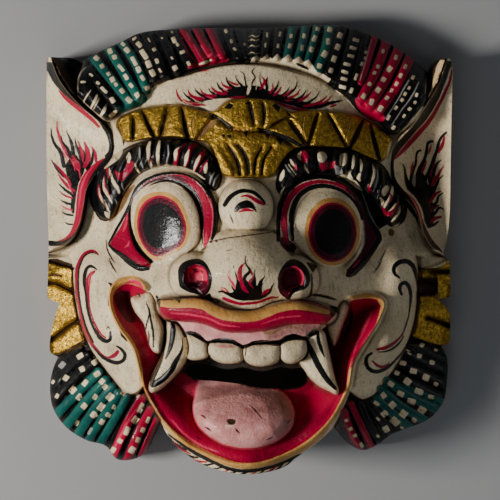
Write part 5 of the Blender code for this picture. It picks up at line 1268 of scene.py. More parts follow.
def paint_eyes(p, carving):
    # left
    p.shape("white", carving.lids[0], grow=1.0)
    p.shape("white", carving.eyes[0], grow=0.0)
    p.area("red", [(109.5, 244.5), (113, 238), (119, 229), (125, 218), (128.5, 209), (130, 219), (131, 231),
                   (134, 242), (140, 251.5), (146, 258), (151, 262), (151, 267), (146, 268), (136, 263),
                   (127, 257), (118, 251)], straight=True)
    # painted highlights on the red corner beside the left eye
    p.stroke("rose_and_highlight", (1.0, 2.6, 1.2), [(127, 217), (126, 224), (123, 231)])
    p.stroke("rose_and_highlight", (0.8, 2.2, 0.8), [(124, 247.5), (128, 245), (129, 241)])
    p.stroke("black", (3.4, 3.2, 2.8, 2.6, 2.4), [(132, 198.6), (127.8, 209), (122.8, 218.4), (115.8, 230.6), (108.6, 243.6)])
    p.stroke("black", (2.4, 4.0, 5.6, 6.6, 6.4, 4.2), [(109, 245), (114, 250), (122, 255.5), (130.5, 262.5), (140, 268),
                                                     (148, 268.5)])
    p.stroke("black", (2.6, 2.6, 3.0, 4.0, 5.0, 5.0, 3.4), [(130, 204), (129.6, 218), (131, 230), (134.5, 241.5),
                                                        (140, 250.5), (145.5, 256.5), (151, 261.5)])
    p.stroke("black", (0.8, 1.6, 1.6, 0.6), [(106.2, 240), (107.2, 249), (110.4, 256), (114.6, 263)])
    p.stroke("black", (0.6, 1.7, 1.7, 0.6), [(109, 258), (112, 265.6), (117.5, 273.6)])
    p.stroke("black", (1.8, 3.2, 3.6, 3.2, 2.8, 3.2, 4.0, 5.2, 5.6, 5.6, 5.6, 4.8, 2.4),
             [(130.5, 200), (137, 187.5), (146, 180), (157, 175.3), (170, 173), (184, 173.5), (196, 178.5),
              (205, 186.5), (211, 197), (215, 208), (216, 220), (214.3, 232), (211, 242)])
    p.stroke("red", (1.0, 3.0, 3.6, 4.6, 7.0, 8.0, 8.6, 9.6, 10.0, 9.4, 7.4, 2.6),
             [(143, 185), (152, 180.3), (163, 177.6), (175, 177), (186, 179.6), (195, 186.7), (202, 195.8),
              (206, 207), (208, 219), (207.6, 230), (206.3, 240), (205, 246)])
    p.stroke("maroon", (0.8, 1.4, 1.8, 2.2, 2.6, 3.0, 3.6, 3.6, 1.2), [(129.8, 206), (132.4, 199.4), (137, 192.6), (143, 187),
                                                               (150, 182.4), (159, 179.2), (169, 177.2), (179, 178),
                                                               (188, 181.6)])
    p.stroke("rose_and_highlight", (0.6, 1.4, 1.4, 0.6), [(209, 196), (212, 207), (212.6, 220), (211, 235)])
    p.stroke("rose_and_highlight", (1.0, 4.0, 3.0), [(206.6, 232), (206, 239), (204.8, 245.6)])
    p.stroke("black", (0.8, 2.2, 2.6, 3.6, 5.0, 6.2, 6.2, 5.2, 4.2, 2.6, 1.0),
             [(149, 185.5), (160, 181.6), (172, 180.6), (181, 183), (188, 187.6), (194, 194.6), (198.3, 204),
              (201, 214), (201.8, 224), (201.8, 234), (202.6, 243)])
    # thin lines over the lid: painted highlights along its edge
    p.stroke("highlight_and_shade_grey", (0.6, 1.2, 1.2, 1.4, 0.8), [(152, 174.5), (166, 171.2), (182, 172), (196, 177.4), (206, 186)])
    p.area("ochre", [(134, 222), (136, 208), (142, 198.4), (150, 193.2), (160, 191.6), (170, 193.4), (178, 199), (184, 207),
                     (188.2, 217), (190.2, 228), (189, 237.6), (185, 245.4), (178, 251.4), (169, 256), (160, 260.6),
                     (152, 259), (145, 253), (139, 244), (135, 233)])
    p.area("red", [(137.2, 222), (139.4, 210), (145, 201.6), (152, 197.2), (160, 195.6), (168, 197.4), (176, 202.8),
                   (181.4, 211), (185, 220), (186.4, 230), (184.8, 239.4), (180, 246), (173, 250), (165, 254.6),
                   (158, 256.8), (151, 254.4), (145, 248.4), (139.8, 238.6), (137.6, 230)])
    p.area("maroon", [(139.2, 222), (141.6, 210.6), (146.6, 203.4), (153, 199.4), (160, 198), (167.4, 199.8), (174.8, 205),
                      (179.8, 212.6), (183.2, 221), (184.4, 230), (183, 238.4), (178.6, 244.6), (172, 248.6),
                      (164.6, 253.2), (158, 255.2), (152, 253), (146.6, 247.4), (141.6, 238), (139.4, 230)])
    p.area("pupil", [(142.4, 224), (144.4, 213), (149, 206.6), (155, 203.8), (162, 203.6), (169, 206.2), (175, 211),
                     (179.6, 217.4), (181.6, 226), (181, 234.6), (177.6, 241.4), (171, 245.4), (163, 247.8),
                     (155, 247.8), (149, 243.6), (144.6, 235)])
    # right
    p.shape("white", carving.lids[1], grow=1.0)
    p.shape("white", carving.eyes[1], grow=0.0)
    # painted shade: the lower left corner, which lies in shade, darkened to maroon
    p.area("maroon", [(277.5, 236), (284, 238), (292, 241.5), (297, 248), (294, 253), (287, 251.5), (281, 245.5)],
           straight=True)
    p.area("black", [(350, 187), (361, 190), (372, 195), (381, 205), (387, 216), (390, 223), (384, 226.4), (379, 229.4),
                     (382, 236), (382, 240), (377, 248.6), (370, 259.6), (362, 269), (355, 275.6), (349, 277.6),
                     (345.4, 276), (347, 269.6), (355, 261), (361, 252), (364.2, 243), (364.6, 232), (363.4, 221),
                     (362, 208), (356, 197)], straight=True)
    p.area("maroon", [(363, 213), (366.6, 218.6), (370.6, 226.6), (375, 233), (376.6, 239), (371.6, 247), (365.6, 255.6),
                      (359.6, 262.8), (353.6, 269.4), (349, 275), (346.2, 274.4), (348, 268.6), (355, 261), (361, 252),
                      (364.4, 243), (365, 232), (364, 221)], straight=True)
    # painted highlight on the maroon corner
    p.stroke("rose_and_highlight", (0.5, 1.3, 0.6), [(360.6, 258.6), (357, 263.4), (352.6, 267.6)])
    p.stroke("black", (4.0, 4.4, 5.0, 5.4, 5.6, 5.4, 5.4, 5.4, 6.0, 7.0, 6.0, 4.0, 2.4),
             [(278.3, 240), (278.6, 220), (280.8, 205), (286, 193), (294, 184.5), (304, 179), (317, 176.4),
              (330, 177.4), (342, 181.4), (352, 188.6), (361, 199), (368, 211), (378, 226)])
    # painted highlights along the edge of the lid and the corner
    p.stroke("highlight_and_shade_grey", (0.5, 1.0, 1.1, 1.0, 0.5), [(361.6, 191), (365, 201), (369.6, 213), (374.6, 223), (379.6, 229.6)])
    p.stroke("highlight_and_shade_grey", (0.4, 1.1, 1.2, 0.8), [(363.4, 219), (364.2, 231), (364, 243), (360.6, 252.6)])
    p.stroke("red", (5.0, 6.2, 6.0, 6.0, 6.2, 5.0, 3.6, 3.2, 3.6, 3.6),
             [(286.5, 240), (284.2, 226), (285.4, 210), (289, 199.5), (296.5, 190.5), (305, 185), (317, 181.8),
              (329, 182.4), (341, 186), (351, 193)])
    p.stroke("maroon", (2.6, 3.4, 3.4, 3.0), [(347, 189.5), (355, 197.5), (361, 207.5), (364.5, 218)])
    # painted highlight down the left of the lid
    p.stroke("rose_and_highlight", (1.4, 4.0, 4.4, 2.4), [(284, 217), (284, 225), (284.6, 232), (286.5, 238)])
    p.stroke("black", (3.4, 5.2, 5.6, 5.8, 5.4, 5.0, 4.6, 4.2, 3.6, 3.2, 3.2, 3.0),
             [(292.6, 240), (291.4, 228), (292, 214), (295.5, 202), (301, 194), (310, 188.2), (320, 185.8),
              (330, 186.6), (341, 190.2), (350, 196.8), (358, 207), (362.5, 219)])
    # painted highlight inside the lid
    p.stroke("highlight_and_shade_grey", (1.0, 2.2, 1.4), [(289, 222), (289, 231), (292, 238.5)])
    p.stroke("umber", (0.6, 1.6, 0.6), [(378, 263), (382, 257), (386, 250)])
    p.stroke("umber", (0.6, 1.6, 0.6), [(373.5, 273), (378, 267), (382, 260)])
    p.shape("ochre", oval(332.3, 231.5, 27.6, 34))
    p.shape("red", oval(332.5, 232.2, 24.2, 29.9))
    p.shape("maroon", oval(332.8, 232.5, 22.5, 28.1))
    p.shape("black", oval(333.2, 232, 18.6, 22.9))


def paint_nose(p):
    # the eye on the nub
    p.stroke("red", (1.0, 2.6, 3.8, 4.6, 3.0), [(240.6, 196.4), (247, 195.8), (253, 198.4), (258.4, 201.6), (264, 204)])
    p.stroke("black", (4.4, 5.0, 4.6, 4.2, 4.0, 3.8, 3.6, 2.8, 1.4),
             [(224.6, 205), (228.5, 199), (233, 194.8), (239, 191.6), (246, 190.7), (253, 192.2), (258.6, 196),
              (262.6, 200), (265.4, 203.6)])
    p.area("black", [(233.4, 211.6), (235.6, 206.4), (240, 202), (246.6, 200.2), (252, 202.4), (255, 207), (256.4, 213),
                     (253.6, 209.6), (249.6, 207.8), (244, 208.4), (240, 209.6), (237, 211.8)])
    p.stroke("red", (1.2, 3.0, 3.2, 1.4), [(238.6, 212.2), (243.6, 210.4), (248.4, 209.8), (253, 211)])
    p.stroke("umber", (0.6, 1.6, 1.0), [(229.6, 213.6), (231.6, 218.6), (233.6, 223.6)])
    p.stroke("umber", (0.6, 1.3, 1.3, 0.8), [(200, 245), (217, 240), (235, 237), (255, 234.5), (271, 232)])
    p.dab("maroon", 216.5, 241.6, 2.4, 1.8, 0)
    p.stroke("brown", (0.6, 1.6, 0.6), [(225.5, 250.6), (229, 250.2), (232.6, 249)])
    # nostrils
    p.area("black", [(178, 275), (178.6, 268.4), (182, 263.2), (187, 260.4), (193, 259), (199, 258.8), (203, 260.2),
                     (206.4, 263.6), (209.4, 269), (211.6, 274.6), (212, 280), (211.2, 286), (209.2, 291), (205.6, 295),
                     (201, 295.4), (195, 293.6), (189, 292.4), (184, 290), (180, 286.8), (178.4, 281)])
    p.area("black", [(200, 293), (206, 295), (210.2, 292.6), (212, 298), (214.6, 301), (207, 299.6), (199, 297.6)], straight=True)
    p.area("red", [(185, 272.4), (187.4, 268), (192, 265.4), (198, 264.6), (203, 266.4), (206.2, 270.6), (208, 276),
                   (208.6, 283), (208, 288), (206, 292), (202.6, 294.8), (200.6, 291), (198, 287.6), (193, 285.4),
                   (189, 284.6), (186, 283), (184.6, 278)])
    # painted light and shade in the left nostril: rose where it faces the lamp, maroon over its shaded lower part and
    # left side, a highlight along the scroll
    p.area("rose_and_highlight", [(188, 270.4), (193, 267.4), (199, 266.6), (204, 269.2), (206.6, 274), (207.6, 280.4), (204, 280.6),
                    (198.4, 280.6), (196, 282.2), (190, 282), (187.8, 277)])
    p.stroke("red", (0.8, 2.6, 1.6), [(191.4, 268.4), (196.4, 271), (202.4, 271.8)])
    p.stroke("red", (1.2, 3.0, 1.6), [(190.4, 272.6), (190.6, 276.6), (192.6, 280)])
    p.area("maroon", [(197, 279.4), (199.4, 281), (203, 280.6), (206.4, 283), (208, 287.6), (206, 292), (203, 294.6),
                      (200.6, 290.6), (197, 286.6), (190, 284.6), (186, 283), (190, 282), (195.6, 282.6)])
    p.stroke("maroon", (1.0, 2.6, 2.0), [(187.4, 268.4), (185.8, 275), (186.4, 283)])
    p.stroke("highlight_and_shade_grey", (0.6, 1.4, 1.4, 0.8), [(190.4, 286.8), (195.6, 287.8), (199.4, 290.6), (201.6, 293.6)])
    p.area("black", [(278.4, 276), (281, 269), (285, 263.6), (289, 260.2), (293, 258.8), (299, 260.8), (304, 264.4),
                     (308, 269.6), (310, 275), (310, 281), (308.6, 286), (304, 289.4), (298, 291.4), (293.4, 294),
                     (291, 297.4), (290.4, 300), (287.6, 299.4), (284.6, 297.4), (281, 294.4), (278.6, 290), (277.8, 283)])
    # painted shade and light in the right nostril: maroon over its shaded left and lower part, a rose crescent where
    # its right wall faces the lamp, a glint on the rim
    p.area("maroon", [(278.8, 278), (281.4, 271.4), (286, 267.6), (290, 267), (295, 268.6), (299, 273), (300.6, 280),
                      (300, 285.6), (295, 287), (291.6, 289.4), (288.6, 294), (287.4, 298.2), (282.4, 294.2),
                      (279.6, 289.6), (278.4, 284)])
    p.area("rose_and_highlight", [(290.4, 266.8), (295, 265.6), (300, 268.6), (303, 273), (304.4, 278), (303.6, 282), (302, 285.6),
                    (299.4, 285.2), (298, 280), (297.4, 274.6), (295, 270), (291.6, 267.8)])
    p.stroke("red", (1.0, 2.4, 2.4, 1.0), [(292.6, 267.8), (296.8, 271.2), (298.6, 276.6), (299.6, 283.4)])
    p.stroke("rose_and_highlight", (0.6, 1.4, 0.6), [(288.4, 294.2), (291.4, 289), (296, 286.8)])
    p.stroke("highlight_and_shade_grey", (0.6, 1.4, 0.8), [(305.4, 275), (305.6, 281), (304.6, 286)])
    # painted shade: black in the deep crevice beside the right nostril
    p.area("black", [(306, 261.8), (311, 262.6), (317.8, 266), (315.4, 270), (313, 273), (309.6, 268.4)], straight=True)
    p.stroke("umber", (1.2, 1.8, 1.8, 2.6, 1.2), [(311.4, 274), (312, 283), (311.4, 291), (309.6, 296), (306, 298)])
    p.stroke("umber", (1.4, 3.0, 3.0, 1.6), [(309, 295.6), (316, 295), (326, 296.8), (336, 299.6)])
    # flame on the tip of the nose
    p.stroke("red", (3.0, 3.8, 3.2, 2.8, 2.8, 2.6, 2.6, 1.2), [(223.4, 298.2), (230, 301), (240, 303.6), (250, 303.4),
                                                          (260, 301.6), (268, 298.8), (273, 297.2), (277.6, 297.6)])
    p.area("black", [(226, 293.2), (233, 292), (236, 287), (237.4, 280), (240, 281), (243, 278), (247, 280.6), (249.6, 284),
                     (252, 281), (254, 276), (255, 281), (256, 286), (259, 284), (262, 280.4), (262.8, 284), (261.4, 290),
                     (260.4, 294.4), (264, 295), (269, 293), (266, 297), (260, 299.6), (252, 300.6), (244, 300.8),
                     (236, 299.6), (231, 297.4)], straight=True)
    for w, s in (((0.5, 1.2, 1.6, 2.2, 3.2, 3.6, 3.6, 4.0, 5.0), [(245.4, 255), (245.2, 260), (246, 264), (248.6, 268),
                                                               (249.8, 271), (247.4, 274), (244.8, 277), (244.4, 282),
                                                               (245, 288)]),
                 ((0.5, 1.0, 0.5), [(233.4, 265), (233.8, 267), (234, 269)]),
                 ((0.8, 1.8, 3.2, 5.4), [(234.6, 271.4), (236.4, 276), (237.6, 281), (237.8, 288)]),
                 ((1.6, 2.4, 3.4, 4.2, 4.2), [(218.4, 292), (222, 291.6), (227, 293.4), (232, 295.6), (238, 297.6)]),
                 ((0.5, 1.3, 2.6, 4.6, 6.0), [(254.6, 268.6), (254.4, 273), (254.8, 278), (254, 284), (254.4, 290)]),
                 ((0.8, 2.6, 4.6, 5.2, 6.0), [(264.6, 276.6), (262.4, 279.6), (260.2, 283), (259.6, 288), (259, 294)]),
                 ((0.8, 2.0, 2.6, 3.0, 3.8), [(273.6, 283.4), (271.6, 287.4), (270, 291.4), (266, 294.6), (260, 297.6)]),
                 ((0.6, 1.7, 2.2), [(231.4, 285.4), (233.4, 289.6), (236, 292)])):
        p.stroke("black", w, s)
    for w, s in (((1.2, 3.6, 4.8, 3.8, 3.8, 4.6, 1.6), [(244, 263.4), (240.8, 267.4), (239.8, 273), (241, 280), (242.6, 286),
                                                     (245.6, 290.6), (247.8, 292.2)]),
                 ((1.8, 2.2, 1.2), [(251, 271), (252.4, 275), (253.2, 278)]),
                 ((2.0, 2.8, 1.8, 0.8), [(252.4, 278.6), (249.6, 282), (251.2, 285.6), (253.2, 288.4)]),
                 ((1.8, 4.0, 1.8), [(269.6, 289), (266, 291.4), (262, 294.4)]),
                 ((0.8, 1.5, 1.0), [(221.2, 287.6), (224.6, 288.2), (228.4, 291.8)])):
        p.stroke("red", w, s)
    for w, s in (((0.6, 1.4, 1.8, 2.6, 1.4), [(228.4, 271), (227.8, 275), (230, 279.6), (233.4, 284.6), (234.8, 288.4)]),
                 ((0.5, 1.2, 0.5), [(236.4, 276.8), (238, 279), (239.4, 281.4)]),
                 ((0.5, 1.2, 0.6), [(220.4, 288.4), (223, 290), (226.6, 292)])):
        p.stroke("rose_and_highlight", w, s)
    p.dab("umber", 218, 302, 3.4, 1.8, 25)


def paint_mouth(p, carving):
    # inside of the mouth
    p.shape("red", carving.mouth, grow=-0.5)
    p.stroke("ochre", 4.4, RIM)
    p.stroke("ochre", (3, 7, 7.6, 7, 4), [(111, 297), (114, 288), (121, 281.6), (131, 280.6), (142, 286)])
    p.stroke("rose_and_highlight", (1.0, 4.0, 4.4, 3.0), [(126, 283.4), (131, 281.4), (137, 282.6), (142, 287)])
    p.stroke("red", (1.4, 3.6, 3.4, 2.0), [(116, 293), (121, 288), (129, 287.4), (137, 291)])
    p.area("maroon", [(114, 296), (121, 291), (130, 292), (129, 300), (133, 312), (136, 322), (128, 322), (121, 314),
                      (116, 305)])
    p.stroke("rose_and_highlight", (0.8, 1.6, 1.6, 0.8), [(139, 320), (142.6, 329), (146.4, 339), (149, 348)])
    p.stroke("ochre", (2.0, 5.0, 5.6, 5.0, 3.0), [(350, 299), (358, 296.6), (369, 295.6), (378, 297.6), (381, 304)])
    p.area("red", [(373, 304), (379, 309), (377, 319), (369, 331), (361, 344), (356, 355), (352.6, 361), (352.6, 340),
                   (359, 326), (367, 314)], straight=True)
    # painted light: a brighter strip down the right wall of the mouth, where it slopes towards the lamp
    p.stroke("rose_and_highlight", (1.0, 3.6, 4.4, 3.6, 1.2), [(373.6, 309), (368, 320), (361.4, 333), (356.4, 344), (353.6, 355)])
    p.stroke("red", (2.4, 4.0, 4.0, 3.6, 3.0), [(379, 309), (373.6, 325), (364, 341), (355.6, 354), (351.6, 366)])
    # the lower rim: ochre, then a black line and short hairs below it
    p.stroke("ochre", (3, 5, 6, 6, 6, 6, 6, 5, 4, 3), [(163, 421), (173.6, 433), (187.6, 443.4), (203, 452), (220, 460),
                                                      (236, 465), (254, 466), (268, 463.6), (290, 456), (308, 447)])
    p.stroke("ochre", (4, 5, 3), [(304, 448), (317, 438.6), (328, 428)])
    p.stroke("black", (1.5, 3.0, 3.6, 3.6, 3.6, 3.6, 3.4, 3.0, 2.0), [(168, 434), (184, 446), (200, 455.6), (215, 463),
                                                               (230, 469), (245, 471), (260, 469.4), (277, 465),
                                                               (300, 454.6)])
    hair = [("black", [(169, 437), (175, 443.6), (186, 450)], 2.4), ("red", [(172, 441.6), (180, 448.4), (190, 453.6)], 2.2),
            ("black", [(181, 451), (188, 455.6), (198, 457.6)], 2.6), ("red", [(188, 456.4), (196, 460.8), (206, 462)], 2.4),
            ("black", [(197, 462.5), (204, 465), (213, 464)], 2.6), ("black", [(203, 466.4), (211, 469), (221, 467.6)], 2.4),
            ("red", [(210, 470.4), (218, 472), (228, 470.6)], 2.0), ("black", [(219, 473.4), (227, 474), (236, 472)], 2.4),
            ("black", [(231, 475), (240, 475), (248, 472)], 2.4), ("red", [(241, 476), (250, 475), (257, 471.6)], 2.0),
            ("black", [(250, 476), (259, 474), (265, 469.6)], 2.4), ("red", [(262, 474), (270, 471), (277, 465.6)], 2.2),
            ("black", [(268, 474), (277, 469.6), (284, 462.6)], 2.6), ("black", [(279, 470.6), (287, 465.6), (292, 459)], 2.4),
            ("black", [(290, 465), (298, 459), (302.6, 453)], 2.4)]
    for colour, c, w in hair:
        p.stroke(colour, (0.8, w, 0.6 * w), c)
    # gum, teeth, tongue
    p.shape("pink", carving.gum, grow=0.6)
    # painted shade: the right part of the gum darkened
    p.area("painted_shade_mauve", [(262, 329), (274, 325.6), (290, 324), (304, 324.4), (318, 326), (319, 331), (306, 337), (292, 333),
                     (280, 338), (268, 338.6)])
    p.stroke("brown", (0.8, 2.4, 1.6, 0.8), [(284, 328), (290, 327), (298, 328), (304, 330)])
    # painted shade: black round the opening and over the ledge under the teeth, for the dark inside of the mouth
    p.shape("black", carving.hole, grow=2.2)
    p.area("black", [(180.6, 372), (184, 364), (190, 355), (206, 350), (244, 356), (281, 356), (300, 354), (306, 362),
                     (312, 374), (307, 379), (300, 383), (292, 384.5), (280, 385), (262, 386), (250, 381), (236, 379),
                     (222, 379.4), (213, 378.6), (208, 376.6), (200, 377.4), (190, 375.4)], straight=True)
    for tooth in carving.teeth:
        p.shape("white", tooth, grow=0.2)
    p.stroke("pink", (1.0, 3.4, 3.0, 1.0), [(215, 345.6), (222, 346.4), (229, 346.6), (235, 347)])
    p.stroke("black", (3.0, 3.8, 5.2, 5.0, 4.0, 2.0), [(184.4, 333.4), (187.4, 333.2), (192, 333.2), (197, 335.6), (202, 339),
                                                    (206.4, 342.4)])
    p.stroke("black", (2.0, 4.0, 4.8, 5.0, 4.6, 4.0, 3.6, 3.8, 4.4, 4.6, 5.0, 5.8, 5.8, 6.2, 6.0, 5.0, 3.0),
             [(206.4, 342.4), (213, 341.4), (220, 340.4), (228, 340.8), (234, 342.4), (239, 345), (243.6, 347), (248, 345.6),
              (252, 343.6), (258, 342.4), (265, 342.4), (272, 343), (280, 342.4), (287, 338.4), (294, 337), (301, 338),
              (307.4, 339.4)])
    # painted highlight along the top of the teeth
    p.stroke("highlight_and_shade_grey", (0.5, 1.4, 0.6), [(219, 338.8), (226, 338.4), (232, 340)])
    p.stroke("brown", (0.6, 3.0, 2.4, 1.0), [(262, 331), (270, 333), (277, 331), (284, 328)])
    for c in ([(247, 345), (246.4, 350), (245.4, 356)], [(280, 346), (281, 351), (280, 358)], [(207.4, 345), (207, 349), (207.6, 353.6)]):
        p.stroke("umber", (0.6, 1.2, 0.8), c)
    p.shape("rose_and_highlight", carving.tongue, grow=0.5)
    p.shape("pink", carving.tongue, grow=-1.4)
    # painted shadow on the tongue: its upper part, under the teeth and fangs
    d = -depth_in(p.P, carving.tongue, REACH) + 1.6
    upper = (p.P[:, 1] - 405 + 10 * np.sin((p.P[:, 0] - 190) / 34) - 0.30 * np.clip(p.P[:, 0] - 250, 0, None)) / 1.4
    i = np.flatnonzero(np.maximum(d, upper) < 0.4)
    p.put("painted_shade_mauve", np.maximum(d, upper)[i], i)
    # painted shadow down the right side of the tongue
    shade = (252 - p.P[:, 0] + 0.42 * (p.P[:, 1] - 378) + 2.4 * np.sin(p.P[:, 1] / 7)) / 1.4
    i = np.flatnonzero(np.maximum(d, shade) < 0.4)
    p.put("painted_shade_mauve", np.maximum(d, shade)[i], i)
    # painted highlight along the lit inside of the lower lip
    p.stroke("rose_and_highlight", (1.0, 2.6, 2.6, 1.2), [(172, 420), (184, 434), (200, 445), (218, 452)])
    p.area("umber", [(227, 420), (231, 418.6), (235.6, 420.4), (234.6, 424), (229.6, 424.6)])
    p.stroke("white", (1.0, 2.4, 1.0), [(225.4, 425), (229, 426.4), (232.6, 425.6)])
    for w, c in ((1.8, [(200.6, 415), (203.6, 416.4), (206, 418.6)]), (2.0, [(204.6, 427), (208, 428.4), (211, 431)]),
                 (2.0, [(235, 428), (237, 430.6), (239.6, 433)]), (1.6, [(249, 404.6), (255, 410), (262, 418.6)]),
                 (1.4, [(196, 436), (201, 440)]), (1.6, [(266, 440), (273, 437)]), (1.4, [(287, 424), (291, 419)])):
        p.stroke("maroon", (0.4 * w, w, 0.5 * w), c)
    # upper lip: ochre over crimson
    p.shape("red", carving.lip, grow=0.3)
    p.stroke("ochre", (5, 8.4, 9.0, 9.4, 10.4, 11, 11.6, 12, 10, 9, 8.4, 7.4, 6.4, 4), [(158, 303.4), (166, 303.8), (180, 303.6),
                                                   (192, 303.2), (204, 305), (214, 310.6), (225, 314.6), (240, 316),
                                                   (258, 315), (270, 311), (284, 306.6), (300, 306), (316, 309), (328, 312.4)])
    p.stroke("umber", (1.6, 2.0, 2.2, 2.0, 2.0, 1.8, 1.6, 1.6, 1.6, 1.4, 0.8), [(158, 299.4), (170, 299), (185, 297), (195, 296.8),
                                                                   (205, 298), (214, 303), (225, 307.6), (240, 310),
                                                                   (258, 308.6), (275, 301.6), (300, 299.6)])
    p.stroke("umber", (0.8, 1.2, 0.8), [(300, 299.6), (314, 302), (328, 308.6)])
    p.area("umber", [(175, 298), (182, 298), (179.6, 304)], straight=True)
    # painted highlights along the crimson of the upper lip
    p.stroke("rose_and_highlight", (1, 2.4, 2.2, 2.2, 1), [(170, 313), (190, 314.6), (208, 318.4), (222, 324.5), (240, 327)])
    p.stroke("rose_and_highlight", (1, 2.2, 1.4), [(262, 324), (280, 318), (300, 316)])
    p.area("black", [(330, 305), (338, 307), (336, 318), (331, 317)], straight=True)
    p.stroke("black", (2.0, 4.0, 2.4), [(156.6, 296), (158.6, 301), (158.6, 307)])
    # tusks and fangs
    p.area("white", [(148, 292), (153, 297), (156, 306), (159, 318), (164, 322), (166.4, 334), (163.4, 350), (160, 355),
                     (156, 352), (154, 340), (152, 325), (149, 305)])
    for k in (0, 1):
        p.shape("white", carving.tusks[k], grow=0.0)
    p.stroke("umber", (0.8, 1.8, 0.8), [(136.4, 292.6), (139, 294.4), (140.4, 297)])
    p.stroke("black", (1.0, 2.0, 2.4, 2.4, 2.2, 1.6), [(146, 302), (148.6, 308.4), (150.2, 316), (152, 326), (153.4, 336), (153.4, 347)])
    p.stroke("black", (0.8, 2.0, 1.2), [(149.4, 313), (147.4, 321), (146, 329)])
    p.stroke("black", (0.8, 1.8, 1.0), [(148.6, 331), (149, 337), (148.6, 343.6)])
    p.shape("white", carving.fangs[0], grow=0.4)
    p.shape("white", carving.fangs[1], grow=0.4)
    p.stroke("black", (1.2, 2.4, 2.8, 2.8, 2.6), [(165, 319.4), (170, 321.4), (176.4, 323), (181.4, 328.6), (185, 336.4)])
    p.stroke("black", (3.8, 5.6, 5.8, 5.0, 3.4, 1.4), [(172.4, 322.6), (173, 331), (172, 340), (170.4, 347), (168.4, 353), (165.6, 359)])
    p.stroke("black", (1.2, 1.8, 2.0, 2.4, 3.0, 3.6, 4.6), [(166.2, 323), (166.2, 333), (165.6, 342), (163.6, 352), (160.6, 362),
                                                       (156.4, 371), (152, 380)])
    p.stroke("black", (0.8, 1.4, 3.0, 4.8, 5.8, 6.0, 6.8, 7.0, 6.8), [(182, 338), (182.6, 345), (181.4, 351), (178.4, 357),
                                                                 (175, 363), (172, 369), (166, 376), (158.6, 381.6),
                                                                 (153, 384.4)])
    # painted highlight on the lower part of the left fang
    p.stroke("highlight_and_shade_grey", (0.5, 1.8, 2.0, 0.8), [(170.4, 368), (166, 374.4), (160, 379.6), (155, 383)])
    p.stroke("black", (2.2, 5.4, 6.0, 6.2, 6.0, 5.4, 3.4), [(306.6, 339), (310, 348), (314, 356.4), (318.4, 365.4), (324.4, 375.4),
                                                       (330, 382.8), (335.4, 388.4)])
    p.stroke("black", (3.4, 3.8, 3.6, 1.2), [(317.6, 332), (318.4, 340), (321.2, 349), (324.4, 357)])
    p.stroke("black", (2.4, 3.8, 3.4), [(306, 339.4), (311.6, 335), (317.6, 332.4)])
    p.stroke("umber", (1, 3.0, 3.4, 2.4, 1), [(349, 304), (351.6, 313), (350, 323), (346.4, 333), (342, 344)])


def band(p, colour, rows):
    """A band given by its left and right edge at each height: (b, left, right)."""
    left = [(l, b) for b, l, r in rows]
    right = [(r, b) for b, l, r in rows]
    c = np.vstack([path(left, step=1.5), path(right[::-1], step=1.5)])
    p.put(colour, -depth_in(p.P, c, REACH))
    p.rim(c)


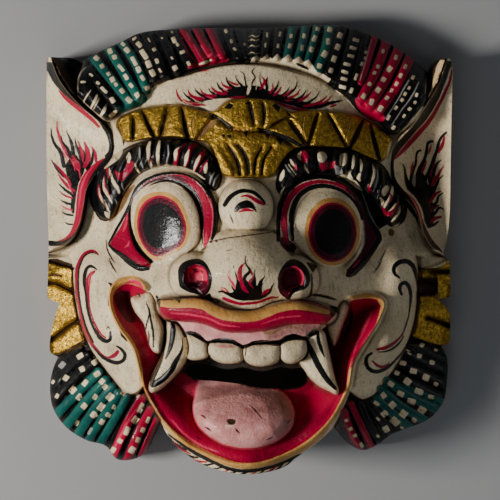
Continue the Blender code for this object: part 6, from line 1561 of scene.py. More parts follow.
def paint_ears(p, carving):
    # left: wedge darkened with umber and black as painted shade, where its wall faces away from the lamp, then rim
    # band, crimson line inside it and flames
    p.shape("umber", carving.wedge_l, grow=0.5)
    p.area("black", [(60, 58), (82, 60), (84, 67), (78, 77), (70, 73)], straight=True)
    band(p, "black", [(62, 43.5, 55.5), (70, 47, 58.5), (80, 52, 63.4), (90, 59.7, 73.6), (100, 70.6, 82),
                      (110, 84.4, 93), (120, 96.8, 104.2), (130, 103.6, 112), (138, 107.6, 113.4),
                      (144, 109, 114), (150, 108.6, 113.4), (160, 103.2, 111)])
    p.stroke("red", (1.2, 3.6, 4.2, 4.2, 3.8, 2.8), [(59, 91), (66, 98.4), (74, 104.8), (83, 112), (92, 119.6), (98.6, 126.6)])
    p.stroke("white", (1.6, 4.0, 5.4, 7.4, 8.6, 8.6, 6.4, 3.6, 1.6), [(104.5, 119.6), (110, 124), (115, 131), (118, 140),
                                                                 (118.8, 148), (117, 155), (113.4, 160), (109, 164.4),
                                                                 (105, 168)])
    p.stroke("black", (3.0, 7.0, 5.6, 5.0, 4.6, 4.2, 4.0, 4.0, 4.4, 6.4, 8.0, 7.0, 5.0),
             [(108.5, 157), (105, 161), (99.4, 168), (93.6, 176), (89.2, 184), (86.8, 194), (85.2, 204), (83.6, 214),
              (81, 224), (76, 233.6), (68.4, 241), (58, 244.4), (49, 243)])
    p.stroke("red", (1.6, 4.4, 7.0, 8.0, 8.0, 7.6, 7.2, 6.2, 5.0, 3.2, 1.4),
             [(103, 159), (96.4, 164.6), (90, 171.4), (85.2, 179.4), (82.2, 188.6), (80.6, 200), (79.2, 212), (77, 222),
              (73.6, 230), (67.6, 237.4), (60, 240.6)])
    p.stroke("rose_and_highlight", (0.6, 2.0, 2.4, 1.6, 0.6), [(94, 165.6), (86, 175.6), (81.2, 188), (79.4, 201), (77.4, 215)])
    # base of the flames
    p.area("black", [(66, 164), (71, 158), (75, 154), (80, 160), (85, 164), (84, 172), (80, 180), (77, 190), (75.4, 203),
                     (73.4, 214), (70.6, 210), (71.6, 196), (70.6, 186), (67, 177)])
    flames = (("black", (1.0, 2.6, 3.4, 4.2, 4.4), [(51, 128), (52, 137), (54.4, 143.6), (60, 151.4), (64, 166)]),
              ("red", (1.0, 2.4, 3.4, 4.0, 4.0), [(57, 121), (57.2, 128.6), (60, 138), (64, 147.6), (69.4, 157)]),
              ("black", (0.8, 2.4, 3.6, 3.6), [(61, 136), (63, 142.6), (67.6, 148.6), (71.4, 160)]),
              ("black", (0.8, 3.0, 4.0, 4.2), [(66, 130.6), (69.4, 138), (72.2, 146), (74.2, 160)]),
              ("black", (1.2, 3.2, 4.0, 3.4), [(75, 138.6), (76.2, 146.4), (80, 154), (82.2, 166)]),
              ("red", (1.0, 3.0, 4.0, 3.4), [(78, 141), (80.4, 148), (82.4, 153.6), (84, 161)]),
              ("red", (2.0, 5.0, 6.0, 5.4), [(84.6, 142.4), (87.2, 150), (88, 158), (86, 165.6)]),
              ("black", (1.0, 2.0, 1.6), [(83.6, 150), (84.8, 156), (84.4, 161.6)]),
              ("red", (1.2, 3.4, 3.2), [(91.6, 146.6), (95.2, 153), (96, 160.6)]),
              ("black", (1.0, 3.0, 3.4, 3.0), [(93, 149.4), (92.8, 156), (91.6, 161.6), (87, 169)]),
              ("black", (0.8, 2.4, 3.2, 3.6), [(51.4, 160), (56, 168), (62.4, 174.6), (70, 180.6)]),
              ("red", (0.8, 2.6, 3.0, 2.6), [(54, 162.6), (60, 169.6), (66, 177), (70.6, 184.6)]),
              ("red", (0.8, 2.6, 3.0, 2.4), [(57.4, 173), (63.4, 181.4), (69, 187.4), (74, 190.6)]),
              ("black", (1.0, 3.0, 3.2), [(58.6, 184), (65.6, 190), (73, 195.4)]),
              ("red", (0.8, 2.2, 2.0), [(59, 191), (65, 195.6), (72, 198.4)]),
              ("black", (0.8, 2.6, 2.6), [(60, 199.6), (66, 203), (73, 204.6)]),
              ("rose_and_highlight", (0.8, 2.0, 1.6), [(60.4, 205), (66, 208.4), (72, 210)]),
              ("black", (0.8, 2.4, 2.0), [(62, 212), (67.4, 214.6), (73, 215.4)]),
              ("black", (0.6, 1.8, 1.6), [(64, 222), (68, 224), (72.6, 224.4)]))
    for colour, w, c in flames:
        p.stroke(colour, w, c)
    p.area("red", [(72, 155), (75.6, 158), (80.4, 165), (79, 172), (75, 168), (72.6, 162)])
    for c in ([(70, 158), (73, 164), (75, 171)], [(76, 168), (79.4, 172), (80, 178)], [(67, 183), (70.4, 189), (73, 194)],
              [(61, 148), (64.4, 155), (68, 162)]):
        p.stroke("rose_and_highlight", (0.5, 1.5, 0.8), c)
    # right: wedge, rim and the crimson line outside it
    p.shape("umber", carving.wedge_r, grow=0.5)
    p.area("wood", [(440, 60), (447, 60), (446.4, 70), (442.4, 78), (438, 88), (431, 99), (427.5, 97), (431, 90),
                    (433, 80), (436, 68)], straight=True)
    p.stroke("black", (1.5, 3, 2.5), [(440, 60), (434, 65), (430, 74)])
    band(p, "black", [(61, 446.4, 452), (70, 443.8, 449.6), (80, 439.6, 446.2), (90, 435.8, 442.2), (100, 430, 438.2),
                      (110, 423.6, 432.6), (120, 415.6, 426), (130, 406.6, 417), (140, 398.2, 408.4), (150, 392.8, 399.8),
                      (160, 391, 394.4), (170, 390.8, 394), (180, 391.4, 396.2), (190, 395.8, 403.4), (196, 399, 409),
                      (203, 403.6, 414.6), (212, 410.6, 418.6), (221, 416.6, 422.8), (230, 420.6, 427),
                      (240, 424.6, 432.8), (250, 430.4, 441.4)])
    p.stroke("red", (1.4, 2.6, 3.2, 3.4, 3.8, 4.2, 4.6, 4.8, 4.2, 2.0),
             [(452, 70), (450, 80), (446, 90), (441.5, 100), (436, 110), (430, 120), (421.5, 130), (412.5, 140),
              (403.4, 150), (395.6, 158.4)])
    p.stroke("maroon", (1.2, 3.4, 3.8, 3.4, 2.4, 1.8), [(397.4, 188), (405, 193.6), (412.6, 200.6), (417.6, 209), (421.6, 220),
                                                   (425, 229)])
    p.stroke("red", (0.8, 2.0, 2.0, 1.6, 0.8), [(401, 190.6), (409, 196.6), (415.4, 204.6), (420, 214), (423.4, 224)])
    p.stroke("maroon", (1.6, 2.4, 2.4, 1.4), [(425, 228), (430, 238), (436, 246.4), (442, 252.4)])
    p.stroke("white", (0.6, 1.6, 1.2, 0.6), [(405, 198.4), (412, 205), (417, 214), (419.4, 221)])
    # base of the flames
    p.area("black", [(404, 177), (408, 182), (411, 186.6), (415, 183), (417, 174), (421.4, 168), (424, 175), (428, 176),
                     (433, 172), (433, 184), (432, 196), (433.6, 208), (434, 219), (431.6, 226), (427.4, 226.6),
                     (424.8, 222), (423, 213), (420, 205), (416, 198.4), (411, 193), (407, 188.6)])
    flames = (("black", (1.2, 2.2, 2.8, 3.8, 5.4), [(402.6, 164), (404.6, 168.4), (405.2, 174), (407, 181), (411, 188)]),
              ("black", (2.0, 2.2, 2.4, 2.6, 3.2, 3.6, 4.4), [(420.6, 150.4), (417.6, 151.8), (416.2, 156.6), (415.8, 163), (413.4, 170),
                                                       (411.2, 177), (411, 184.6)]),
              ("red", (0.8, 2.4, 2.0), [(413.4, 161.6), (412, 167), (411, 172.6)]),
              ("black", (2.6, 2.8, 3.0, 3.2, 4.2, 5.2, 6.0, 7.0), [(432.4, 141.4), (428.4, 142.4), (426.8, 149), (425.4, 156.4),
                                                            (423, 162.4), (419.8, 169), (418, 177), (418, 186.6)]),
              ("red", (0.8, 2.4, 1.0), [(431.6, 144.6), (430, 149), (428.4, 154)]),
              ("red", (0.8, 3.0, 2.0), [(426.6, 160.6), (424.6, 166), (422, 172.4)]),
              ("black", (2.2, 2.8, 3.2, 3.4, 3.6, 3.8, 4.4, 6.0, 8.0), [(446.4, 132.4), (441.8, 136.6), (438.6, 142.6), (437, 150.4),
                                                                  (433.8, 158.4), (431.4, 166), (428.6, 173), (425.4, 180.6),
                                                                  (424, 190)]),
              ("red", (1.4, 3.2, 4.0, 2.0), [(444.4, 136.4), (443.4, 141.6), (441, 148), (438.8, 152.4)]),
              ("red", (0.8, 2.2, 1.8), [(435.2, 160.6), (433, 168.6), (430.4, 176.6)]),
              ("black", (1.2, 2.6, 3.4, 3.8, 5.0, 6.0), [(441, 160), (437.2, 163.2), (434.6, 169), (433.2, 175.6), (431.2, 182.6),
                                                    (430, 192)]),
              ("red", (1.0, 2.2, 3.2, 5.0, 3.0), [(443.8, 166.4), (440.8, 170), (438.6, 175), (435, 179.6), (432.4, 185)]),
              ("black", (1.0, 2.2, 3.2, 5.0, 6.0), [(443.2, 175.6), (439.4, 178.8), (436.6, 184.4), (434, 189), (430.4, 196)]),
              ("red", (1.6, 2.8, 3.2, 2.0), [(440.4, 191.4), (436.6, 193.2), (433, 197.4), (430, 202.4)]),
              ("black", (1.2, 2.2, 2.8, 3.2), [(443, 193), (438.6, 196), (436.8, 202), (432, 206.4)]),
              ("maroon", (1.4, 4.0, 3.0), [(438.6, 205.6), (434.4, 207.4), (431, 211)]),
              ("black", (1.2, 2.6, 3.0, 4.6), [(443.8, 209.2), (439, 207.8), (435.6, 212.4), (430, 216.6)]),
              ("red", (2.2, 3.4, 2.6), [(440.8, 217), (436, 217.8), (431.6, 221.6)]),
              ("black", (1.6, 2.8, 3.0), [(438.6, 221.4), (433.4, 225), (428.6, 226.6)]))
    for colour, w, c in flames:
        p.stroke(colour, w, c)
    p.stroke("maroon", (0.6, 2.0, 0.8), [(425, 197), (428.4, 202), (430, 208)])
    # painted shade: the cream between the strands darkened
    p.stroke("highlight_and_shade_grey", (1.0, 3.2, 3.4, 1.0), [(415, 174.6), (414, 179), (413.8, 183), (414.6, 186.6)])
    p.stroke("white", (0.4, 1.1, 0.5), [(427.6, 178.6), (427.4, 181.6), (428.4, 184.6)])


def paint_cheeks(p):
    # left: a crimson scroll with a black line on its inner side, crossing over at the bottom
    p.stroke("red", (1.4, 3.2, 3.4, 3.4, 3.4, 3.4, 3.4, 3.4, 3.4, 3.6, 3.8, 3.8, 3.8, 3.6, 2.4, 1.2),
             [(98.4, 255), (96, 252), (91, 250.8), (86, 252.6), (81.2, 258), (78, 265), (76.5, 275), (76.5, 285),
              (78, 300), (80.4, 312), (83, 324), (87, 335), (92.4, 344.6), (99, 352.4), (106, 357), (112, 357)])
    p.stroke("red", (3.2, 4.2, 3.4), [(110, 357.4), (115, 355), (117.6, 351.6)])
    p.stroke("black", (1.0, 1.8, 1.8, 1.8, 1.8, 1.8, 1.8, 2.0, 2.2, 2.4),
             [(97, 254), (91, 252.6), (85.6, 255.4), (80, 265.4), (78.5, 276), (78.5, 288), (80.5, 304), (83.9, 320),
              (88.6, 333), (93.2, 342)])
    p.stroke("black", (1.2, 2.2, 3.4, 4.0, 4.0, 3.8, 3.4, 1.8),
             [(93, 346.6), (99, 354), (105.6, 359), (113, 362), (119, 362.6), (124, 359.4), (125, 354), (120.4, 348.4),
              (116.6, 346)])
    p.stroke("black", (1.4, 3.2, 3.8, 3.8, 3.6, 3.2, 3.0, 2.8, 2.8, 3.0, 3.8, 4.4, 3.8, 2.2),
             [(97, 269.6), (91, 266), (87, 268), (84.8, 274), (84.4, 282), (85.8, 291), (87, 303), (88.5, 313),
              (91.2, 322), (96, 332), (101, 338.6), (106.4, 341.4), (110.4, 339), (110.4, 332)])
    p.stroke("red", (2.6, 4.2, 4.0, 2.4, 1.6, 1.6, 2.0, 2.2, 1.6),
             [(94.6, 271.6), (90, 275), (88, 284), (88.4, 296), (90, 309), (92.6, 318), (97, 328), (101.6, 334.6),
              (105.6, 337.6)])
    p.stroke("rose_and_highlight", (0.6, 1.8, 0.6), [(93, 272.6), (89.6, 277), (88.4, 286)])
    p.stroke("umber", (0.8, 1.6, 0.8), [(106.4, 329), (108.4, 326.6), (109.6, 329)])
    p.stroke("black", (1.4, 3.2, 2.0), [(108.6, 283), (111.6, 285), (112, 288)])
    p.stroke("black", (1.2, 2.6, 1.2), [(112.4, 285.6), (114.4, 283.6), (115.4, 281.6)])
    p.stroke("black", (1.2, 2.4, 1.2), [(108.6, 299.6), (109, 302.4), (108.6, 305.6)])
    p.stroke("black", (1.0, 3.2, 3.0, 1.0), [(120.4, 330.6), (122, 334.6), (124.4, 338), (127, 341.6)])
    # right
    p.stroke("maroon", (2.0, 1.8, 1.6, 1.6, 1.8, 2.0, 2.0),
             [(417.4, 292), (417.2, 303), (415.6, 316), (412.8, 328.6), (408.6, 341), (403, 351), (397, 358.6)])
    p.stroke("black", (2.0, 3.6, 4.4, 4.8, 4.8, 4.6, 4.0, 3.0, 1.8, 1.0),
             [(399.4, 277.6), (395, 274), (393.6, 268.6), (397, 263.8), (402, 261.2), (407.4, 261.6), (412.4, 265.4),
              (415.6, 273), (417.4, 283), (417.6, 296)])
    p.stroke("black", (1.6, 2.4, 3.2, 3.8, 4.0, 3.8, 3.6, 2.4), [(399, 356), (391, 364.6), (383, 370), (376, 371.6), (369.4, 369.2),
                                                       (366, 363.4), (367, 357), (372, 353)])
    p.stroke("red", (1.0, 3.0, 3.2, 1.4), [(372, 360.4), (376.6, 365), (383, 366.8), (388.6, 363.6)])
    p.stroke("black", (2.4, 3.8, 4.0, 3.8, 3.2, 2.2, 1.5, 1.4, 1.6, 1.6),
             [(401.8, 294.6), (399.6, 288.6), (401.2, 284), (405, 282.6), (408.4, 285.6), (410.2, 292), (410.6, 301),
              (409, 313), (406, 325), (402, 335.4)])
    p.stroke("red", (0.8, 1.4, 2.4, 3.6, 3.8, 2.6), [(405, 328), (401, 336), (396.6, 341), (391, 345), (384.4, 348), (377.4, 349.4)])
    p.stroke("black", (0.8, 1.8, 2.2, 1.8, 0.8), [(404, 335.6), (399.6, 342.6), (392.6, 348.6), (385, 351.6), (377.6, 352)])
    p.area("white", [(364, 376), (378, 375.6), (375, 386), (370, 392), (365, 391)])


def paint_sides(p, carving):
    p.shape("black", carving.side_l, grow=0.0)
    p.shape("black", carving.side_r, grow=0.0)
    for side, leaf in ((carving.side_l, carving.leaf_l), (carving.side_r, carving.leaf_r)):
        d = np.maximum(-depth_in(p.P, side, REACH), -depth_in(p.P, leaf, REACH))
        p.put("gold", d)
        p.edges.append(leaf)
    p.area("white", [(44, 246), (74, 246), (74, 265), (66, 262), (58, 258.6), (44, 259.6)], straight=True)
    p.stroke("umber", (2.6, 4.4, 4.4, 3.0), [(48, 262.6), (57, 261), (66, 264.8), (73.4, 268.6)])
    p.stroke("umber", (1.0, 2.4, 1.4), [(47, 277), (54, 274.6), (62, 276)])
    for line, w in zip(LEAF_CUTS, (3.0, 3.6, 2.4, 2.8)):
        p.stroke("umber", (0.4 * w, w, w, 0.4 * w), line)
    p.stroke("umber", (1.4, 3.0, 3.0, 1.4), [(51, 355), (62, 353.6), (75, 347), (86, 340)])
    # painted shade: umber over the inner part of the right leaf, beside the cheek
    p.area("umber", [(420, 278.6), (437, 278.6), (437.6, 293.4), (428, 294.4), (420, 293)], straight=True)
    p.area("white", [(417, 252), (424, 247), (436, 250), (441, 255), (447.6, 257), (446, 264), (437, 268), (421, 268),
                     (417, 262)], straight=True)
    p.stroke("umber", (0.8, 1.6, 1.2), [(418, 268.6), (428, 269.6), (438, 268.4)])
    tint = {"g": "green", "r": "red", "G": "green", "R": "red"}
    for name, (o, m, i, w) in TUFT_LOCKS.items():
        if name[0] in tint:
            i2 = (i[0] + (i[0] - m[0]) * 0.2, i[1] + (i[1] - m[1]) * 0.2)
            p.stroke(tint[name[0]], (0.84 if name[0] in "gG" else 0.72) * w, [o, m, i2])
    p.stroke("green", (2.0, 6.4, 8.0, 8.4), [(378, 388), (396, 386), (417, 393), (443, 403)])
    for n in ("g2", "g3", "g4", "g5", "G1", "G2", "G3", "r1", "r2", "R1", "R2"):
        o, m, i, w = TUFT_LOCKS[n]
        q = path([o, m, i], step=2.0)
        t = np.gradient(q, axis=0)
        t /= np.hypot(*t.T)[:, None] + 1e-9
        e = q + 0.5 * w * np.stack([-t[:, 1], t[:, 0]], 1)
        p.stroke("black", 1.3, e[2:-2:4])
    p.stroke("rose_and_highlight", (0.8, 2.6, 2.0), [(346, 425), (352, 438), (358, 446)])
    p.stroke("rose_and_highlight", (0.8, 2.0, 1.6), [(361, 427), (366, 438), (371, 446)])
    p.stroke("rose_and_highlight", (0.8, 2.6, 2.0), [(139, 405), (126, 425), (115, 446)])
    names = [n for n in TUFT_LOCKS if n[0] in "KGR"]
    on_locks(p, TUFT_LOCKS, names, [
        (422, 345, 4, 4), (436, 350, 4, 3), (408, 350.5, 5, 1.3), (409.5, 353.5, 5, 1.3), (419.5, 356, 5, 5),
        (432, 362.5, 5.5, 5), (403, 363, 6, 5), (413.5, 371, 8, 6), (426, 377.5, 7.6, 7), (436, 384, 5, 4),
        (397, 373, 5, 4.5), (407.5, 381.5, 7.6, 6), (419, 391.5, 8, 6), (431, 397, 6, 5), (391, 384, 6, 5),
        (400.5, 394, 7, 6), (411.5, 401.5, 8, 7), (422, 410, 7, 6), (383.5, 395.5, 7, 5), (392.5, 405, 7, 6),
        (403.5, 414, 8, 7), (414, 420, 5, 4), (376.5, 403.5, 6, 4), (384.5, 414, 6.4, 6), (395, 421.5, 8, 7),
        (402, 428, 4, 3), (378, 419, 5, 3), (386, 429, 7, 5.6), (378, 436, 4, 3), (346.5, 420.5, 3, 4),
        (350.5, 429, 3.4, 4.6), (355, 435.5, 3.4, 4.6), (361.5, 445, 5, 4)])
    left = [n for n in TUFT_LOCKS if n[0] in "kgr"]
    on_locks(p, TUFT_LOCKS, left, [
        (80, 356, 6, 5), (95, 362, 7, 5.4), (82, 369, 5, 5), (97, 374, 6, 4.6), (66, 378, 6, 5), (53, 382, 4, 3),
        (85, 383, 6, 5), (102, 381.5, 6, 5), (73, 390, 6.6, 5.6), (105, 387, 6, 4.6), (57, 396, 5, 4),
        (79, 397, 6, 5), (95, 397, 5.6, 4.6), (110, 397, 8, 6), (84, 406, 6.4, 5), (101, 407, 7.4, 6),
        (94, 415, 7, 6), (114, 407, 5, 4), (108, 415, 5, 5), (77, 423, 5, 4), (102, 422, 6, 5.4), (123, 393, 5, 5),
        (138, 396, 4, 3), (141, 408, 10, 4.6), (135, 420, 7.6, 5.4), (127, 431, 7.6, 5.4), (120, 441, 5, 4.6),
        (113, 450, 6, 4.6), (148, 420, 6, 3.6), (143, 430, 6, 4.6), (138, 440, 5.4, 5), (132, 450, 7, 5.4)])
    # painted highlights on two of the dabs
    on_locks(p, TUFT_LOCKS, left, [(62, 365, 6, 5), (90, 431, 8, 2.6)], "highlight_and_shade_grey")


def paint_all(P, carving):
    p = Painter(P)
    paint_forehead(p)
    paint_tiara(p, carving)
    paint_cheeks(p)
    paint_eyes(p, carving)
    paint_brows(p, carving)
    paint_nose(p)
    paint_mouth(p, carving)
    paint_ears(p, carving)
    paint_sides(p, carving)
    paint_crest(p, carving)
    return p


# ---------------------------------------------------------------- fine relief
def finish_relief(P, z, D, carving):
    """Tool marks, brush marks and the thickness of the paint, mm."""
    key = {n: k for k, n in enumerate(COLOURS)}
    thick = lambda n, w=0.8: smooth(-D[key[n]] / w + 0.3)
    z = z + 0.10 * waves(P, 9.0, 1) + 0.05 * waves(P, 4.0, 2)
    z = z - 0.55 * smooth(-D[key["umber"]] / 0.9 + 0.45)
    z = z + 0.16 * thick("black") + 0.10 * thick("red") + 0.08 * thick("green") + 0.08 * thick("ochre")
    gold = thick("gold", 2.0)
    z = z + gold * (0.22 * (scoops(P, 7.0, 3) - 0.4) + 0.10 * waves(P, 2.6, 5))
    return z


# ---------------------------------------------------------------- the mesh
def build_surface(name):
    carving = Carving(step=3.0)
    back = Back(Carving(step=6.0), cell=4.0)
    edge = outline(2.1)
    hole = path(MOUTH_HOLE, closed=True, step=2.0)
    loops = [edge, hole]

    # where the surface bends, on a grid of one unit
    g = np.arange(0, 501, 1.0)
    A, B = np.meshgrid(g, g)
    zg = carving.heights(np.stack([A.ravel(), B.ravel()], 1)).reshape(A.shape)
    bend = (np.abs(np.diff(zg, 2, axis=0, prepend=0, append=0))[:501]
            + np.abs(np.diff(zg, 2, axis=1, prepend=0, append=0))[:, :501])
    bend = blur(np.clip(bend, 0, 6.0), 1)
    low = [blur(zg, r) - zg for r in (1, 3, 8)]

    pts = Scatter(np.vstack(loops))
    pts.border = len(edge) + len(hole)
    for curve, closed in carving.steps():
        for gap in (0.0, 0.75, 1.7):
            for c in ([path(curve, closed=closed, step=1.7)] if gap == 0 else beside(curve, closed, gap, 1.9)):
                if gap == 0 and closed:
                    c = np.vstack([c, c[:1]])
                keep = clear_of(c, loops, 1.3)
                for part in np.split(c, np.flatnonzero(~keep)):
                    part = part[1:] if len(part) and not keep[np.flatnonzero((c == part[0]).all(1))[0]] else part
                    if len(part) > 1:
                        pts.chain(part, 0.62)
    n_chain = len(pts.points)
    painted = paint_all(edge, carving)
    for e in painted.edges:
        e = e[clear_of(e, loops, 1.0)]
        pts.fill(e, 0.85)
    n_paint = len(pts.points)
    for step, low_bend, high_bend in ((1.3, 0.35, 99), (1.6, 0.14, 0.35), (1.95, 0.05, 0.14), (2.4, -1, 0.05)):
        Q = hexes(step)
        b = sample(bend, Q, 1.0)
        Q = Q[(b > low_bend) & (b <= high_bend)]
        Q = Q[clear_of(Q, loops, 0.6 * step)]
        pts.fill(Q, 0.66 * step)
    Vf, Tf = triangulate(pts.points, loops, pts.lines)
    print("front:", n_chain, "on edges,", n_paint, "with paint,", len(Vf), "points,", len(Tf), "triangles")

    # more points where an edge of the mesh would blur the paint across it
    cover = lambda d: np.clip(0.5 - d / 0.9, 0, 1)
    for more in (7000, 7000):
        D = paint_all(Vf, carving).fields()
        E = np.vstack([Tf[:, [0, 1]], Tf[:, [1, 2]], Tf[:, [2, 0]]])
        E = np.unique(np.sort(E, 1), axis=0)
        E = E[np.hypot(*(Vf[E[:, 1]] - Vf[E[:, 0]]).T) > 1.15]
        Q = Vf[E].mean(1)
        true = paint_all(Q, carving).fields()
        score = np.abs(cover(true) - cover(D[:, E].mean(2))).max(0) * np.hypot(*(Vf[E[:, 1]] - Vf[E[:, 0]]).T)
        worst = np.argsort(-score, kind="stable")[:more]
        worst = worst[score[worst] > 0.35]
        Q = Q[worst]
        pts.fill(Q[clear_of(Q, loops, 0.8)], 0.5)
        Vf, Tf = triangulate(pts.points, loops, pts.lines)
        print("refined:", len(worst), "worst", score[worst[0]] if len(worst) else 0, "last",
              score[worst[-1]] if len(worst) else 0, len(Tf), "triangles")

    painted = paint_all(Vf, carving)
    D = painted.fields()
    zf = finish_relief(Vf, carving.heights(Vf), D, carving)
    xf = np.stack(place(Vf[:, 0], Vf[:, 1], zf), 1)

    # the back
    bpts = Scatter(np.vstack([edge, flared(hole)]))
    bpts.border = len(edge) + len(hole)
    bloops = [edge, flared(hole)]
    for shrink in (1.0, 0.985, 0.95):
        c = hollow_edge(shrink, 4.5)
        bpts.chain(np.vstack([c, c[:1]])[clear_of(np.vstack([c, c[:1]]), bloops, 3.0)], 1.5)
    Q = hexes(4.4)
    Q = Q[clear_of(Q, bloops, 3.0)]
    bpts.fill(Q, 2.6)
    Vb, Tb = triangulate(bpts.points, bloops, bpts.lines)
    zb = back.heights(Vb)
    flat = zb <= 0
    zb = zb + np.where(flat, 0.0, smooth(zb / 6) * (0.9 * (scoops(Vb, 15, 11, (0.8, 1.5)) - 0.35)))
    zb = np.where(flat, 0.18 * np.clip(waves(Vb, 22, 21) + 0.2, 0, 1), np.clip(zb, 0, None))
    zb[:len(edge)] = 0.0
    s = UNIT * BACK_SCALE
    xb = np.stack([(Vb[:, 0] - MID) * s, (MID - Vb[:, 1]) * s, zb], 1)

    # the side wall, from the front edge down to the flat back
    n = len(edge)
    tangent = np.roll(edge, -1, 0) - np.roll(edge, 1, 0)
    normal = np.stack([-tangent[:, 1], tangent[:, 0]], 1)
    normal /= np.hypot(*normal.T)[:, None]
    if not inside(edge[:1] + normal[:1] * 2, edge)[0]:
        normal = -normal
    lean = tuck_at(edge[:, 0], edge[:, 1])
    run = np.cumsum(np.hypot(*(np.roll(edge, -1, 0) - edge).T))
    rings, bare = [], []
    for t in (0.10, 0.24, 0.40, 0.58, 0.78, 0.93):
        ring = xf[:n] * (1 - t) + xb[:n] * t
        ring[:, 2] = zf[:n] * (1 - t)
        cuts = scoops(np.stack([run, np.full(n, t * 90.0)], 1), 13.0, 31, (1.0, 1.6)) - 0.35
        pull = lean * (t ** 2.2) - 0.35 * cuts * math.sin(math.pi * t)
        ring[:, 0] += normal[:, 0] * pull
        ring[:, 1] -= normal[:, 1] * pull
        rings.append(ring)
        bare.append(np.full(n, t))
    order = np.argsort(Vb[:, 0], kind="stable")
    d, t = np.empty(len(Vb)), np.empty(len(Vb))
    d[order], t[order] = to_curve(Vb[order], edge, 62.0, closed=True)
    k = np.minimum((t * n).astype(int), n - 1)
    k[:n] = np.arange(n)
    ease = lean[k] * smooth(1 - np.where(np.arange(len(Vb)) < n, 0, d) / 62.0)
    xb[:, 0] += normal[k, 0] * ease
    xb[:, 1] -= normal[k, 1] * ease

    m = len(hole)
    inner = []
    hb = xb[n:n + m]
    for t in (0.2, 0.5, 0.8):
        inner.append(xf[n:n + m] * (1 - t) + hb * t)
    verts = [xf, xb] + rings + inner
    start = np.cumsum([0] + [len(v) for v in verts])
    tris, kinds = [], []

    def up(V, T):
        e1, e2 = V[T[:, 1]] - V[T[:, 0]], V[T[:, 2]] - V[T[:, 0]]
        return (e1[:, 0] * e2[:, 1] - e1[:, 1] * e2[:, 0]) < 0     # b runs down

    def band(lo, hi, count, turn):
        k = np.arange(count)
        j = (k + 1) % count
        q = np.stack([lo + k, lo + j, hi + j, hi + k], 1)
        if turn:
            q = q[:, ::-1]
        return np.vstack([q[:, [0, 1, 2]], q[:, [0, 2, 3]]])

    def area(c):
        return 0.5 * np.sum(c[:, 0] * np.roll(c[:, 1], -1) - np.roll(c[:, 0], -1) * c[:, 1])

    tris.append(np.where((~up(Vf, Tf))[:, None], Tf[:, ::-1], Tf))
    tris.append(np.where(up(Vb, Tb)[:, None], Tb[:, ::-1], Tb) + start[1])
    ladder = [0] + [start[2 + k] for k in range(len(rings))] + [start[1]]
    for lo, hi in zip(ladder[:-1], ladder[1:]):
        tris.append(band(lo, hi, n, area(edge) < 0))
    first = 2 + len(rings)
    ladder = [n] + [start[first + k] for k in range(len(inner))] + [start[1] + n]
    for lo, hi in zip(ladder[:-1], ladder[1:]):
        tris.append(band(lo, hi, m, area(hole) > 0))
    kind = np.concatenate([np.full(len(t), k) for k, t in enumerate(tris)])
    kind = np.where(kind < 2, kind, np.where(kind < 2 + len(rings) + 1, 2, 3))
    tris = np.vstack(tris)
    points = np.vstack(verts)
    centre = (points[:, :2].min(0) + points[:, :2].max(0)) / 2
    points[:, :2] -= centre
    print("whole:", len(points), "points,", len(tris), "triangles; centre", centre)

    mesh = bpy.data.meshes.new(name)
    mesh.vertices.add(len(points))
    mesh.vertices.foreach_set("co", (points * 0.001).astype(np.float32).ravel())
    mesh.loops.add(3 * len(tris))
    mesh.polygons.add(len(tris))
    mesh.loops.foreach_set("vertex_index", tris.astype(np.int32).ravel())
    mesh.polygons.foreach_set("loop_start", np.arange(0, 3 * len(tris), 3, dtype=np.int32))
    mesh.update(calc_edges=True)
    mesh.validate()

    # paint, dirt and wear as values on the points
    def spread(front, rest=0.0):
        """Front values; the wall takes those of its front edge."""
        out = np.full(len(points), float(rest))
        out[:len(Vf)] = front
        for k in range(len(rings)):
            out[start[2 + k]:start[2 + k] + n] = front[:n]
        out[start[1]:start[1] + n] = front[:n]
        for k in range(len(inner)):
            out[start[first + k]:start[first + k] + m] = front[n:n + m]
        out[start[1] + n:start[1] + n + m] = front[n:n + m]
        return out

    def put(label, values):
        a = mesh.attributes.new(label, "FLOAT", "POINT")
        a.data.foreach_set("value", values.astype(np.float32))

    for k, label in enumerate(COLOURS):
        put(label, spread(D[k], REACH))
    put("crease", spread(sample(low[1], Vf, 1.0)))
    put("deep", spread(sample(low[2], Vf, 1.0)))
    put("fine", spread(sample(low[0], Vf, 1.0)))
    down = np.zeros(len(points))
    for k in range(len(rings)):
        down[start[2 + k]:start[2 + k] + n] = bare[k]
    down[start[1]:start[2]] = 1.0
    for k, t in enumerate((0.2, 0.5, 0.8)):
        down[start[first + k]:start[first + k] + m] = t
    put("down", down)

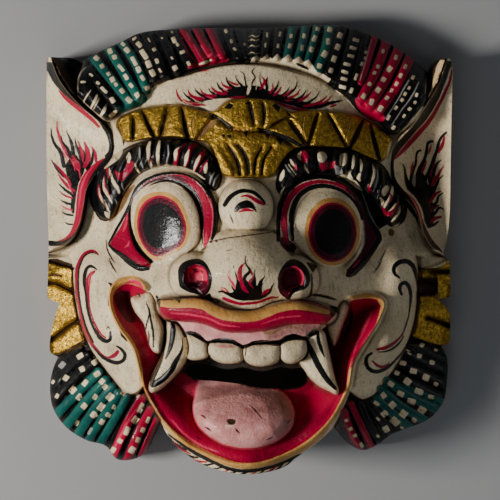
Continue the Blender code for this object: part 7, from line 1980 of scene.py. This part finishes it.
    # one flat layout for the maps: face, walls and back side by side
    uv = mesh.uv_layers.new(name="OFBake")
    flat_uv = np.zeros((len(points), 2))
    flat_uv[:, 0], flat_uv[:, 1] = (points[:, 0] + 104) / 208, (points[:, 1] + 113) / 226
    face = np.stack([0.004 + flat_uv[:, 0] * 0.74, 0.004 + flat_uv[:, 1] * 0.80], 1)
    rear = np.stack([0.752 + flat_uv[:, 0] * 0.244, 0.004 + flat_uv[:, 1] * 0.265], 1)
    loop_uv = np.where((kind == 0)[:, None, None], face[tris], rear[tris])
    for code, lo_v, hi_v, count, base in ((2, 0.815, 0.995, n, 0), (3, 0.30, 0.40, m, n)):
        sel = kind == code
        v = down[tris[sel]]
        idx = tris[sel]
        pos = np.full(len(points), -1)
        if code == 2:
            pos[:n] = np.arange(n)
            pos[start[1]:start[1] + n] = np.arange(n)
            for k in range(len(rings)):
                pos[start[2 + k]:start[2 + k] + n] = np.arange(n)
        else:
            pos[n:n + m] = np.arange(m)
            pos[start[1] + n:start[1] + n + m] = np.arange(m)
            for k in range(len(inner)):
                pos[start[first + k]:start[first + k] + m] = np.arange(m)
        u = pos[idx].astype(float)
        wrap = (u.max(1) - u.min(1)) > count / 2
        u[wrap] = np.where(u[wrap] < count / 2, u[wrap] + count, u[wrap])
        lo_u, wide = (0.004, 0.992) if code == 2 else (0.756, 0.236)
        if code == 2:      # the wall lies in one strip across the map
            pass
        loop_uv[sel] = np.stack([lo_u + wide * u / count, lo_v + (hi_v - lo_v) * v], 2)
    uv.data.foreach_set("uv", loop_uv.astype(np.float32).reshape(-1))
    mesh.polygons.foreach_set("material_index", (kind == 1).astype(np.int32))
    mesh.shade_smooth()
    mesh.set_sharp_from_angle(angle=math.radians(60))
    obj = bpy.data.objects.new(name, mesh)
    bpy.context.scene.collection.objects.link(obj)
    return obj, centre


# ---------------------------------------------------------------- materials
def tone(r, g, b):
    """A colour given as it looks, 0..255."""
    f = lambda v: (v / 255) / 12.92 if v <= 10.3 else (((v / 255) + 0.055) / 1.055) ** 2.4
    return (f(r), f(g), f(b), 1.0)


class Graph:
    def __init__(self, name):
        self.material = bpy.data.materials.new(name)
        self.material.use_nodes = True
        self.tree = self.material.node_tree
        self.shader = self.tree.nodes["Principled BSDF"]
        self.coords = self.tree.nodes.new("ShaderNodeTexCoord").outputs["Object"]
        self.attrs = {}

    def give(self, socket, value):
        if isinstance(value, bpy.types.NodeSocket):
            self.tree.links.new(value, socket)
        else:
            socket.default_value = value

    def attr(self, name):
        if name not in self.attrs:
            a = self.tree.nodes.new("ShaderNodeAttribute")
            a.attribute_name = name
            self.attrs[name] = a.outputs["Fac"]
        return self.attrs[name]

    def at(self, scale=(1, 1, 1), turn=(0, 0, 0)):
        m = self.tree.nodes.new("ShaderNodeMapping")
        self.give(m.inputs["Vector"], self.coords)
        m.inputs["Scale"].default_value = scale
        m.inputs["Rotation"].default_value = turn
        return m.outputs["Vector"]

    def noise(self, scale, detail=3.0, rough=0.55, where=None, lift=0.0):
        t = self.tree.nodes.new("ShaderNodeTexNoise")
        self.give(t.inputs["Vector"], where or self.coords)
        t.inputs["Scale"].default_value = scale
        t.inputs["Detail"].default_value = detail
        t.inputs["Roughness"].default_value = rough
        t.inputs["Distortion"].default_value = lift
        return t.outputs["Fac"]

    def cells(self, scale, feature="DISTANCE_TO_EDGE", where=None, out="Distance"):
        t = self.tree.nodes.new("ShaderNodeTexVoronoi")
        t.feature = feature
        self.give(t.inputs["Vector"], where or self.coords)
        t.inputs["Scale"].default_value = scale
        return t.outputs[out]

    def span(self, value, lo, hi, to_lo=0.0, to_hi=1.0, soft=True):
        r = self.tree.nodes.new("ShaderNodeMapRange")
        r.interpolation_type = "SMOOTHSTEP" if soft else "LINEAR"
        self.give(r.inputs["Value"], value)
        r.inputs["From Min"].default_value = lo
        r.inputs["From Max"].default_value = hi
        r.inputs["To Min"].default_value = to_lo
        r.inputs["To Max"].default_value = to_hi
        return r.outputs["Result"]

    def calc(self, how, a, b=0.0, clamp=False):
        m = self.tree.nodes.new("ShaderNodeMath")
        m.operation = how
        m.use_clamp = clamp
        self.give(m.inputs[0], a)
        self.give(m.inputs[1], b)
        return m.outputs[0]

    def mix(self, t, a, b, how="MIX"):
        m = self.tree.nodes.new("ShaderNodeMix")
        m.data_type = "RGBA"
        m.blend_type = how
        self.give(m.inputs["Factor"], t)
        self.give(m.inputs["A"], a) if False else self.give(m.inputs[6], a)
        self.give(m.inputs[7], b)
        return m.outputs[2]

    def blend(self, t, a, b):
        m = self.tree.nodes.new("ShaderNodeMix")
        m.data_type = "FLOAT"
        self.give(m.inputs[0], t)
        self.give(m.inputs[2], a)
        self.give(m.inputs[3], b)
        return m.outputs[0]


def wood_colour(g, light, dark):
    """Straight pale wood, its grain running up the face."""
    grain = g.noise(1.0, 5.0, 0.65, g.at((260, 14, 120)), 0.8)
    rings = g.noise(1.0, 2.0, 0.5, g.at((60, 3.5, 34)), 0.6)
    pores = g.noise(1.0, 2.0, 0.5, g.at((1500, 90, 900)))
    c = g.mix(g.span(grain, 0.32, 0.68), light, dark)
    c = g.mix(g.calc("MULTIPLY", g.span(rings, 0.42, 0.62), 0.5), c, dark)
    c = g.mix(g.calc("MULTIPLY", g.span(pores, 0.60, 0.72), 0.55), c, tone(60, 40, 22))
    return c, grain, pores


def painted_finish():
    g = Graph("painted_wood")
    wobble = g.calc("MULTIPLY", g.calc("SUBTRACT", g.noise(1100, 3.0, 0.6), 0.56), 0.6)
    scratch = g.noise(1.0, 3.0, 0.6, g.at((500, 160, 300), (0, 0, 0.5)), 0.6)
    patchy = g.noise(95, 4.0, 0.6)
    broad = g.noise(24, 3.0, 0.55)
    speck = g.noise(1500, 2.0, 0.6)
    crease, deep, fine = g.attr("crease"), g.attr("deep"), g.attr("fine")

    # ivory ground, greyed and browned by handling, with painted shade in its creases
    ivory = g.mix(g.span(broad, 0.35, 0.65), tone(232, 213, 175), tone(211, 193, 158))
    ivory = g.mix(g.calc("MULTIPLY", g.span(patchy, 0.50, 0.72), 0.50), ivory, tone(168, 148, 114))
    streak = g.noise(1.0, 4.0, 0.62, g.at((420, 46, 120), (0, 0, 0.25)), 1.2)
    ivory = g.mix(g.calc("MULTIPLY", g.span(streak, 0.55, 0.70), 0.36), ivory, tone(150, 126, 90))
    ivory = g.mix(g.calc("MULTIPLY", g.span(scratch, 0.62, 0.70), 0.42), ivory, tone(124, 104, 78))
    ivory = g.mix(g.calc("MULTIPLY", g.span(speck, 0.60, 0.68), 0.60), ivory, tone(88, 66, 44))
    spots = g.noise(480, 3.0, 0.7)
    ivory = g.mix(g.calc("MULTIPLY", g.span(spots, 0.585, 0.665), 0.46), ivory, tone(116, 94, 66))
    # painted shade: darker in the creases, mixed with patchy grime
    crease_shade_and_grime = g.calc("MULTIPLY", g.span(g.calc("ADD", crease, g.calc("MULTIPLY", g.calc("SUBTRACT", patchy, 0.5), 1.8)),
                                     0.45, 1.9), 0.46)
    ivory = g.mix(crease_shade_and_grime, ivory, tone(112, 86, 58))
    colour, gloss, metal = ivory, g.span(patchy, 0.3, 0.7, 0.36, 0.52), 0.0

    gold_spots = g.noise(620, 3.0, 0.7)
    gold = g.mix(g.span(gold_spots, 0.36, 0.64), tone(134, 101, 34), tone(196, 158, 60))
    # painted shade: the gilding darkened in its creases
    gold = g.mix(g.span(crease, 0.10, 0.9), gold, tone(74, 50, 20))
    wood, grain, pores = wood_colour(g, tone(226, 196, 150), tone(196, 158, 108))
    paints = {
        "brown": (g.mix(g.span(patchy, 0.4, 0.6), tone(134, 100, 62), tone(104, 74, 44)), 0.62, 0.0, 1.6),
        "wood": (wood, 0.66, 0.0, 1.0),
        "gold": (gold, g.span(gold_spots, 0.35, 0.7, 0.40, 0.28), 0.84, 0.9),
        "green": (g.mix(g.span(patchy, 0.35, 0.65), tone(6, 72, 68), tone(14, 88, 78)), 0.36, 0.0, 0.9),
        "ochre": (g.mix(g.span(patchy, 0.35, 0.65), tone(208, 158, 90), tone(184, 132, 68)), 0.40, 0.0, 0.9),
        "pink": (g.mix(g.span(patchy, 0.40, 0.64), tone(222, 158, 154), tone(190, 124, 120)), 0.34, 0.0, 1.0),
        # painted shade on the tongue and gum
        "painted_shade_mauve": (g.mix(g.span(patchy, 0.36, 0.66), tone(176, 122, 118), tone(140, 92, 88)), 0.34, 0.0, 4.0),
        # crimson paint, also used for painted highlights
        "rose_and_highlight": (g.mix(g.span(patchy, 0.35, 0.65), tone(208, 58, 88), tone(192, 42, 74)), 0.34, 0.0, 1.2),
        "red": (g.mix(g.span(broad, 0.38, 0.62), tone(162, 6, 52), tone(136, 5, 42)), 0.33, 0.0, 0.9),
        "maroon": (g.mix(g.span(patchy, 0.35, 0.65), tone(84, 14, 34), tone(58, 10, 24)), 0.32, 0.0, 1.0),
        "umber": (tone(58, 38, 20), 0.6, 0.0, 1.2),
        "black": (g.mix(g.span(patchy, 0.35, 0.65), tone(8, 8, 9), tone(16, 15, 16)), 0.34, 0.0, 0.9),
        "pupil": (g.mix(g.span(patchy, 0.35, 0.65), tone(7, 7, 9), tone(14, 12, 14)), 0.50, 0.0, 0.9),
        # painted highlights and glints, and cream in shade
        "highlight_and_shade_grey": (tone(138, 136, 132), 0.4, 0.0, 1.2),
    }
    # varnish lies thick on the pupils and hardly anywhere else
    coat, coats = 0.12, {"pupil": 0.5, "gold": 0.0, "wood": 0.0, "brown": 0.0, "umber": 0.04, "red": 0.12, "maroon": 0.10, "black": 0.12, "pink": 0.20}
    for label in COLOURS:
        paint, rough, metallic, soft = paints[label]
        d = g.calc("ADD", g.attr(label), wobble)
        cover = g.span(d, 0.5 * soft, -0.5 * soft)
        colour = g.mix(cover, colour, paint)
        gloss = g.blend(cover, gloss, rough)
        metal = g.blend(cover, metal, metallic)
        coat = g.blend(cover, coat, coats.get(label, 0.15))
    # painted shade in the deepest creases, paint rubbed thin on the proudest edges
    deep_crease_shade = g.calc("MULTIPLY", g.span(crease, 0.8, 2.6), 0.45)
    colour = g.mix(deep_crease_shade, colour, tone(70, 56, 42))
    worn = g.calc("MULTIPLY", g.span(g.calc("ADD", fine, g.calc("MULTIPLY", g.calc("SUBTRACT", patchy, 0.5), 0.5)),
                                     -0.46, -0.74), 0.22)
    colour = g.mix(worn, colour, tone(150, 124, 92))
    # bare wood towards the back of the side walls
    down = g.calc("ADD", g.attr("down"), g.calc("MULTIPLY", g.calc("SUBTRACT", patchy, 0.5), 0.5))
    bare = g.span(down, 0.50, 0.62)
    side_wood, grain2, _ = wood_colour(g, tone(176, 140, 98), tone(130, 96, 62))
    colour = g.mix(bare, colour, side_wood)
    gloss = g.blend(bare, gloss, 0.62)
    metal = g.blend(bare, metal, 0.0)
    coat = g.blend(bare, coat, 0.0)

    g.give(g.shader.inputs["Base Color"], colour)
    g.give(g.shader.inputs["Roughness"], g.calc("ADD", gloss, g.span(speck, 0.3, 0.7, -0.05, 0.07), True))
    g.give(g.shader.inputs["Metallic"], metal)
    g.shader.inputs["Specular IOR Level"].default_value = 0.12
    g.give(g.shader.inputs["Coat Weight"], coat)
    g.shader.inputs["Coat Roughness"].default_value = 0.08
    # brush strokes, drips of varnish, grain showing through
    relief = g.calc("ADD", g.calc("MULTIPLY", scratch, 0.6), g.calc("MULTIPLY", g.noise(420, 4.0, 0.65), 0.9))
    relief = g.calc("ADD", relief, g.calc("MULTIPLY", g.noise(1350, 2.0, 0.6), 0.5))
    relief = g.calc("ADD", relief, g.calc("MULTIPLY", gold_spots, g.calc("MULTIPLY", metal, 1.5)))
    bump = g.tree.nodes.new("ShaderNodeBump")
    bump.inputs["Strength"].default_value = 0.85
    bump.inputs["Distance"].default_value = 0.0005
    g.give(bump.inputs["Height"], relief)
    g.give(g.shader.inputs["Normal"], bump.outputs["Normal"])
    varnish = g.tree.nodes.new("ShaderNodeBump")
    varnish.inputs["Strength"].default_value = 0.42
    varnish.inputs["Distance"].default_value = 0.0005
    g.give(varnish.inputs["Height"], g.noise(560, 4.0, 0.6))
    g.give(g.shader.inputs["Coat Normal"], varnish.outputs["Normal"])
    return g.material


def bare_wood():
    g = Graph("carved_back")
    wood, grain, pores = wood_colour(g, tone(186, 150, 106), tone(140, 104, 68))
    stain = g.noise(14, 4.0, 0.6)
    c = g.mix(g.calc("MULTIPLY", g.span(stain, 0.48, 0.70), 0.55), wood, tone(96, 70, 46))
    scuff = g.noise(70, 4.0, 0.65)
    c = g.mix(g.calc("MULTIPLY", g.span(scuff, 0.58, 0.70), 0.35), c, tone(206, 176, 136))
    g.give(g.shader.inputs["Base Color"], c)
    g.give(g.shader.inputs["Roughness"], g.span(stain, 0.3, 0.7, 0.62, 0.76))
    bump = g.tree.nodes.new("ShaderNodeBump")
    bump.inputs["Strength"].default_value = 0.6
    bump.inputs["Distance"].default_value = 0.0006
    g.give(bump.inputs["Height"], g.calc("ADD", grain, g.calc("MULTIPLY", pores, -0.5)))
    g.give(g.shader.inputs["Normal"], bump.outputs["Normal"])
    return g.material


def floor_finish():
    g = Graph("pale_floor")
    n = g.noise(3.0, 3.0, 0.5)
    g.give(g.shader.inputs["Base Color"], g.mix(n, tone(146, 147, 149), tone(154, 155, 157)))
    g.give(g.shader.inputs["Roughness"], g.span(g.noise(40, 2.0, 0.5), 0.3, 0.7, 0.55, 0.65))
    return g.material


# ---------------------------------------------------------------- stage
def make_stage():
    bpy.ops.mesh.primitive_plane_add(size=6.0, location=(0, 0, -0.0002))
    floor = bpy.context.object
    floor.name = "floor"
    floor.data.materials.append(floor_finish())


def make_light(name, place_at, aim, size, watts, colour, size_y=None):
    data = bpy.data.lights.new(name, "AREA")
    data.shape = "RECTANGLE"
    data.size = size
    data.size_y = size_y or size
    data.energy = watts
    data.color = colour
    lamp = bpy.data.objects.new(name, data)
    lamp.location = place_at
    lamp.rotation_euler = (Vector(aim) - Vector(place_at)).to_track_quat("-Z", "Y").to_euler()
    bpy.context.scene.collection.objects.link(lamp)


def make_world():
    world = bpy.data.worlds.new("studio")
    world.use_nodes = True
    world.node_tree.nodes["Background"].inputs[0].default_value = (0.86, 0.92, 1.0, 1)
    world.node_tree.nodes["Background"].inputs[1].default_value = 0.09
    bpy.context.scene.world = world


def make_camera(centre):
    data = bpy.data.cameras.new("camera")
    data.lens = 168.5
    data.sensor_width = 36.0
    data.clip_end = 20.0
    cam = bpy.data.objects.new("camera", data)
    cam.location = (-centre[0] * 0.001, -centre[1] * 0.001, EYE * 0.001)
    bpy.context.scene.collection.objects.link(cam)
    bpy.context.scene.camera = cam


def main():
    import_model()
    mask, centre = build_surface("carved_mask")
    mask.data.materials.append(painted_finish())
    mask.data.materials.append(bare_wood())
    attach(mask, "root")
    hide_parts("mask")
    make_camera(centre)
    make_stage()
    make_light("key", (-0.842, -0.136, 0.676), (0, 0, 0.03), 0.24, 15.0, (1.0, 0.965, 0.91))
    make_light("fill", (-0.3, -0.8, 1.5), (0, 0, 0.03), 1.0, 2.6, (0.90, 0.95, 1.0))
    make_light("edge", (0.95, -0.25, 0.20), (0.15, 0, 0), 0.4, 0.6, (0.94, 0.97, 1.0))
    make_world()


main()
